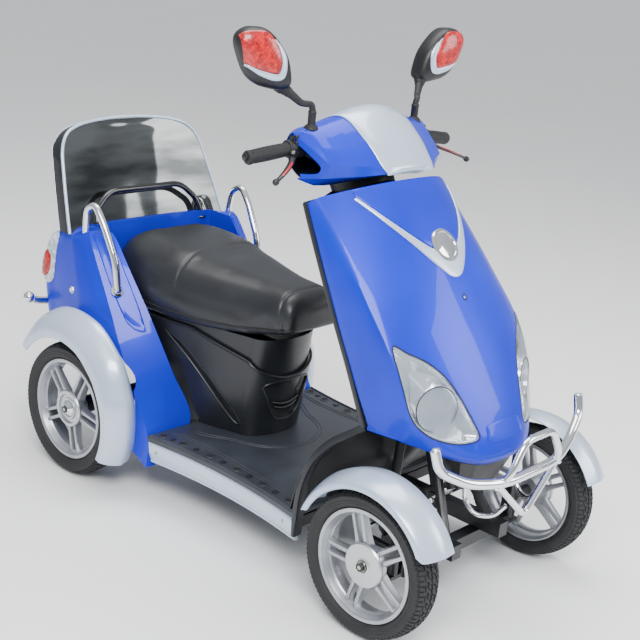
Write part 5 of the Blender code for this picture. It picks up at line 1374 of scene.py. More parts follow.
MIRROR_WHITE_IN = ((0.0520, -0.0130), (0.0200, -0.0255), (-0.0180, -0.0342), (-0.0285, -0.0300),
                   (-0.0332, -0.0049), (-0.0232, 0.0270),
                   (-0.0120, 0.0450))
MIRROR_WHITE_OUT = ((0.0505, -0.0190), (0.0150, -0.0400), (-0.0220, -0.0500), (-0.0430, -0.0400),
                    (-0.0470, -0.0040), (-0.0360, 0.0225),
                    (-0.0150, 0.0450))


def mirror_parts(turn):
    """Mirror head with a glass behind, a faceted red panel and silver V in front, on a sleeved stem."""
    outward = Vector((cos(turn), sin(turn), 0))
    forward = Vector((sin(turn), -cos(turn), 0))

    def spot(u, w, d):
        return MIRROR_MIDDLE + outward * u * MIRROR_WIDER + Vector((0, 0, w)) + forward * d
    edge = flat_curve(MIRROR_EDGE, 6)
    middle = Vector((0.004, 0.006))

    def ring(scale, d, lean=0.0):
        made = []
        for point in edge:
            at = middle + (point - middle) * scale
            made.append(spot(at.x, at.y, d + lean * (at.y - middle.y)))
        return made
    levels = ((0.900, -0.0215), (0.935, -0.0235), (0.965, -0.0225), (0.985, -0.018), (1.0, -0.008),
              (1.0, 0.0015), (0.985, 0.010), (0.955, 0.0165), (0.905, 0.0215), (0.84, 0.0250),
              (0.72, 0.0285), (0.55, 0.0315), (0.35, 0.0335), (0.12, 0.0345))
    head = bridged([ring(0.90, -0.0200)] + [ring(s, d) for s, d in levels], True, True)
    tree = tree_of(head)

    def cast(u, w):
        hit, normal, _, _ = tree.ray_cast(spot(u, w, 0.1), -forward)
        if hit is None:
            near = tree.find_nearest(spot(u, w, 0.02))
            return near[0], forward.copy()
        return hit, normal if normal.dot(forward) > 0 else -normal
    red = flat_curve(MIRROR_RED, 6)
    panel = laid_patch(cast, red, ((1.0, -0.0006), (1.0, 0.0008), (0.97, 0.0018), (0.92, 0.0022),
                                   (0.7, 0.0024), (0.4, 0.0024), (0.1, 0.0024)), (0.016, 0.016))
    silver = laid_strip(cast, MIRROR_WHITE_IN, MIRROR_WHITE_OUT, 64,
                        ((0.0, -0.0004), (0.0, 0.0012), (0.1, 0.0020), (0.5, 0.0024), (0.9, 0.0020),
                         (1.0, 0.0012), (1.0, -0.0004)))
    glass = bridged([ring(0.905, -0.0205), ring(0.905, -0.0222), ring(0.89, -0.0226), ring(0.5, -0.0228),
                     ring(0.1, -0.0228)], True, True)
    base = Vector((0.2000, -0.1600, 1.1395))
    foot = turned([(0.0004, -0.006), (0.0185, -0.006), (0.0195, -0.002), (0.0190, 0.001), (0.0150, 0.006),
                   (0.0112, 0.0085), (0.0105, 0.010),
                   (0.0004, 0.010)], 40, Matrix.Translation(base))
    sleeve = turned([(0.0004, 0.008), (0.0100, 0.008), (0.0100, 0.036), (0.0106, 0.037), (0.0108, 0.039),
                     (0.0106, 0.041), (0.0092, 0.043),
                     (0.0004, 0.043)], 32, Matrix.Translation(base))
    neck = spot(-0.0500, -0.0660, -0.002)
    top = base + Vector((0, 0, 0.040))
    path = [top, top + Vector((0.001, 0.0003, 0.008)), top + Vector((0.007, 0.002, 0.018)),
            top.lerp(neck, 0.35), top.lerp(neck, 0.6),
            top.lerp(neck, 0.8), neck]
    stem = tube([spline(path, i / 36) for i in range(37)], 0.0080, 24,
                radii=[0.0082 + (0.0050 * max(0.0, i / 36 - 0.45) / 0.55) for i in range(37)])
    away = (neck - path[-2]).normalized()
    start = neck - away * 0.030
    boot = turned([(0.0004, 0.0), (0.0118, 0.0), (0.0128, 0.002), (0.0120, 0.005), (0.0136, 0.008),
                   (0.0130, 0.011), (0.0150, 0.014), (0.0144, 0.018), (0.0172, 0.022), (0.0185, 0.034),
                   (0.0180, 0.042), (0.0004, 0.042)], 40,
                   aimed(start, start + away))
    return head, joined([foot, sleeve, stem, boot]), glass, panel, silver


def make_mirrors():
    """Both mirrors, each turned as it is set in the photograph."""
    for word, side in SIDES:
        head, stalk, glass, panel, silver = mirror_parts(MIRROR_TURNS[word])
        for name, bm, material, stands_for, slot in (
                ("head", head, "black_plastic", (f"mirror_{word}",), "black_plastic"),
                ("stalk", stalk, "grip_rubber", (), "rubber"),
                ("glass", glass, "mirror_glass", (), "chrome"),
                ("red_panel", panel, "red_facets", (), "tail_glass"),
                ("silver_v", silver, "silver_paint", (), "silver_paint")):
            add_piece(f"mirror_{name}_{word}", sided(bm, side), material, "steering", stands_for, slot,
                      40.0)
            bm.free()


# Fenders. Columns: angle from forward, and how far the inner edge, crown and lip stand off the tread
FRONT_FENDER = (
    (26.0, 0.036, 0.044, 0.016), (50.0, 0.036, 0.045, 0.017), (75.0, 0.036, 0.045, 0.017),
    (100.0, 0.036, 0.044, 0.016), (125.0, 0.036, 0.043, 0.014), (145.0, 0.036, 0.042, 0.014),
    (160.0, 0.035, 0.041, 0.014),
)
REAR_FENDER = (
    (-25.0, 0.040, 0.048, 0.007), (0.0, 0.042, 0.054, 0.007), (25.0, 0.048, 0.068, 0.009),
    (50.0, 0.056, 0.086, 0.014), (75.0, 0.062, 0.098, 0.022), (100.0, 0.064, 0.100, 0.026),
    (122.0, 0.062, 0.092, 0.028), (142.0, 0.056, 0.078, 0.030),
)
FENDER_WALL = 0.0028
LIP_ROLL = ((-0.0004, -0.0045), (-0.0030, -0.0078), (-0.0066, -0.0082), (-0.0088, -0.0060))


def fender_bm(table, axle_y, tyre_radius, inner_x, crown_x, lip_x, corner):
    """A domed mudguard with a rolled lip; its end corners at the lip are rounded by corner degrees."""
    axle = Vector((0.0, axle_y, tyre_radius))
    first, last = table[0][0], table[-1][0]

    def clearance(angle, column):
        rows = [(row[0], row[column]) for row in table]
        for (a0, c0), (a1, c1) in zip(rows, rows[1:]):
            if angle <= a1:
                t = max(0.0, (angle - a0) / (a1 - a0))
                t = t * t * (3 - 2 * t)
                return c0 + (c1 - c0) * t
        return rows[-1][1]

    def point(u, v):
        bow = u ** 5
        angle = first + corner * bow * (1 - v) ** 2 + (last - first - 2 * corner * bow * 0.4) * v
        inner, crown, lip = [tyre_radius + clearance(angle, k) for k in (1, 2, 3)]
        fall = crown - lip
        profile = [(inner_x, inner), (crown_x * 0.5 + inner_x * 0.5, crown - 0.002), (crown_x, crown),
                   (crown_x * 0.45 + lip_x * 0.55, crown - fall * 0.28),
                   (lip_x - 0.004, crown - fall * 0.68),
                   (lip_x, lip)]
        profile = [Vector(p) for p in profile]
        if u <= 0.86:
            at = spline(profile, u / 0.86)
        else:
            roll = [profile[-1]] + [profile[-1] + Vector(step) for step in LIP_ROLL]
            at = spline(roll, (u - 0.86) / 0.14)
        out = Vector((0.0, -cos(radians(angle)), sin(radians(angle))))
        return axle + Vector((at.x, 0, 0)) + out * at.y
    bm = make_surface(point, 36, 84)
    return thickened(bm, FENDER_WALL, (crown_x * 0.5, axle_y, tyre_radius * 0.4))


def make_fenders():
    """Silver mudguards over the four wheels; the front ones turn with the knuckles."""
    axle_y, _, radius = WHEELS["front"][:3]
    front = fender_bm(FRONT_FENDER, axle_y, radius, 0.288, 0.335, 0.393, 9.0)
    axle_y, _, radius = WHEELS["rear"][:3]
    rear = fender_bm(REAR_FENDER, axle_y, radius, 0.3346, 0.375, 0.428, 0.0)
    for word, side in SIDES:
        for end, bm, body in (("front", front, f"front_{word}_knuckle"), ("rear", rear, "chassis")):
            piece = add_piece(f"{end}_mudguard_{word}", sided(bm, side), "silver_paint", body,
                              (f"{end}_fender_{word}",), "silver_paint", 42.0)
            rounded_edges(piece, 0.0010, 2, 42.0)
    front.free()
    rear.free()


# Rear body, left half. Columns: z at the front, side and rear; inner ridge x, y; outer ridge x, y;
# side x, y; rear corner x, y; rear centre y
BODY_LINES = (
    (0.104, 0.252, 0.400, 0.300, 0.2360, 0.333, 0.2360, 0.335, 0.520, 0.290, 0.768, 0.778),
    (0.210, 0.311, 0.412, 0.176, 0.2360, 0.333, 0.240, 0.335, 0.520, 0.292, 0.772, 0.782),
    (0.350, 0.395, 0.440, 0.200, 0.300, 0.324, 0.348, 0.334, 0.540, 0.294, 0.780, 0.790),
    (0.500, 0.515, 0.530, 0.222, 0.388, 0.308, 0.455, 0.328, 0.580, 0.292, 0.795, 0.805),
    (0.600, 0.605, 0.610, 0.228, 0.468, 0.300, 0.525, 0.318, 0.620, 0.288, 0.780, 0.792),
    (0.680, 0.664, 0.655, 0.230, 0.535, 0.294, 0.580, 0.309, 0.650, 0.280, 0.758, 0.772),
    (0.704, 0.680, 0.680, 0.232, 0.560, 0.285, 0.600, 0.301, 0.660, 0.272, 0.742, 0.756),
)
RECESS_Y = 0.655
BODY_WALL = 0.0038
ARCH_RADIUS = 0.242
BODY_STEPS = 42


def body_row(row, u):
    """A point of one row of the rear body.

    u runs 0 to 2 over the front face, 2 to 4 over the side's front, and on to the rear's middle at 8.
    """
    zf, zs, zr, xi, yi, xo, yo, xs, ys, xc, yc, y0 = row
    a, b, c, d = Vector((xi, yi, zf)), Vector((xo, yo, zf)), Vector((xs, ys, zs)), Vector((xc, yc, zr))
    if u <= 2:
        return a.lerp(b, u / 2)
    if u <= 4:
        t = (u - 2) / 2
        return b.lerp(c, t) + Vector((0.004 * (1 - (2 * t - 1) ** 2), 0, 0))
    line = [c, c.lerp(d, 0.65) + Vector((0.006, 0.004, 0)), d + Vector((-0.004, 0.002, 0)),
            Vector((xc * 0.5, y0, zr)), Vector((0.0, y0 + 0.001, zr))]
    return spline(line, (u - 4) / 4)


def body_point(u, v):
    """A point of the rear body's outer face."""
    return spline([body_row(row, u) for row in BODY_LINES], v)


def body_inner(w, v):
    """The seat's recess: w runs from the inner ridge back to the rear wall and to the middle."""
    edge = body_point(0.0, v)
    rear = Vector((edge.x, RECESS_Y, edge.z))
    line = [edge, edge.lerp(rear, 0.85), rear + Vector((-0.010, 0.001, 0)),
            Vector((edge.x * 0.5, RECESS_Y + 0.006, edge.z)), Vector((0.0, RECESS_Y + 0.007, edge.z))]
    if w <= 0.45:
        return line[0].lerp(line[1], w / 0.45)
    return spline(line[1:], (w - 0.45) / 0.55)


def body_cast(u, v):
    """A point of the rear body's outer face and its outward normal, from shares u and v."""
    spot = body_point(u, v)
    aside = body_point(u + 0.02, v) - spot
    up = body_point(u, min(v + 0.01, 1.0)) - body_point(u, max(v - 0.01, 0.0))
    normal = aside.cross(up).normalized()
    if normal.dot(spot - Vector((0.0, 0.60, spot.z))) < 0:
        normal = -normal
    return spot, normal


def make_rear_body():
    """Blue cowling: ridged front posts, sides, deck, recess for the seat and wheel arches."""
    us = [i / 8 for i in range(65)]
    vs = [i * (1 / BODY_STEPS) for i in range(BODY_STEPS + 1)]
    outer = lofted_sheet(us, vs, body_point)

    # The recess shares the inner ridge's edge and the deck joins the two top edges
    def deck(u, t):
        w = u / 8
        a, b = body_point(u, 1.0), body_inner(w, 1.0)
        crown = 0.003 * (1 - (2 * t - 1) ** 2) * min(1.0, (a - b).length / 0.05)
        return a.lerp(b, t) + Vector((0, 0, crown))
    top = lofted_sheet(us, [i / 10 for i in range(11)], deck)
    inner = lofted_sheet(us, [v for v in vs if v >= 2 / 6 - 1e-6], lambda u, v: body_inner(u / 8, v))
    half = joined([outer, inner, top])
    bmesh.ops.remove_doubles(half, verts=half.verts, dist=WELD)
    whole = mirror_join(half)
    bmesh.ops.recalc_face_normals(whole, faces=whole.faces)
    probe = [f for f in whole.faces
             if abs(f.calc_center_median().x) > 0.325 and f.calc_center_median().z > 0.3]
    if sum(f.normal.x * (1 if f.calc_center_median().x > 0 else -1) for f in probe) < 0:
        bmesh.ops.reverse_faces(whole, faces=whole.faces)
    bmesh.ops.solidify(whole, geom=whole.faces, thickness=BODY_WALL)
    axle_y, _, radius = WHEELS["rear"][:3]
    arches = [rod((s * 0.285, axle_y, radius), (s * 0.45, axle_y, radius), ARCH_RADIUS, 96)
              for s in (LEFT, RIGHT)]
    shell = cut(whole, arches)
    piece = add_piece("rear_cowling", shell, "blue_paint", "chassis", ("rear_body",),
                      "blue_paint", 26.0)
    rounded_edges(piece, 0.0022, 3, 26.0)
    make_body_details()


def make_body_details():
    """Channel panels, locks, grab loops with foot flanges, and tail lamps with a red and a clear lens."""
    channel = flat_curve(((0.30, 0.965), (0.62, 0.985), (1.30, 0.985), (1.66, 0.95), (1.62, 0.72),
                          (1.52, 0.56), (1.30, 0.470), (0.62, 0.445), (0.44, 0.49), (0.36, 0.70)), 6)
    rises = ((1.0, -0.0006), (1.0, 0.0030), (0.975, 0.0038), (0.94, 0.0030), (0.91, 0.0012), (0.8, 0.0010),
             (0.5, 0.0010), (0.2, 0.0010))
    panel = laid_patch(body_cast, channel, rises, (1.0, 0.72))
    spot, normal = body_cast(4.27, 0.515)
    turn = aimed(spot - normal * 0.0005, spot + normal)
    lock = turned([(0.0004, 0.0042), (0.0024, 0.0042), (0.0030, 0.0058), (0.0062, 0.0060), (0.0078, 0.0044),
                   (0.0082, 0.0024), (0.0104, 0.0022), (0.0112, 0.0008), (0.0112, -0.001),
                   (0.0004, -0.001)], 36, turn)
    loop = [Vector(p) for p in ((0.279, 0.4670, 0.560), (0.281, 0.4800, 0.645), (0.286, 0.5350, 0.745),
                                (0.288, 0.5740, 0.792), (0.286, 0.6140, 0.770), (0.282, 0.6220, 0.704),
                                (0.280, 0.6220, 0.6795))]
    bar = tube(rounded(loop, 0.026, 12), 0.0105, 28)
    feet = []
    for at, away in ((Vector((0.279, 0.4690, 0.5590)), Vector((0.10, -0.78, 0.62))),
                     (loop[-1], Vector((0, 0, 1)))):
        feet.append(turned([(0.0104, 0.0), (0.0190, 0.0), (0.0198, 0.0016), (0.0190, 0.0038),
                            (0.0130, 0.0052), (0.0120, 0.0085),
                            (0.0104, 0.0085)], 36, aimed(at, at + away)))
    loop_bm = joined([bar] + feet)
    lens_low = flat_curve(((5.35, 0.53), (5.75, 0.495), (6.60, 0.50), (6.78, 0.56), (6.74, 0.63),
                           (6.20, 0.655), (5.45, 0.655), (5.26, 0.60)), 7)
    lens_high = flat_curve(((5.24, 0.675), (6.15, 0.680), (6.74, 0.655), (6.66, 0.77), (6.35, 0.86),
                            (5.90, 0.885), (5.46, 0.86), (5.26, 0.77)), 7)
    surround = flat_curve(((5.16, 0.50), (5.65, 0.465), (6.75, 0.470), (6.92, 0.55), (6.84, 0.78),
                           (6.40, 0.905), (5.85, 0.925), (5.34, 0.89), (5.12, 0.76), (5.08, 0.60)), 7)
    bed = laid_patch(body_cast, surround, ((1.0, -0.0006), (1.0, 0.0024), (0.97, 0.0040), (0.90, 0.0060),
                                           (0.6, 0.0072), (0.3, 0.0072)),
                     (6.00, 0.69))
    red = laid_patch(body_cast, lens_low, ((1.0, 0.0030), (1.0, 0.0080), (0.96, 0.0105), (0.85, 0.0130),
                                           (0.6, 0.0145), (0.3, 0.0150)),
                     (6.00, 0.58))
    clear = laid_patch(body_cast, lens_high, ((1.0, 0.0030), (1.0, 0.0075), (0.95, 0.0100), (0.82, 0.0125),
                                              (0.55, 0.0140), (0.25, 0.0142)),
                       (6.00, 0.77))
    add_pairs("chassis", (
        ("channel_panel", panel, "blue_paint", None, "blue_paint", 30.0),
        ("side_lock", lock, "chrome", None, "chrome", 35.0),
        ("grab_rail", loop_bm, "chrome", "grab_loop", "chrome", 40.0),
        ("tail_lamp_bed", bed, "clear_facets", "tail_lamp", "silver_paint", 40.0),
        ("tail_lens_red", red, "red_facets", None, "tail_glass", 40.0),
        ("tail_lens_clear", clear, "clear_facets", None, "lamp_glass", 40.0)))


# Back panel rows: z, half width, centre y
PANEL_LINES = (
    (0.6812, 0.2980, 0.700), (0.735, 0.2915, 0.721), (0.795, 0.2835, 0.744), (0.851, 0.2745, 0.766),
    (0.900, 0.2655, 0.785), (0.934, 0.2500, 0.798), (0.957, 0.2240, 0.807), (0.972, 0.1780, 0.812),
    (0.980, 0.1180, 0.815), (0.984, 0.0600, 0.817), (0.9855, 0.0, 0.8175),
)
PANEL_BOW, PANEL_BOW_X = 0.026, 0.290
FLANGE_DEPTH = 0.052
REAR_LIMIT = 0.8210


def panel_edge(t):
    """A point of the panel's edge: 0 is the right foot, 1 the left foot."""
    side = [Vector((w, y - PANEL_BOW * (w / PANEL_BOW_X) ** 3, z)) for z, w, y in PANEL_LINES]
    line = [Vector((-p.x, p.y, p.z)) for p in side] + list(reversed(side[:-1]))
    return spline(line, t)


def make_back_panel():
    """Dark mirror-gloss panel with a wide glossy flange behind it and bright edges."""
    def face(u, v):
        z_lines = [Vector(row) for row in PANEL_LINES[:-1]]
        z, half, y = spline(z_lines, v)
        x = half * (2 * u - 1)
        return Vector((x, y - PANEL_BOW * (abs(x) / PANEL_BOW_X) ** 3, z))
    panel = thickened(make_surface(face, 60, 60), 0.004, (0, 1.2, 0.5))
    add_piece("back_mirror_panel", panel, "smoked_gloss", "chassis", ("back_panel",), "smoked_gloss", 40.0)
    steps = 160
    edge = [panel_edge(i / steps) for i in range(steps + 1)]
    middle = Vector((0, 0, 0.84))
    rings, front, rear = [], [], []
    for i, at in enumerate(edge):
        ahead = edge[min(i + 1, steps)] - edge[max(i - 1, 0)]
        out = Vector((-ahead.z, 0, ahead.x)).normalized()
        if out.dot(Vector((at.x, 0, at.z - middle.z))) < 0:
            out = -out
        deep = max(0.004, min(FLANGE_DEPTH, REAR_LIMIT - at.y))
        rings.append([at + out * off + Vector((0, back, 0)) for off, back in (
            (0.0005, -0.001), (0.0050, 0.0), (0.0060, deep * 0.5), (0.0040, deep), (0.0010, deep),
            (0.0022, deep * 0.5))])
        front.append(at + out * 0.0040)
        rear.append(at + out * 0.0040 + Vector((0, deep - 0.0016, 0)))
    add_piece("back_panel_flange", bridged(rings, True, True), "black_gloss", "chassis", (), "smoked_gloss",
              40.0)
    edging = joined([tube(front, 0.0048, 14), tube(rear, 0.0016, 10)])
    add_piece("back_panel_edging", edging, "silver_paint", "chassis", ("back_panel_rim",), "silver_paint",
              40.0)
    foot = Vector((0.205, 0.670, 0.6815))
    hoop = [foot, foot + Vector((0, 0, 0.020)), Vector((0.196, 0.688, 0.740)),
            Vector((0.140, 0.702, 0.790))]
    path = hoop + [Vector((-p.x, p.y, p.z)) for p in reversed(hoop)]
    whole = [tube(rounded(path, 0.055, 14), 0.009, 24)]
    for side in (LEFT, RIGHT):
        whole.append(turned([(0.0004, 0.0), (0.0180, 0.0), (0.0186, 0.0020), (0.0170, 0.0044),
                             (0.0110, 0.0062), (0.0004, 0.0062)], 32,
                            Matrix.Translation((side * foot.x, foot.y, foot.z - 0.0005))))
    add_piece("back_hoop_tube", joined(whole), "black_gloss", "chassis", ("back_hoop",), "black_steel",
              40.0)


# Seat sections: y, half width, bottom z, top z
SEAT_LINES = (
    (-0.0620, 0.090, 0.558, 0.606), (-0.0570, 0.101, 0.549, 0.628), (-0.0460, 0.109, 0.542, 0.644),
    (-0.0200, 0.116, 0.536, 0.657), (0.0300, 0.123, 0.525, 0.662), (0.110, 0.142, 0.510, 0.667),
    (0.220, 0.178, 0.5015, 0.677), (0.300, 0.200, 0.5015, 0.684), (0.370, 0.212, 0.5015, 0.697),
    (0.470, 0.216, 0.5015, 0.703), (0.550, 0.208, 0.507, 0.701), (0.600, 0.184, 0.520, 0.690),
    (0.6185, 0.150, 0.540, 0.668),
)
SEAT_SIDES = 56
SEAT_VOXEL = 0.0065
# Corners below this height rest on the seat box and don't swell
SEAT_PINNED_BELOW = 0.512
GROOVE_WIDTH = 0.0060


def seat_ring(row, grow):
    """The saddle's section at one row, grown by grow metres."""
    y, half, low, high = row
    half, low, high = half + grow, low, high + grow
    ring = []
    for i in range(SEAT_SIDES):
        angle = 2 * pi * i / SEAT_SIDES
        c, s = cos(angle), sin(angle)
        x = half * abs(c) ** 0.52 * (1 if c >= 0 else -1)
        middle = low + (high - low) * 0.24
        z = middle + (high - middle) * s ** 0.72 if s >= 0 else middle - (middle - low) * min(1.0,
                                                                                              abs(s) * 3.2)
        # The top dips a little along the middle of the saddle, and the flanks pull in under it
        if s > 0:
            z -= 0.006 * s ** 6 * (1 - abs(2 * (y - 0.2) / 0.6)) if abs(y - 0.2) < 0.3 else 0.0
        else:
            x *= 1 - 0.05 * abs(s) ** 0.5
        ring.append(Vector((x, y, z)))
    return ring


def swollen(piece, pressure, cap, keep_low):
    """Inflates a copy of the pad with Cloth, caps how far each point moved, and applies the result."""
    mesh = piece.data
    before = [v.co.copy() for v in mesh.vertices]
    pinned = piece.vertex_groups.new(name="pinned")
    pinned.add([v.index for v in mesh.vertices if v.co.z < keep_low], 1.0, "ADD")
    cloth = piece.modifiers.new("swell", "CLOTH")
    cloth.settings.use_pressure = True
    cloth.settings.uniform_pressure_force = pressure
    cloth.settings.vertex_group_mass = "pinned"
    cloth.settings.effector_weights.gravity = 0.0
    cloth.settings.quality = 5
    cloth.collision_settings.use_collision = False
    cloth.collision_settings.use_self_collision = False
    scene = bpy.context.scene
    for step in range(1, 21):
        scene.frame_set(step)
    graph = bpy.context.evaluated_depsgraph_get()
    after = [v.co.copy() for v in piece.evaluated_get(graph).data.vertices]
    piece.modifiers.remove(cloth)
    piece.vertex_groups.remove(pinned)
    scene.frame_set(1)
    for vert, old, new in zip(mesh.vertices, before, after):
        move = new - old
        vert.co = old + (move * (cap / move.length) if move.length > cap else move)


def make_seat(settings):
    """Vinyl saddle swollen over its foam, with a nose seam, a seam at the step and piping."""
    rows = [Vector(row) for row in SEAT_LINES]
    steps = 88
    # The pad starts this much smaller, because the swelling and the smoothing fill it out
    rings = [seat_ring(spline(rows, i / steps), -0.004) for i in range(steps + 1)]
    bm = bridged(rings, True, True)
    piece = new_object("saddle_pad", finish_mesh(bm, "saddle"))
    remesh = piece.modifiers.new("even cells", "REMESH")
    remesh.mode = "VOXEL"
    remesh.voxel_size = SEAT_VOXEL
    mesh = applied(piece)
    piece.modifiers.clear()
    piece.data = mesh
    swollen(piece, settings.pressure, settings.rise, SEAT_PINNED_BELOW)
    smooth = piece.modifiers.new("evened", "SMOOTH")
    smooth.factor = 0.6
    smooth.iterations = 8
    finer = piece.modifiers.new("finer", "SUBSURF")
    finer.levels = finer.render_levels = 1
    mesh = applied(piece)
    bpy.data.objects.remove(piece, do_unlink=True)
    bm = bmesh.new()
    bm.from_mesh(mesh)
    bpy.data.meshes.remove(mesh)
    tree = tree_of(bm)
    # Seams: a groove is pressed in along each line of the photograph, and piping lies at the lower edge
    grooves = (("nose", -0.0220, settings.seam_depth), ("step", 0.345, 0.0026))
    for vert in bm.verts:
        x, y, z = vert.co
        for kind, at, deep in grooves:
            if kind == "nose":
                line = at + 0.012 * (z - 0.60) / 0.06
            else:
                line = at - 0.030 * (abs(x) / 0.2) ** 2
                if z < 0.60:
                    continue
            away = (y - line) / GROOVE_WIDTH
            if abs(away) < 3.0:
                vert.co -= vert.normal * deep * exp(-away * away)
    pad = add_piece("saddle", bm, "seat_vinyl", "seat", ("seat_cushion",), "seat_vinyl", 60.0)
    piping = []
    for side in (LEFT, RIGHT):
        line = []
        for i in range(60):
            t = 0.02 + 0.93 * i / 59
            y, half, low, high = spline(rows, t)
            at = Vector((side * (half + 0.05), y, low + (high - low) * 0.13))
            hit = tree.ray_cast(at, Vector((-side, 0, 0)))[0]
            if hit:
                line.append(hit + Vector((side * 0.0006, 0, 0)))
        piping.append(tube(line, 0.0030, 10))
    add_piece("saddle_piping", joined(piping), "grip_rubber", "seat", (), "seat_vinyl", 60.0)


# Seat box rows: z, front y, front half width, rear half width
BOX_LINES = (
    (0.2075, 0.044, 0.108, 0.166), (0.300, 0.032, 0.114, 0.174), (0.400, 0.020, 0.116, 0.178),
    (0.5008, 0.006, 0.116, 0.178),
)


COVER_WALL = 0.0085


def box_point(s, v, grow=0.0):
    """The box's outline at height share v: s runs from the front's middle round the corner to the rear."""
    z, front, narrow, wide = spline([Vector(row) for row in BOX_LINES], v)
    if s <= 0.4:
        angle = (pi / 2) * s / 0.4
        spot = Vector((narrow * sin(angle), front + 0.060 * (1 - cos(angle)), z))
    else:
        t = (s - 0.4) / 0.6
        line = [Vector((narrow, front + 0.060, z)), Vector(((narrow + wide) / 2 + 0.004, 0.215, z)),
                Vector((wide, 0.360, z)),
                Vector((wide + 0.001, 0.436, z))]
        spot = spline(line, t)
    away = Vector((spot.x * 1.4, (spot.y - 0.20) * (1 if spot.y < 0.2 else 0), 0))
    return spot + (away.normalized() * grow if away.length > 0.001 else Vector())


def box_hit(tree, x, z):
    """Where a ray from the front meets the box's cover at (x, z)."""
    return tree.ray_cast(Vector((x, -0.4, z)), Vector((0, 1, 0)))[0]


def cover_top(s):
    """Height share of the cover's sweeping top edge."""
    return 0.62 + 0.335 * min(1.0, max(0.0, s - 0.05) / 0.62) ** 1.25


def make_seat_box():
    """Box under the saddle with a second moulded skin: sweeping top edge, side slots and a front pocket."""
    inner = make_surface(lambda s, v: box_point(s, v, -0.0015) + Vector((0, 0, 0.004 * v)), 48, 12)
    add_piece("seat_box_core", thickened(mirror_join(inner), 0.003, (0, 0.2, 0.35)), "satin_plastic",
              "chassis",
              ("seat_box",), "black_plastic", 40.0)
    outer = make_surface(lambda s, v: box_point(s, v * cover_top(s), COVER_WALL), 72, 40)
    shell = thickened(mirror_join(outer), COVER_WALL, (0, 0.2, 0.30))
    tree = tree_of(shell)
    cutters, edges = [], []
    # Front pocket: a trapezoid with a rounded foot
    pocket = closed_curve([(0.088, 0, 0.362), (0.050, 0, 0.376), (-0.050, 0, 0.376), (-0.088, 0, 0.362),
                           (-0.074, 0, 0.325), (-0.050, 0, 0.272), (-0.024, 0, 0.252), (0.024, 0, 0.252),
                           (0.050, 0, 0.272), (0.074, 0, 0.325)], 5)
    rings = []
    for reach in (0.05, -0.0055):
        rings.append([])
        for p in pocket:
            x, z = (p.x, p.z) if reach > 0 else (p.x * 0.93, 0.315 + (p.z - 0.315) * 0.94)
            rings[-1].append(box_hit(tree, x, z) - Vector((0, reach, 0)))
    cutters.append(bridged(rings, True, True))
    # Side slots: long lens shapes that run down and forward
    for side in (LEFT, RIGHT):
        slot = closed_curve([(0, 0.356, 0.458), (0, 0.290, 0.434), (0, 0.215, 0.378), (0, 0.140, 0.308),
                             (0, 0.098, 0.256), (0, 0.092, 0.238), (0, 0.118, 0.248), (0, 0.195, 0.330),
                             (0, 0.270, 0.398), (0, 0.335, 0.444)], 5)
        rings = []
        for out in (0.004, 0.05):
            ring = []
            for p in slot:
                hit = tree.ray_cast(Vector((side * 0.4, p.y, p.z)), Vector((-side, 0, 0)))[0]
                x = hit.x if hit else side * 0.16
                ring.append(Vector((x - side * 0.0070 if out < 0.01 else x + side * out, p.y, p.z)))
            rings.append(ring)
        cutters.append(bridged(rings, True, True))
        edges.append([Vector((p.x - side * 0.05, p.y, p.z)) for p in rings[1]])
    shell = cut(shell, cutters)
    piece = add_piece("seat_box_cover", shell, "satin_plastic", "chassis", (), "black_plastic", 30.0)
    rounded_edges(piece, 0.0022, 3, 30.0)
    ribs = []
    # Raised lips round the pocket and the side recesses, and along the cover's top edge
    for ring in edges:
        line = [tree.find_nearest(p)[0] for p in ring]
        ribs.append(tube(line + line[:1], 0.0026, 8, caps=False))
    top = [box_point(i / 60, cover_top(i / 60), 0.0070) for i in range(61)]
    for side in (LEFT, RIGHT):
        ribs.append(tube([Vector((p.x * side, p.y, p.z)) for p in top], 0.0042, 10))
    line = [box_hit(tree, p.x, p.z) for p in pocket]
    ribs.append(tube(line + line[:1], 0.0032, 8, caps=False))
    for z, half in ((0.300, 0.052), (0.286, 0.045)):
        line = []
        for i in range(25):
            x = half * (i / 12 - 1)
            line.append(box_hit(tree, x, z) + Vector((0, 0.0040, 0.010 * (x / half) ** 2)))
        ribs.append(tube(line, 0.0030, 12))
    add_piece("pocket_ribs", joined(ribs), "satin_plastic", "chassis", (), "black_plastic")


# Floor: front edge, length, top face, and the height at which ribs start
FLOOR_FRONT, FLOOR_LENGTH = -0.345, 0.5805
FLOOR_TOP, RIB_BASE = 0.2056, 0.2050


def floor_half(y):
    """Half width of the floor at y: its sides are waisted between the wheels."""
    return 0.337 - 0.026 * (1 - ((y + 0.05475) / 0.29025) ** 2)


def side_line(side, low, high, inset, z, wave=0.0):
    """A line from y low to high, inset metres inside the floor's side, with a slight wave."""
    ys = [low + (high - low) * i / 48 for i in range(49)]
    return [Vector((side * (floor_half(y) - inset - wave * sin(9 * y)), y, z)) for y in ys]


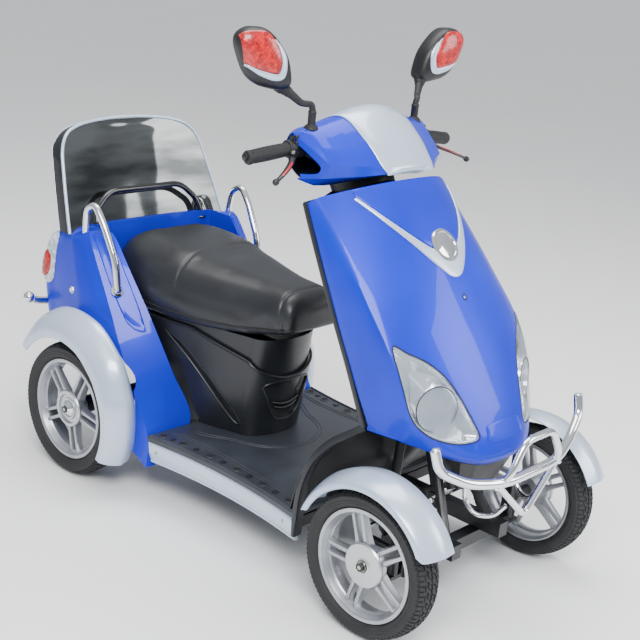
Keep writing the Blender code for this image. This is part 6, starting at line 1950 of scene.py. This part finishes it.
def make_floor():
    """Moulded floor with a rolled rim, contour ribs, rimmed drain holes drawn as painted-shadow discs, and
    square lugs.
    """
    def top(u, v):
        y = FLOOR_FRONT + FLOOR_LENGTH * v
        return Vector(((2 * u - 1) * floor_half(y), y, FLOOR_TOP))
    slab = make_surface(top, 24, 48)
    slab = thickened(slab, 0.0180, (0, -0.05, 0.0))
    piece = add_piece("floor_slab", slab, "floor_plastic", "chassis", ("floorboard",), "black_plastic",
                      40.0)
    rounded_edges(piece, 0.0050, 4, 40.0)
    ribs = []
    for side in (LEFT, RIGHT):
        ribs.append(tube(side_line(side, -0.340, 0.230, 0.007, FLOOR_TOP), 0.0040, 12))
        for inset, low, high in ((0.055, -0.300, 0.205), (0.067, -0.288, 0.190)):
            ribs.append(tube(side_line(side, low, high, inset, RIB_BASE, 0.010), 0.0022, 8))
    for grow in (0.028, 0.040):
        line = closed_curve([(0, -0.030 - grow, RIB_BASE), (0.085 + grow * 0.6, 0.000 - grow * 0.6, RIB_BASE),
                             (0.120 + grow, 0.070, RIB_BASE), (0.150 + grow, 0.200, RIB_BASE),
                             (-0.150 - grow, 0.200, RIB_BASE), (-0.120 - grow, 0.070, RIB_BASE),
                             (-0.085 - grow * 0.6, 0.000 - grow * 0.6, RIB_BASE)], 14)
        line = [p for p in line if p.y < 0.18]
        start = max(range(len(line)), key=lambda k: (line[k] - line[k - 1]).length)
        ribs.append(tube(line[start:] + line[:start], 0.0020, 8))
    for reach, y0 in ((0.090, -0.200), (0.130, -0.190)):
        line = [Vector((reach * sin(a), y0 - reach * 0.55 * cos(a), RIB_BASE))
                for a in [-1.9 + 3.8 * i / 40 for i in range(41)]]
        ribs.append(tube(line, 0.0020, 8))
    add_piece("floor_ribs", joined(ribs), "floor_plastic", "chassis", (), "black_plastic", 60.0)
    rims, holes, lugs = [], [], []
    for side in (LEFT, RIGHT):
        for y in (-0.290, -0.180, -0.075, 0.030, 0.135, 0.205):
            at = Vector((side * (floor_half(y) - 0.032), y, FLOOR_TOP))
            rims.append(turned([(0.0100, 0.0002), (0.0106, 0.0016), (0.0128, 0.0020), (0.0142, 0.0014),
                                (0.0148, 0.0), (0.0100, -0.001)], 32, Matrix.Translation(at)))
            # The holes are not cut: the near-black disc inside each rim is painted shadow
            holes.append(turned([(0.0004, 0.0003), (0.0102, 0.0003), (0.0102, -0.001), (0.0004, -0.001)],
                                24, Matrix.Translation(at)))
        for y in (-0.235, -0.128, -0.022, 0.083, 0.170):
            x = side * (floor_half(y) - 0.030)
            lugs.append(block((x - 0.0075, y - 0.0065, RIB_BASE), (x + 0.0075, y + 0.0065, 0.2086), 0.0014,
                              2))
    add_piece("floor_hole_rims", joined(rims), "floor_plastic", "chassis", (), "black_plastic")
    add_piece("floor_hole_painted_shadows", joined(holes), "shadow_black", "chassis", (), "rubber")
    beads = []
    for side in (LEFT, RIGHT):
        for z, inset, radius in ((0.1275, 0.0155, 0.0046), (0.1820, 0.0022, 0.0024)):
            beads.append(tube(side_line(side, -0.338, 0.228, inset, z), radius, 12))
    add_piece("sill_beads", joined(beads), "silver_paint", "chassis", (), "silver_paint", 60.0)
    screws = [turned([(0.0004, 0.0026), (0.0036, 0.0022), (0.0056, 0.0006), (0.0058, -0.001),
                      (0.0004, -0.001)], 24,
                     aimed((s * (floor_half(y) - 0.0058), y, 0.160), (s * 2, y, 0.160)))
              for s in (LEFT, RIGHT) for y in (-0.300, 0.205)]
    add_piece("sill_screws", joined(screws), "zinc", "chassis", (), "chrome")
    add_piece("floor_lugs", joined(lugs), "satin_plastic", "chassis", (), "black_plastic")


# Leg shield rows: y on the middle plane, y of the hump beside it, z of both; edge x, y, z
LEG_LINES = (
    (-0.120, -0.165, 0.962, 0.255, -0.221, 0.969), (-0.160, -0.215, 0.880, 0.259, -0.266, 0.886),
    (-0.235, -0.285, 0.740, 0.263, -0.343, 0.745), (-0.310, -0.345, 0.590, 0.263, -0.424, 0.597),
    (-0.365, -0.388, 0.460, 0.262, -0.487, 0.470), (-0.392, -0.398, 0.380, 0.302, -0.405, 0.400),
    (-0.395, -0.386, 0.300, 0.330, -0.364, 0.310), (-0.338, -0.336, 0.2086, 0.330, -0.336, 0.2086),
)


def make_leg_shield():
    """Black inner shield, the flange that frames it, and the thick arch edge over each front wheel."""
    def point(u, v):
        lines = []
        for centre, inner, z, xe, ye, ze in LEG_LINES:
            back = Vector((xe + 0.0015, ye + 0.012, ze))
            hump = Vector((0.14, inner, z))
            lines.append(spline([Vector((0.0, centre, z)), Vector((0.06, centre - 0.006, z)), hump,
                                 hump.lerp(back, 0.6), back], u))
        return spline(lines, v)
    skin = thickened(mirror_join(make_surface(point, 32, 72)), 0.0035, (0, -0.9, 0.5))
    add_piece("leg_shield_skin", skin, "black_plastic", "chassis", ("leg_shield",), "black_plastic", 40.0)
    edges = [Vector((xe + 0.0018, ye + 0.007, ze)) for _, _, _, xe, ye, ze in LEG_LINES[:5]]
    arch = [Vector(p) for p in ((0.262, -0.4820, 0.470), (0.284, -0.452, 0.446), (0.305, -0.412, 0.412),
                                (0.322, -0.378, 0.362), (0.330, -0.358, 0.306), (0.3325, -0.349, 0.250),
                                (0.3345, -0.3475, 0.190),
                                (0.3355, -0.3480, 0.140))]

    def strip(line, steps, section, squared):
        """A strip along a line, with the outline that section gives at a share of the way."""
        path = [spline(line, i / steps) for i in range(steps + 1)]
        rings = []
        for i, at in enumerate(path):
            ahead = heading(path, i)
            across = Vector((1, 0, 0))
            deep = across.cross(ahead).normalized()
            if squared:
                across = ahead.cross(deep).normalized()
            rings.append([at + across * a + deep * b for a, b in section(i / steps)])
        return bridged(rings, True, True)

    def trim_section(_):
        return ((-0.0035, -0.0070), (0.0010, -0.0070), (0.0024, -0.0050), (0.0024, 0.0050),
                (0.0010, 0.0070),
                (-0.0035, 0.0070))

    def arch_section(share):
        wide = 0.0095 - 0.003 * max(0.0, share - 0.85) / 0.15
        return ((-0.030, -wide + 0.004), (-0.003, -wide), (0.0012, -wide + 0.0024), (0.0022, 0.0),
                (0.0012, wide - 0.0024), (-0.003, wide), (-0.030, wide - 0.004))
    both = joined([strip(edges, 48, trim_section, False), strip(arch, 64, arch_section, True)])
    add_pairs("chassis", (("leg_shield_edge", both, "satin_plastic", "arch_lip", "black_plastic", 40.0),))


def make_bumper():
    """Chrome guard of bent tubes with rounded ends and hooked stays, and the guard behind."""
    def symmetric(half, radius):
        return rounded(half + [(-x, y, z) for x, y, z in reversed(half)], radius, 12)
    path = symmetric([(0.303, -0.728, 0.512), (0.296, -0.742, 0.462), (0.215, -0.770, 0.418),
                      (0.110, -0.802, 0.404)], 0.050)
    main = [tube(path, 0.0125, 32)]
    for end, before in ((path[0], path[1]), (path[-1], path[-2])):
        away = (end - before).normalized()
        main.append(turned([(0.0004, 0.0062), (0.0050, 0.0058), (0.0090, 0.0042), (0.0118, 0.0014),
                            (0.0125, -0.002), (0.0125, -0.004), (0.0004, -0.004)],
                           32, aimed(end, end + away)))
    main.append(tube(symmetric([(0.112, -0.800, 0.404), (0.100, -0.8125, 0.436), (0.058, -0.8115, 0.504)],
                               0.028), 0.0095, 28))
    main.append(tube(rounded([(0.128, -0.794, 0.402), (0.0, -0.800, 0.287), (-0.128, -0.794, 0.402)], 0.024,
                             14), 0.0085, 28))
    for x, y, z in ((0.112, -0.800, 0.404), (0.128, -0.794, 0.402)):
        for s in (LEFT, RIGHT):
            main.append(turned([(0.0085, -0.004), (0.0120, -0.003), (0.0128, 0.0), (0.0120, 0.003),
                                (0.0085, 0.004)], 24,
                               aimed((s * x, y, z - 0.006 if x > 0.12 else z + 0.006),
                                     (s * x, y, z - 1 if x > 0.12 else z + 1))))
    add_piece("front_guard", joined(main), "chrome", "chassis", ("front_bumper",), "chrome", 50.0)
    stays = []
    for s in (LEFT, RIGHT):
        stays.append(tube(rounded([(s * 0.105, -0.690, 0.352), (s * 0.105, -0.692, 0.318),
                                   (s * 0.100, -0.722, 0.286), (s * 0.080, -0.764, 0.292),
                                   (s * 0.070, -0.790, 0.330)], 0.020, 10), 0.0060, 20))
    add_piece("guard_stays", joined(stays), "chrome", "chassis", (), "chrome", 40.0)
    path = symmetric([(0.352, 0.799, 0.460), (0.318, 0.8095, 0.442), (0.060, 0.8100, 0.400)], 0.035)
    rear = [tube(path, 0.0115, 28)]
    for end, before in ((path[0], path[1]), (path[-1], path[-2])):
        away = (end - before).normalized()
        rear.append(turned([(max(0.0004, 0.0180 * sin(k * pi / 14)), 0.0180 * cos(k * pi / 14))
                            for k in range(15)],
                           32, aimed(end, end + away)))
    for x in (LEFT * 0.1, RIGHT * 0.1):
        leg = rounded([(x, 0.8110, 0.405), (x, 0.8056, 0.315), (x, 0.776, 0.315)], 0.016, 10)
        rear.append(tube(leg, 0.008, 20))
        rear.append(block((x - 0.016, 0.7705, 0.297), (x + 0.016, 0.7780, 0.333), 0.002, 2))
    add_piece("rear_guard", joined(rear), "chrome", "chassis", ("rear_bumper",), "chrome", 50.0)


# Pieces carried over from the CAD model: node, material key, body, edge radius
CARRIED = (
    ("frame", "black_steel", "chassis", 0.0015),
    ("front_beam", "black_steel", "chassis", 0.0015),
    ("knuckle_left", "black_steel", "front_left_knuckle", 0.0008),
    ("knuckle_right", "black_steel", "front_right_knuckle", 0.0008),
    ("tie_rod", "chrome", "steering_tie_rod", 0.0006),
    ("rear_axle_motor", "black_steel", "chassis", 0.0015),
    ("sill_left", "silver_paint", "chassis", 0.0010),
    ("sill_right", "silver_paint", "chassis", 0.0010),
    ("neck_cover", "black_plastic", "chassis", 0.0008),
    ("nose_undertray", "black_plastic", "chassis", 0.0020),
    ("battery_pack", "battery", "chassis", 0.0040),
)


def make_carried():
    """Every CAD node that no detailed piece stands for."""
    for name, material, body, edge in CARRIED:
        carried(name, material, body, edge)


# Studio

CAMERA_PLACE = Vector((-2.4109, -2.21875, 1.6323))
CAMERA_AZIMUTH = -0.84341
CAMERA_ELEVATION = 0.31506
CAMERA_ROLL = 0.09686


def area_light(name, place, aim, size, power, colour="#ffffff"):
    """A soft rectangular lamp at a place, turned to a point."""
    data = bpy.data.lights.new(name, "AREA")
    data.shape = "RECTANGLE"
    data.size, data.size_y = size
    data.energy = power
    data.color = linear(colour)[:3]
    lamp = new_object(name, data)
    turn = (Vector(place) - Vector(aim)).to_track_quat("Z", "Y").to_matrix().to_4x4()
    lamp.matrix_world = Matrix.Translation(place) @ turn


def make_stage(settings):
    """Pale floor, even studio light with three softboxes, and the photograph's camera."""
    bm = bmesh.new()
    bmesh.ops.create_grid(bm, x_segments=1, y_segments=1, size=60.0)
    floor = new_object("studio_floor", finish_mesh(bm, "studio_floor"))
    floor.location.z = -0.0005
    made, tree, output = new_material("Studio floor, matt white sweep")
    tint = mixed(tree, span(tree, noise(tree, coordinates(tree), 0.6), 0.3, 0.7), linear("#ffffff"),
                 linear("#fbfcfd"))
    close(tree, output, node(tree, "ShaderNodeBsdfPrincipled", {"Base Color": tint, "Roughness": 0.9,
                                                               "Specular IOR Level": 0.1}))
    floor.data.materials.append(made)

    world = bpy.data.worlds.new("Studio light")
    world.use_nodes = True
    tree = world.node_tree
    tree.nodes.clear()
    place = node(tree, "ShaderNodeTexCoord").outputs["Generated"]
    height = node(tree, "ShaderNodeSeparateXYZ", {"Vector": place}).outputs["Z"]
    tone = mixed(tree, span(tree, height, -0.1, 0.9), linear("#a9b4c4"), linear("#ffffff"))
    glow = node(tree, "ShaderNodeBackground", {"Color": tone, "Strength": settings.world})
    output = node(tree, "ShaderNodeOutputWorld")
    tree.links.new(glow.outputs["Background"], output.inputs["Surface"])
    bpy.context.scene.world = world

    area_light("key_softbox", (-2.6, -2.4, 3.6), (0, 0, 0.5), (2.4, 1.6), settings.key)
    area_light("front_softbox", (2.2, -3.2, 2.2), (0, -0.3, 0.6), (1.8, 1.8), settings.fill)
    area_light("top_softbox", (0.3, 0.4, 4.2), (0, 0, 0), (3.0, 2.0), settings.top)

    a, e, roll = CAMERA_AZIMUTH, CAMERA_ELEVATION, CAMERA_ROLL
    back = Vector((sin(a) * cos(e), -cos(a) * cos(e), sin(e)))
    right = (-back).cross(Vector((0, 0, 1))).normalized()
    up = right.cross(-back)
    turned_right = right * cos(roll) + up * sin(roll)
    turned_up = up * cos(roll) - right * sin(roll)
    data = bpy.data.cameras.new("photo_camera")
    data.lens = settings.lens
    data.sensor_width = 36.0
    data.clip_start, data.clip_end = 0.05, 200.0
    camera = new_object("photo_camera", data)
    turn = Matrix((turned_right, turned_up, back)).transposed().to_4x4()
    camera.matrix_world = Matrix.Translation(CAMERA_PLACE) @ turn
    bpy.context.scene.camera = camera


# Add-on layer: settings, one operator for each group of pieces, and the panel that lists them

def colour_setting(name, description, code):
    """A colour property whose default is an sRGB hex code."""
    return bpy.props.FloatVectorProperty(name=name, description=description, subtype="COLOR", size=4,
                                         min=0.0, max=1.0, default=linear(code))


class ScooterPaintSettings(bpy.types.PropertyGroup):
    """Colours of the lacquered and trimmed surfaces."""
    blue: colour_setting("Body blue", "Base coat of the shield, cowl and rear body", "#022ad6")
    blue_shade: colour_setting("Body blue, shaded", "Darker tone within the blue base coat", "#0120ba")
    silver: colour_setting("Trim silver", "Base coat of mudguards, sills and the V trim", "#c9d8ea")
    silver_shade: colour_setting("Trim silver, shaded", "Darker tone within the silver coat", "#b6c8de")
    red: colour_setting("Reflector red", "Mirror panels and tail lenses", "#d00a12")
    vinyl: colour_setting("Seat vinyl", "Covering of the saddle", "#1b1d21")


class ScooterWheelSettings(bpy.types.PropertyGroup):
    """Sizes of the tread and the spokes."""
    tread_depth: bpy.props.FloatProperty(name="Tread depth", description="Depth of the tyre grooves",
                                         unit="LENGTH",
                                         default=0.0035, min=0.001, max=0.006)
    tread_pitches: bpy.props.IntProperty(name="Tread blocks", description="Tread blocks round one tyre",
                                         default=44,
                                         min=24, max=60)
    spoke_pairs: bpy.props.IntProperty(name="Spoke pairs", description="Double spokes in each wheel",
                                       default=5,
                                       min=3, max=7)


class ScooterSeatSettings(bpy.types.PropertyGroup):
    """Form of the saddle's padding."""
    pressure: bpy.props.FloatProperty(name="Padding pressure",
                                      description="How hard the foam pushes the vinyl out",
                                      default=4.0, min=0.0, max=10.0)
    rise: bpy.props.FloatProperty(name="Largest rise", description="How far the padding may move at most",
                                  unit="LENGTH",
                                  default=0.004, min=0.0, max=0.010)
    seam_depth: bpy.props.FloatProperty(name="Seam depth", description="Depth of the nose seam",
                                        unit="LENGTH",
                                        default=0.004, min=0.0, max=0.008)


class ScooterStageSettings(bpy.types.PropertyGroup):
    """Studio light and camera."""
    lens: bpy.props.FloatProperty(name="Focal length", description="Camera focal length", unit="CAMERA",
                                  default=69.2157, min=20.0, max=200.0)
    world: bpy.props.FloatProperty(name="Sky strength", description="Strength of the even studio light",
                                   default=0.85,
                                   min=0.0, max=4.0)
    key: bpy.props.FloatProperty(name="Key light", description="Power of the key softbox", unit="POWER",
                                 default=230.0,
                                 min=0.0, max=2000.0)
    fill: bpy.props.FloatProperty(name="Front light", description="Power of the front softbox",
                                  unit="POWER",
                                  default=75.0, min=0.0, max=2000.0)
    top: bpy.props.FloatProperty(name="Top light", description="Power of the top softbox", unit="POWER",
                                 default=130.0,
                                 min=0.0, max=2000.0)


def checked(work):
    """Runs a builder and refuses to go on without new objects, so that a failure stops the script."""
    count = len(bpy.context.scene.objects)
    work()
    if len(bpy.context.scene.objects) <= count:
        raise RuntimeError(f"{work.__name__} made nothing")
    return {"FINISHED"}


class SCOOTER_OT_materials(bpy.types.Operator):
    """Make every finish"""
    bl_idname = "scooter.materials"
    bl_label = "Materials"

    def execute(self, context):
        make_materials(context.scene.scooter_paint)
        if not MATERIALS:
            raise RuntimeError("no material was made")
        return {"FINISHED"}


class SCOOTER_OT_stage(bpy.types.Operator):
    """Make the studio floor, the lights and the camera"""
    bl_idname = "scooter.stage"
    bl_label = "Studio"

    def execute(self, context):
        return checked(lambda: make_stage(context.scene.scooter_stage))


class SCOOTER_OT_wheels(bpy.types.Operator):
    """Make the four tyres, cast rims, hub covers and nuts"""
    bl_idname = "scooter.wheels"
    bl_label = "Wheels"

    def execute(self, context):
        return checked(lambda: make_wheels(context.scene.scooter_wheels))


class SCOOTER_OT_shield(bpy.types.Operator):
    """Make the front shield with its headlamps and V trim"""
    bl_idname = "scooter.shield"
    bl_label = "Front shield"

    def execute(self, context):
        return checked(make_shield)


class SCOOTER_OT_cowl(bpy.types.Operator):
    """Make the handlebar cowl and its dash"""
    bl_idname = "scooter.cowl"
    bl_label = "Handlebar cowl"

    def execute(self, context):
        return checked(make_cowl)


class SCOOTER_OT_bar(bpy.types.Operator):
    """Make the steering column, bar and neck drum"""
    bl_idname = "scooter.bar"
    bl_label = "Column and bar"

    def execute(self, context):
        return checked(make_bar)


class SCOOTER_OT_controls(bpy.types.Operator):
    """Make the grips, switch housings and levers"""
    bl_idname = "scooter.controls"
    bl_label = "Hand controls"

    def execute(self, context):
        return checked(make_hand_controls)


class SCOOTER_OT_mirrors(bpy.types.Operator):
    """Make the two mirrors on their stalks"""
    bl_idname = "scooter.mirrors"
    bl_label = "Mirrors"

    def execute(self, context):
        return checked(make_mirrors)


class SCOOTER_OT_mudguards(bpy.types.Operator):
    """Make the four mudguards"""
    bl_idname = "scooter.mudguards"
    bl_label = "Mudguards"

    def execute(self, context):
        return checked(make_fenders)


class SCOOTER_OT_rear_body(bpy.types.Operator):
    """Make the rear body with its lamps, locks and grab rails"""
    bl_idname = "scooter.rear_body"
    bl_label = "Rear body"

    def execute(self, context):
        return checked(make_rear_body)


class SCOOTER_OT_back_panel(bpy.types.Operator):
    """Make the back panel, its flange and the hoop in front of it"""
    bl_idname = "scooter.back_panel"
    bl_label = "Back panel"

    def execute(self, context):
        return checked(make_back_panel)


class SCOOTER_OT_saddle(bpy.types.Operator):
    """Make the padded saddle with its seams"""
    bl_idname = "scooter.saddle"
    bl_label = "Saddle"

    def execute(self, context):
        return checked(lambda: make_seat(context.scene.scooter_seat))


class SCOOTER_OT_seat_box(bpy.types.Operator):
    """Make the seat box with its second skin"""
    bl_idname = "scooter.seat_box"
    bl_label = "Seat box"

    def execute(self, context):
        return checked(make_seat_box)


class SCOOTER_OT_floor(bpy.types.Operator):
    """Make the floor, its ribs, holes and lugs"""
    bl_idname = "scooter.floor"
    bl_label = "Floor"

    def execute(self, context):
        return checked(make_floor)


class SCOOTER_OT_leg_shield(bpy.types.Operator):
    """Make the inner shield and the arch edges"""
    bl_idname = "scooter.leg_shield"
    bl_label = "Leg shield"

    def execute(self, context):
        return checked(make_leg_shield)


class SCOOTER_OT_guards(bpy.types.Operator):
    """Make the front and rear tube guards"""
    bl_idname = "scooter.guards"
    bl_label = "Guards"

    def execute(self, context):
        return checked(make_bumper)


class SCOOTER_OT_carried(bpy.types.Operator):
    """Carry over the solids that no detailed piece stands for"""
    bl_idname = "scooter.carried"
    bl_label = "Carried solids"

    def execute(self, context):
        return checked(make_carried)


OPERATORS = (
    SCOOTER_OT_materials, SCOOTER_OT_stage, SCOOTER_OT_wheels, SCOOTER_OT_shield, SCOOTER_OT_cowl,
    SCOOTER_OT_bar,
    SCOOTER_OT_controls, SCOOTER_OT_mirrors, SCOOTER_OT_mudguards, SCOOTER_OT_rear_body,
    SCOOTER_OT_back_panel,
    SCOOTER_OT_saddle, SCOOTER_OT_seat_box, SCOOTER_OT_floor, SCOOTER_OT_leg_shield, SCOOTER_OT_guards,
    SCOOTER_OT_carried,
)
SETTINGS = (("scooter_paint", ScooterPaintSettings), ("scooter_wheels", ScooterWheelSettings),
            ("scooter_seat", ScooterSeatSettings), ("scooter_stage", ScooterStageSettings))


class SCOOTER_PT_panel(bpy.types.Panel):
    """Lists the settings and the operators, in the order in which they run"""
    bl_idname = "SCOOTER_PT_panel"
    bl_label = "Mobility scooter"
    bl_space_type = "VIEW_3D"
    bl_region_type = "UI"
    bl_category = "Scooter"

    def draw(self, context):
        for key, group in SETTINGS:
            box = self.layout.box()
            for name in group.__annotations__:
                box.prop(getattr(context.scene, key), name)
        for operator in OPERATORS:
            self.layout.operator(operator.bl_idname)


def register():
    for made in [group for _, group in SETTINGS] + list(OPERATORS) + [SCOOTER_PT_panel]:
        bpy.utils.register_class(made)
    for key, group in SETTINGS:
        setattr(bpy.types.Scene, key, bpy.props.PointerProperty(type=group))


def unregister():
    for key, _ in SETTINGS:
        delattr(bpy.types.Scene, key)
    for made in [SCOOTER_PT_panel] + list(reversed(OPERATORS)) + [group for _, group in SETTINGS]:
        bpy.utils.unregister_class(made)


def main():
    register()
    for operator in OPERATORS:
        group, name = operator.bl_idname.split(".")
        getattr(getattr(bpy.ops, group), name)()
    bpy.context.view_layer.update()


if __name__ == "__main__":
    main()
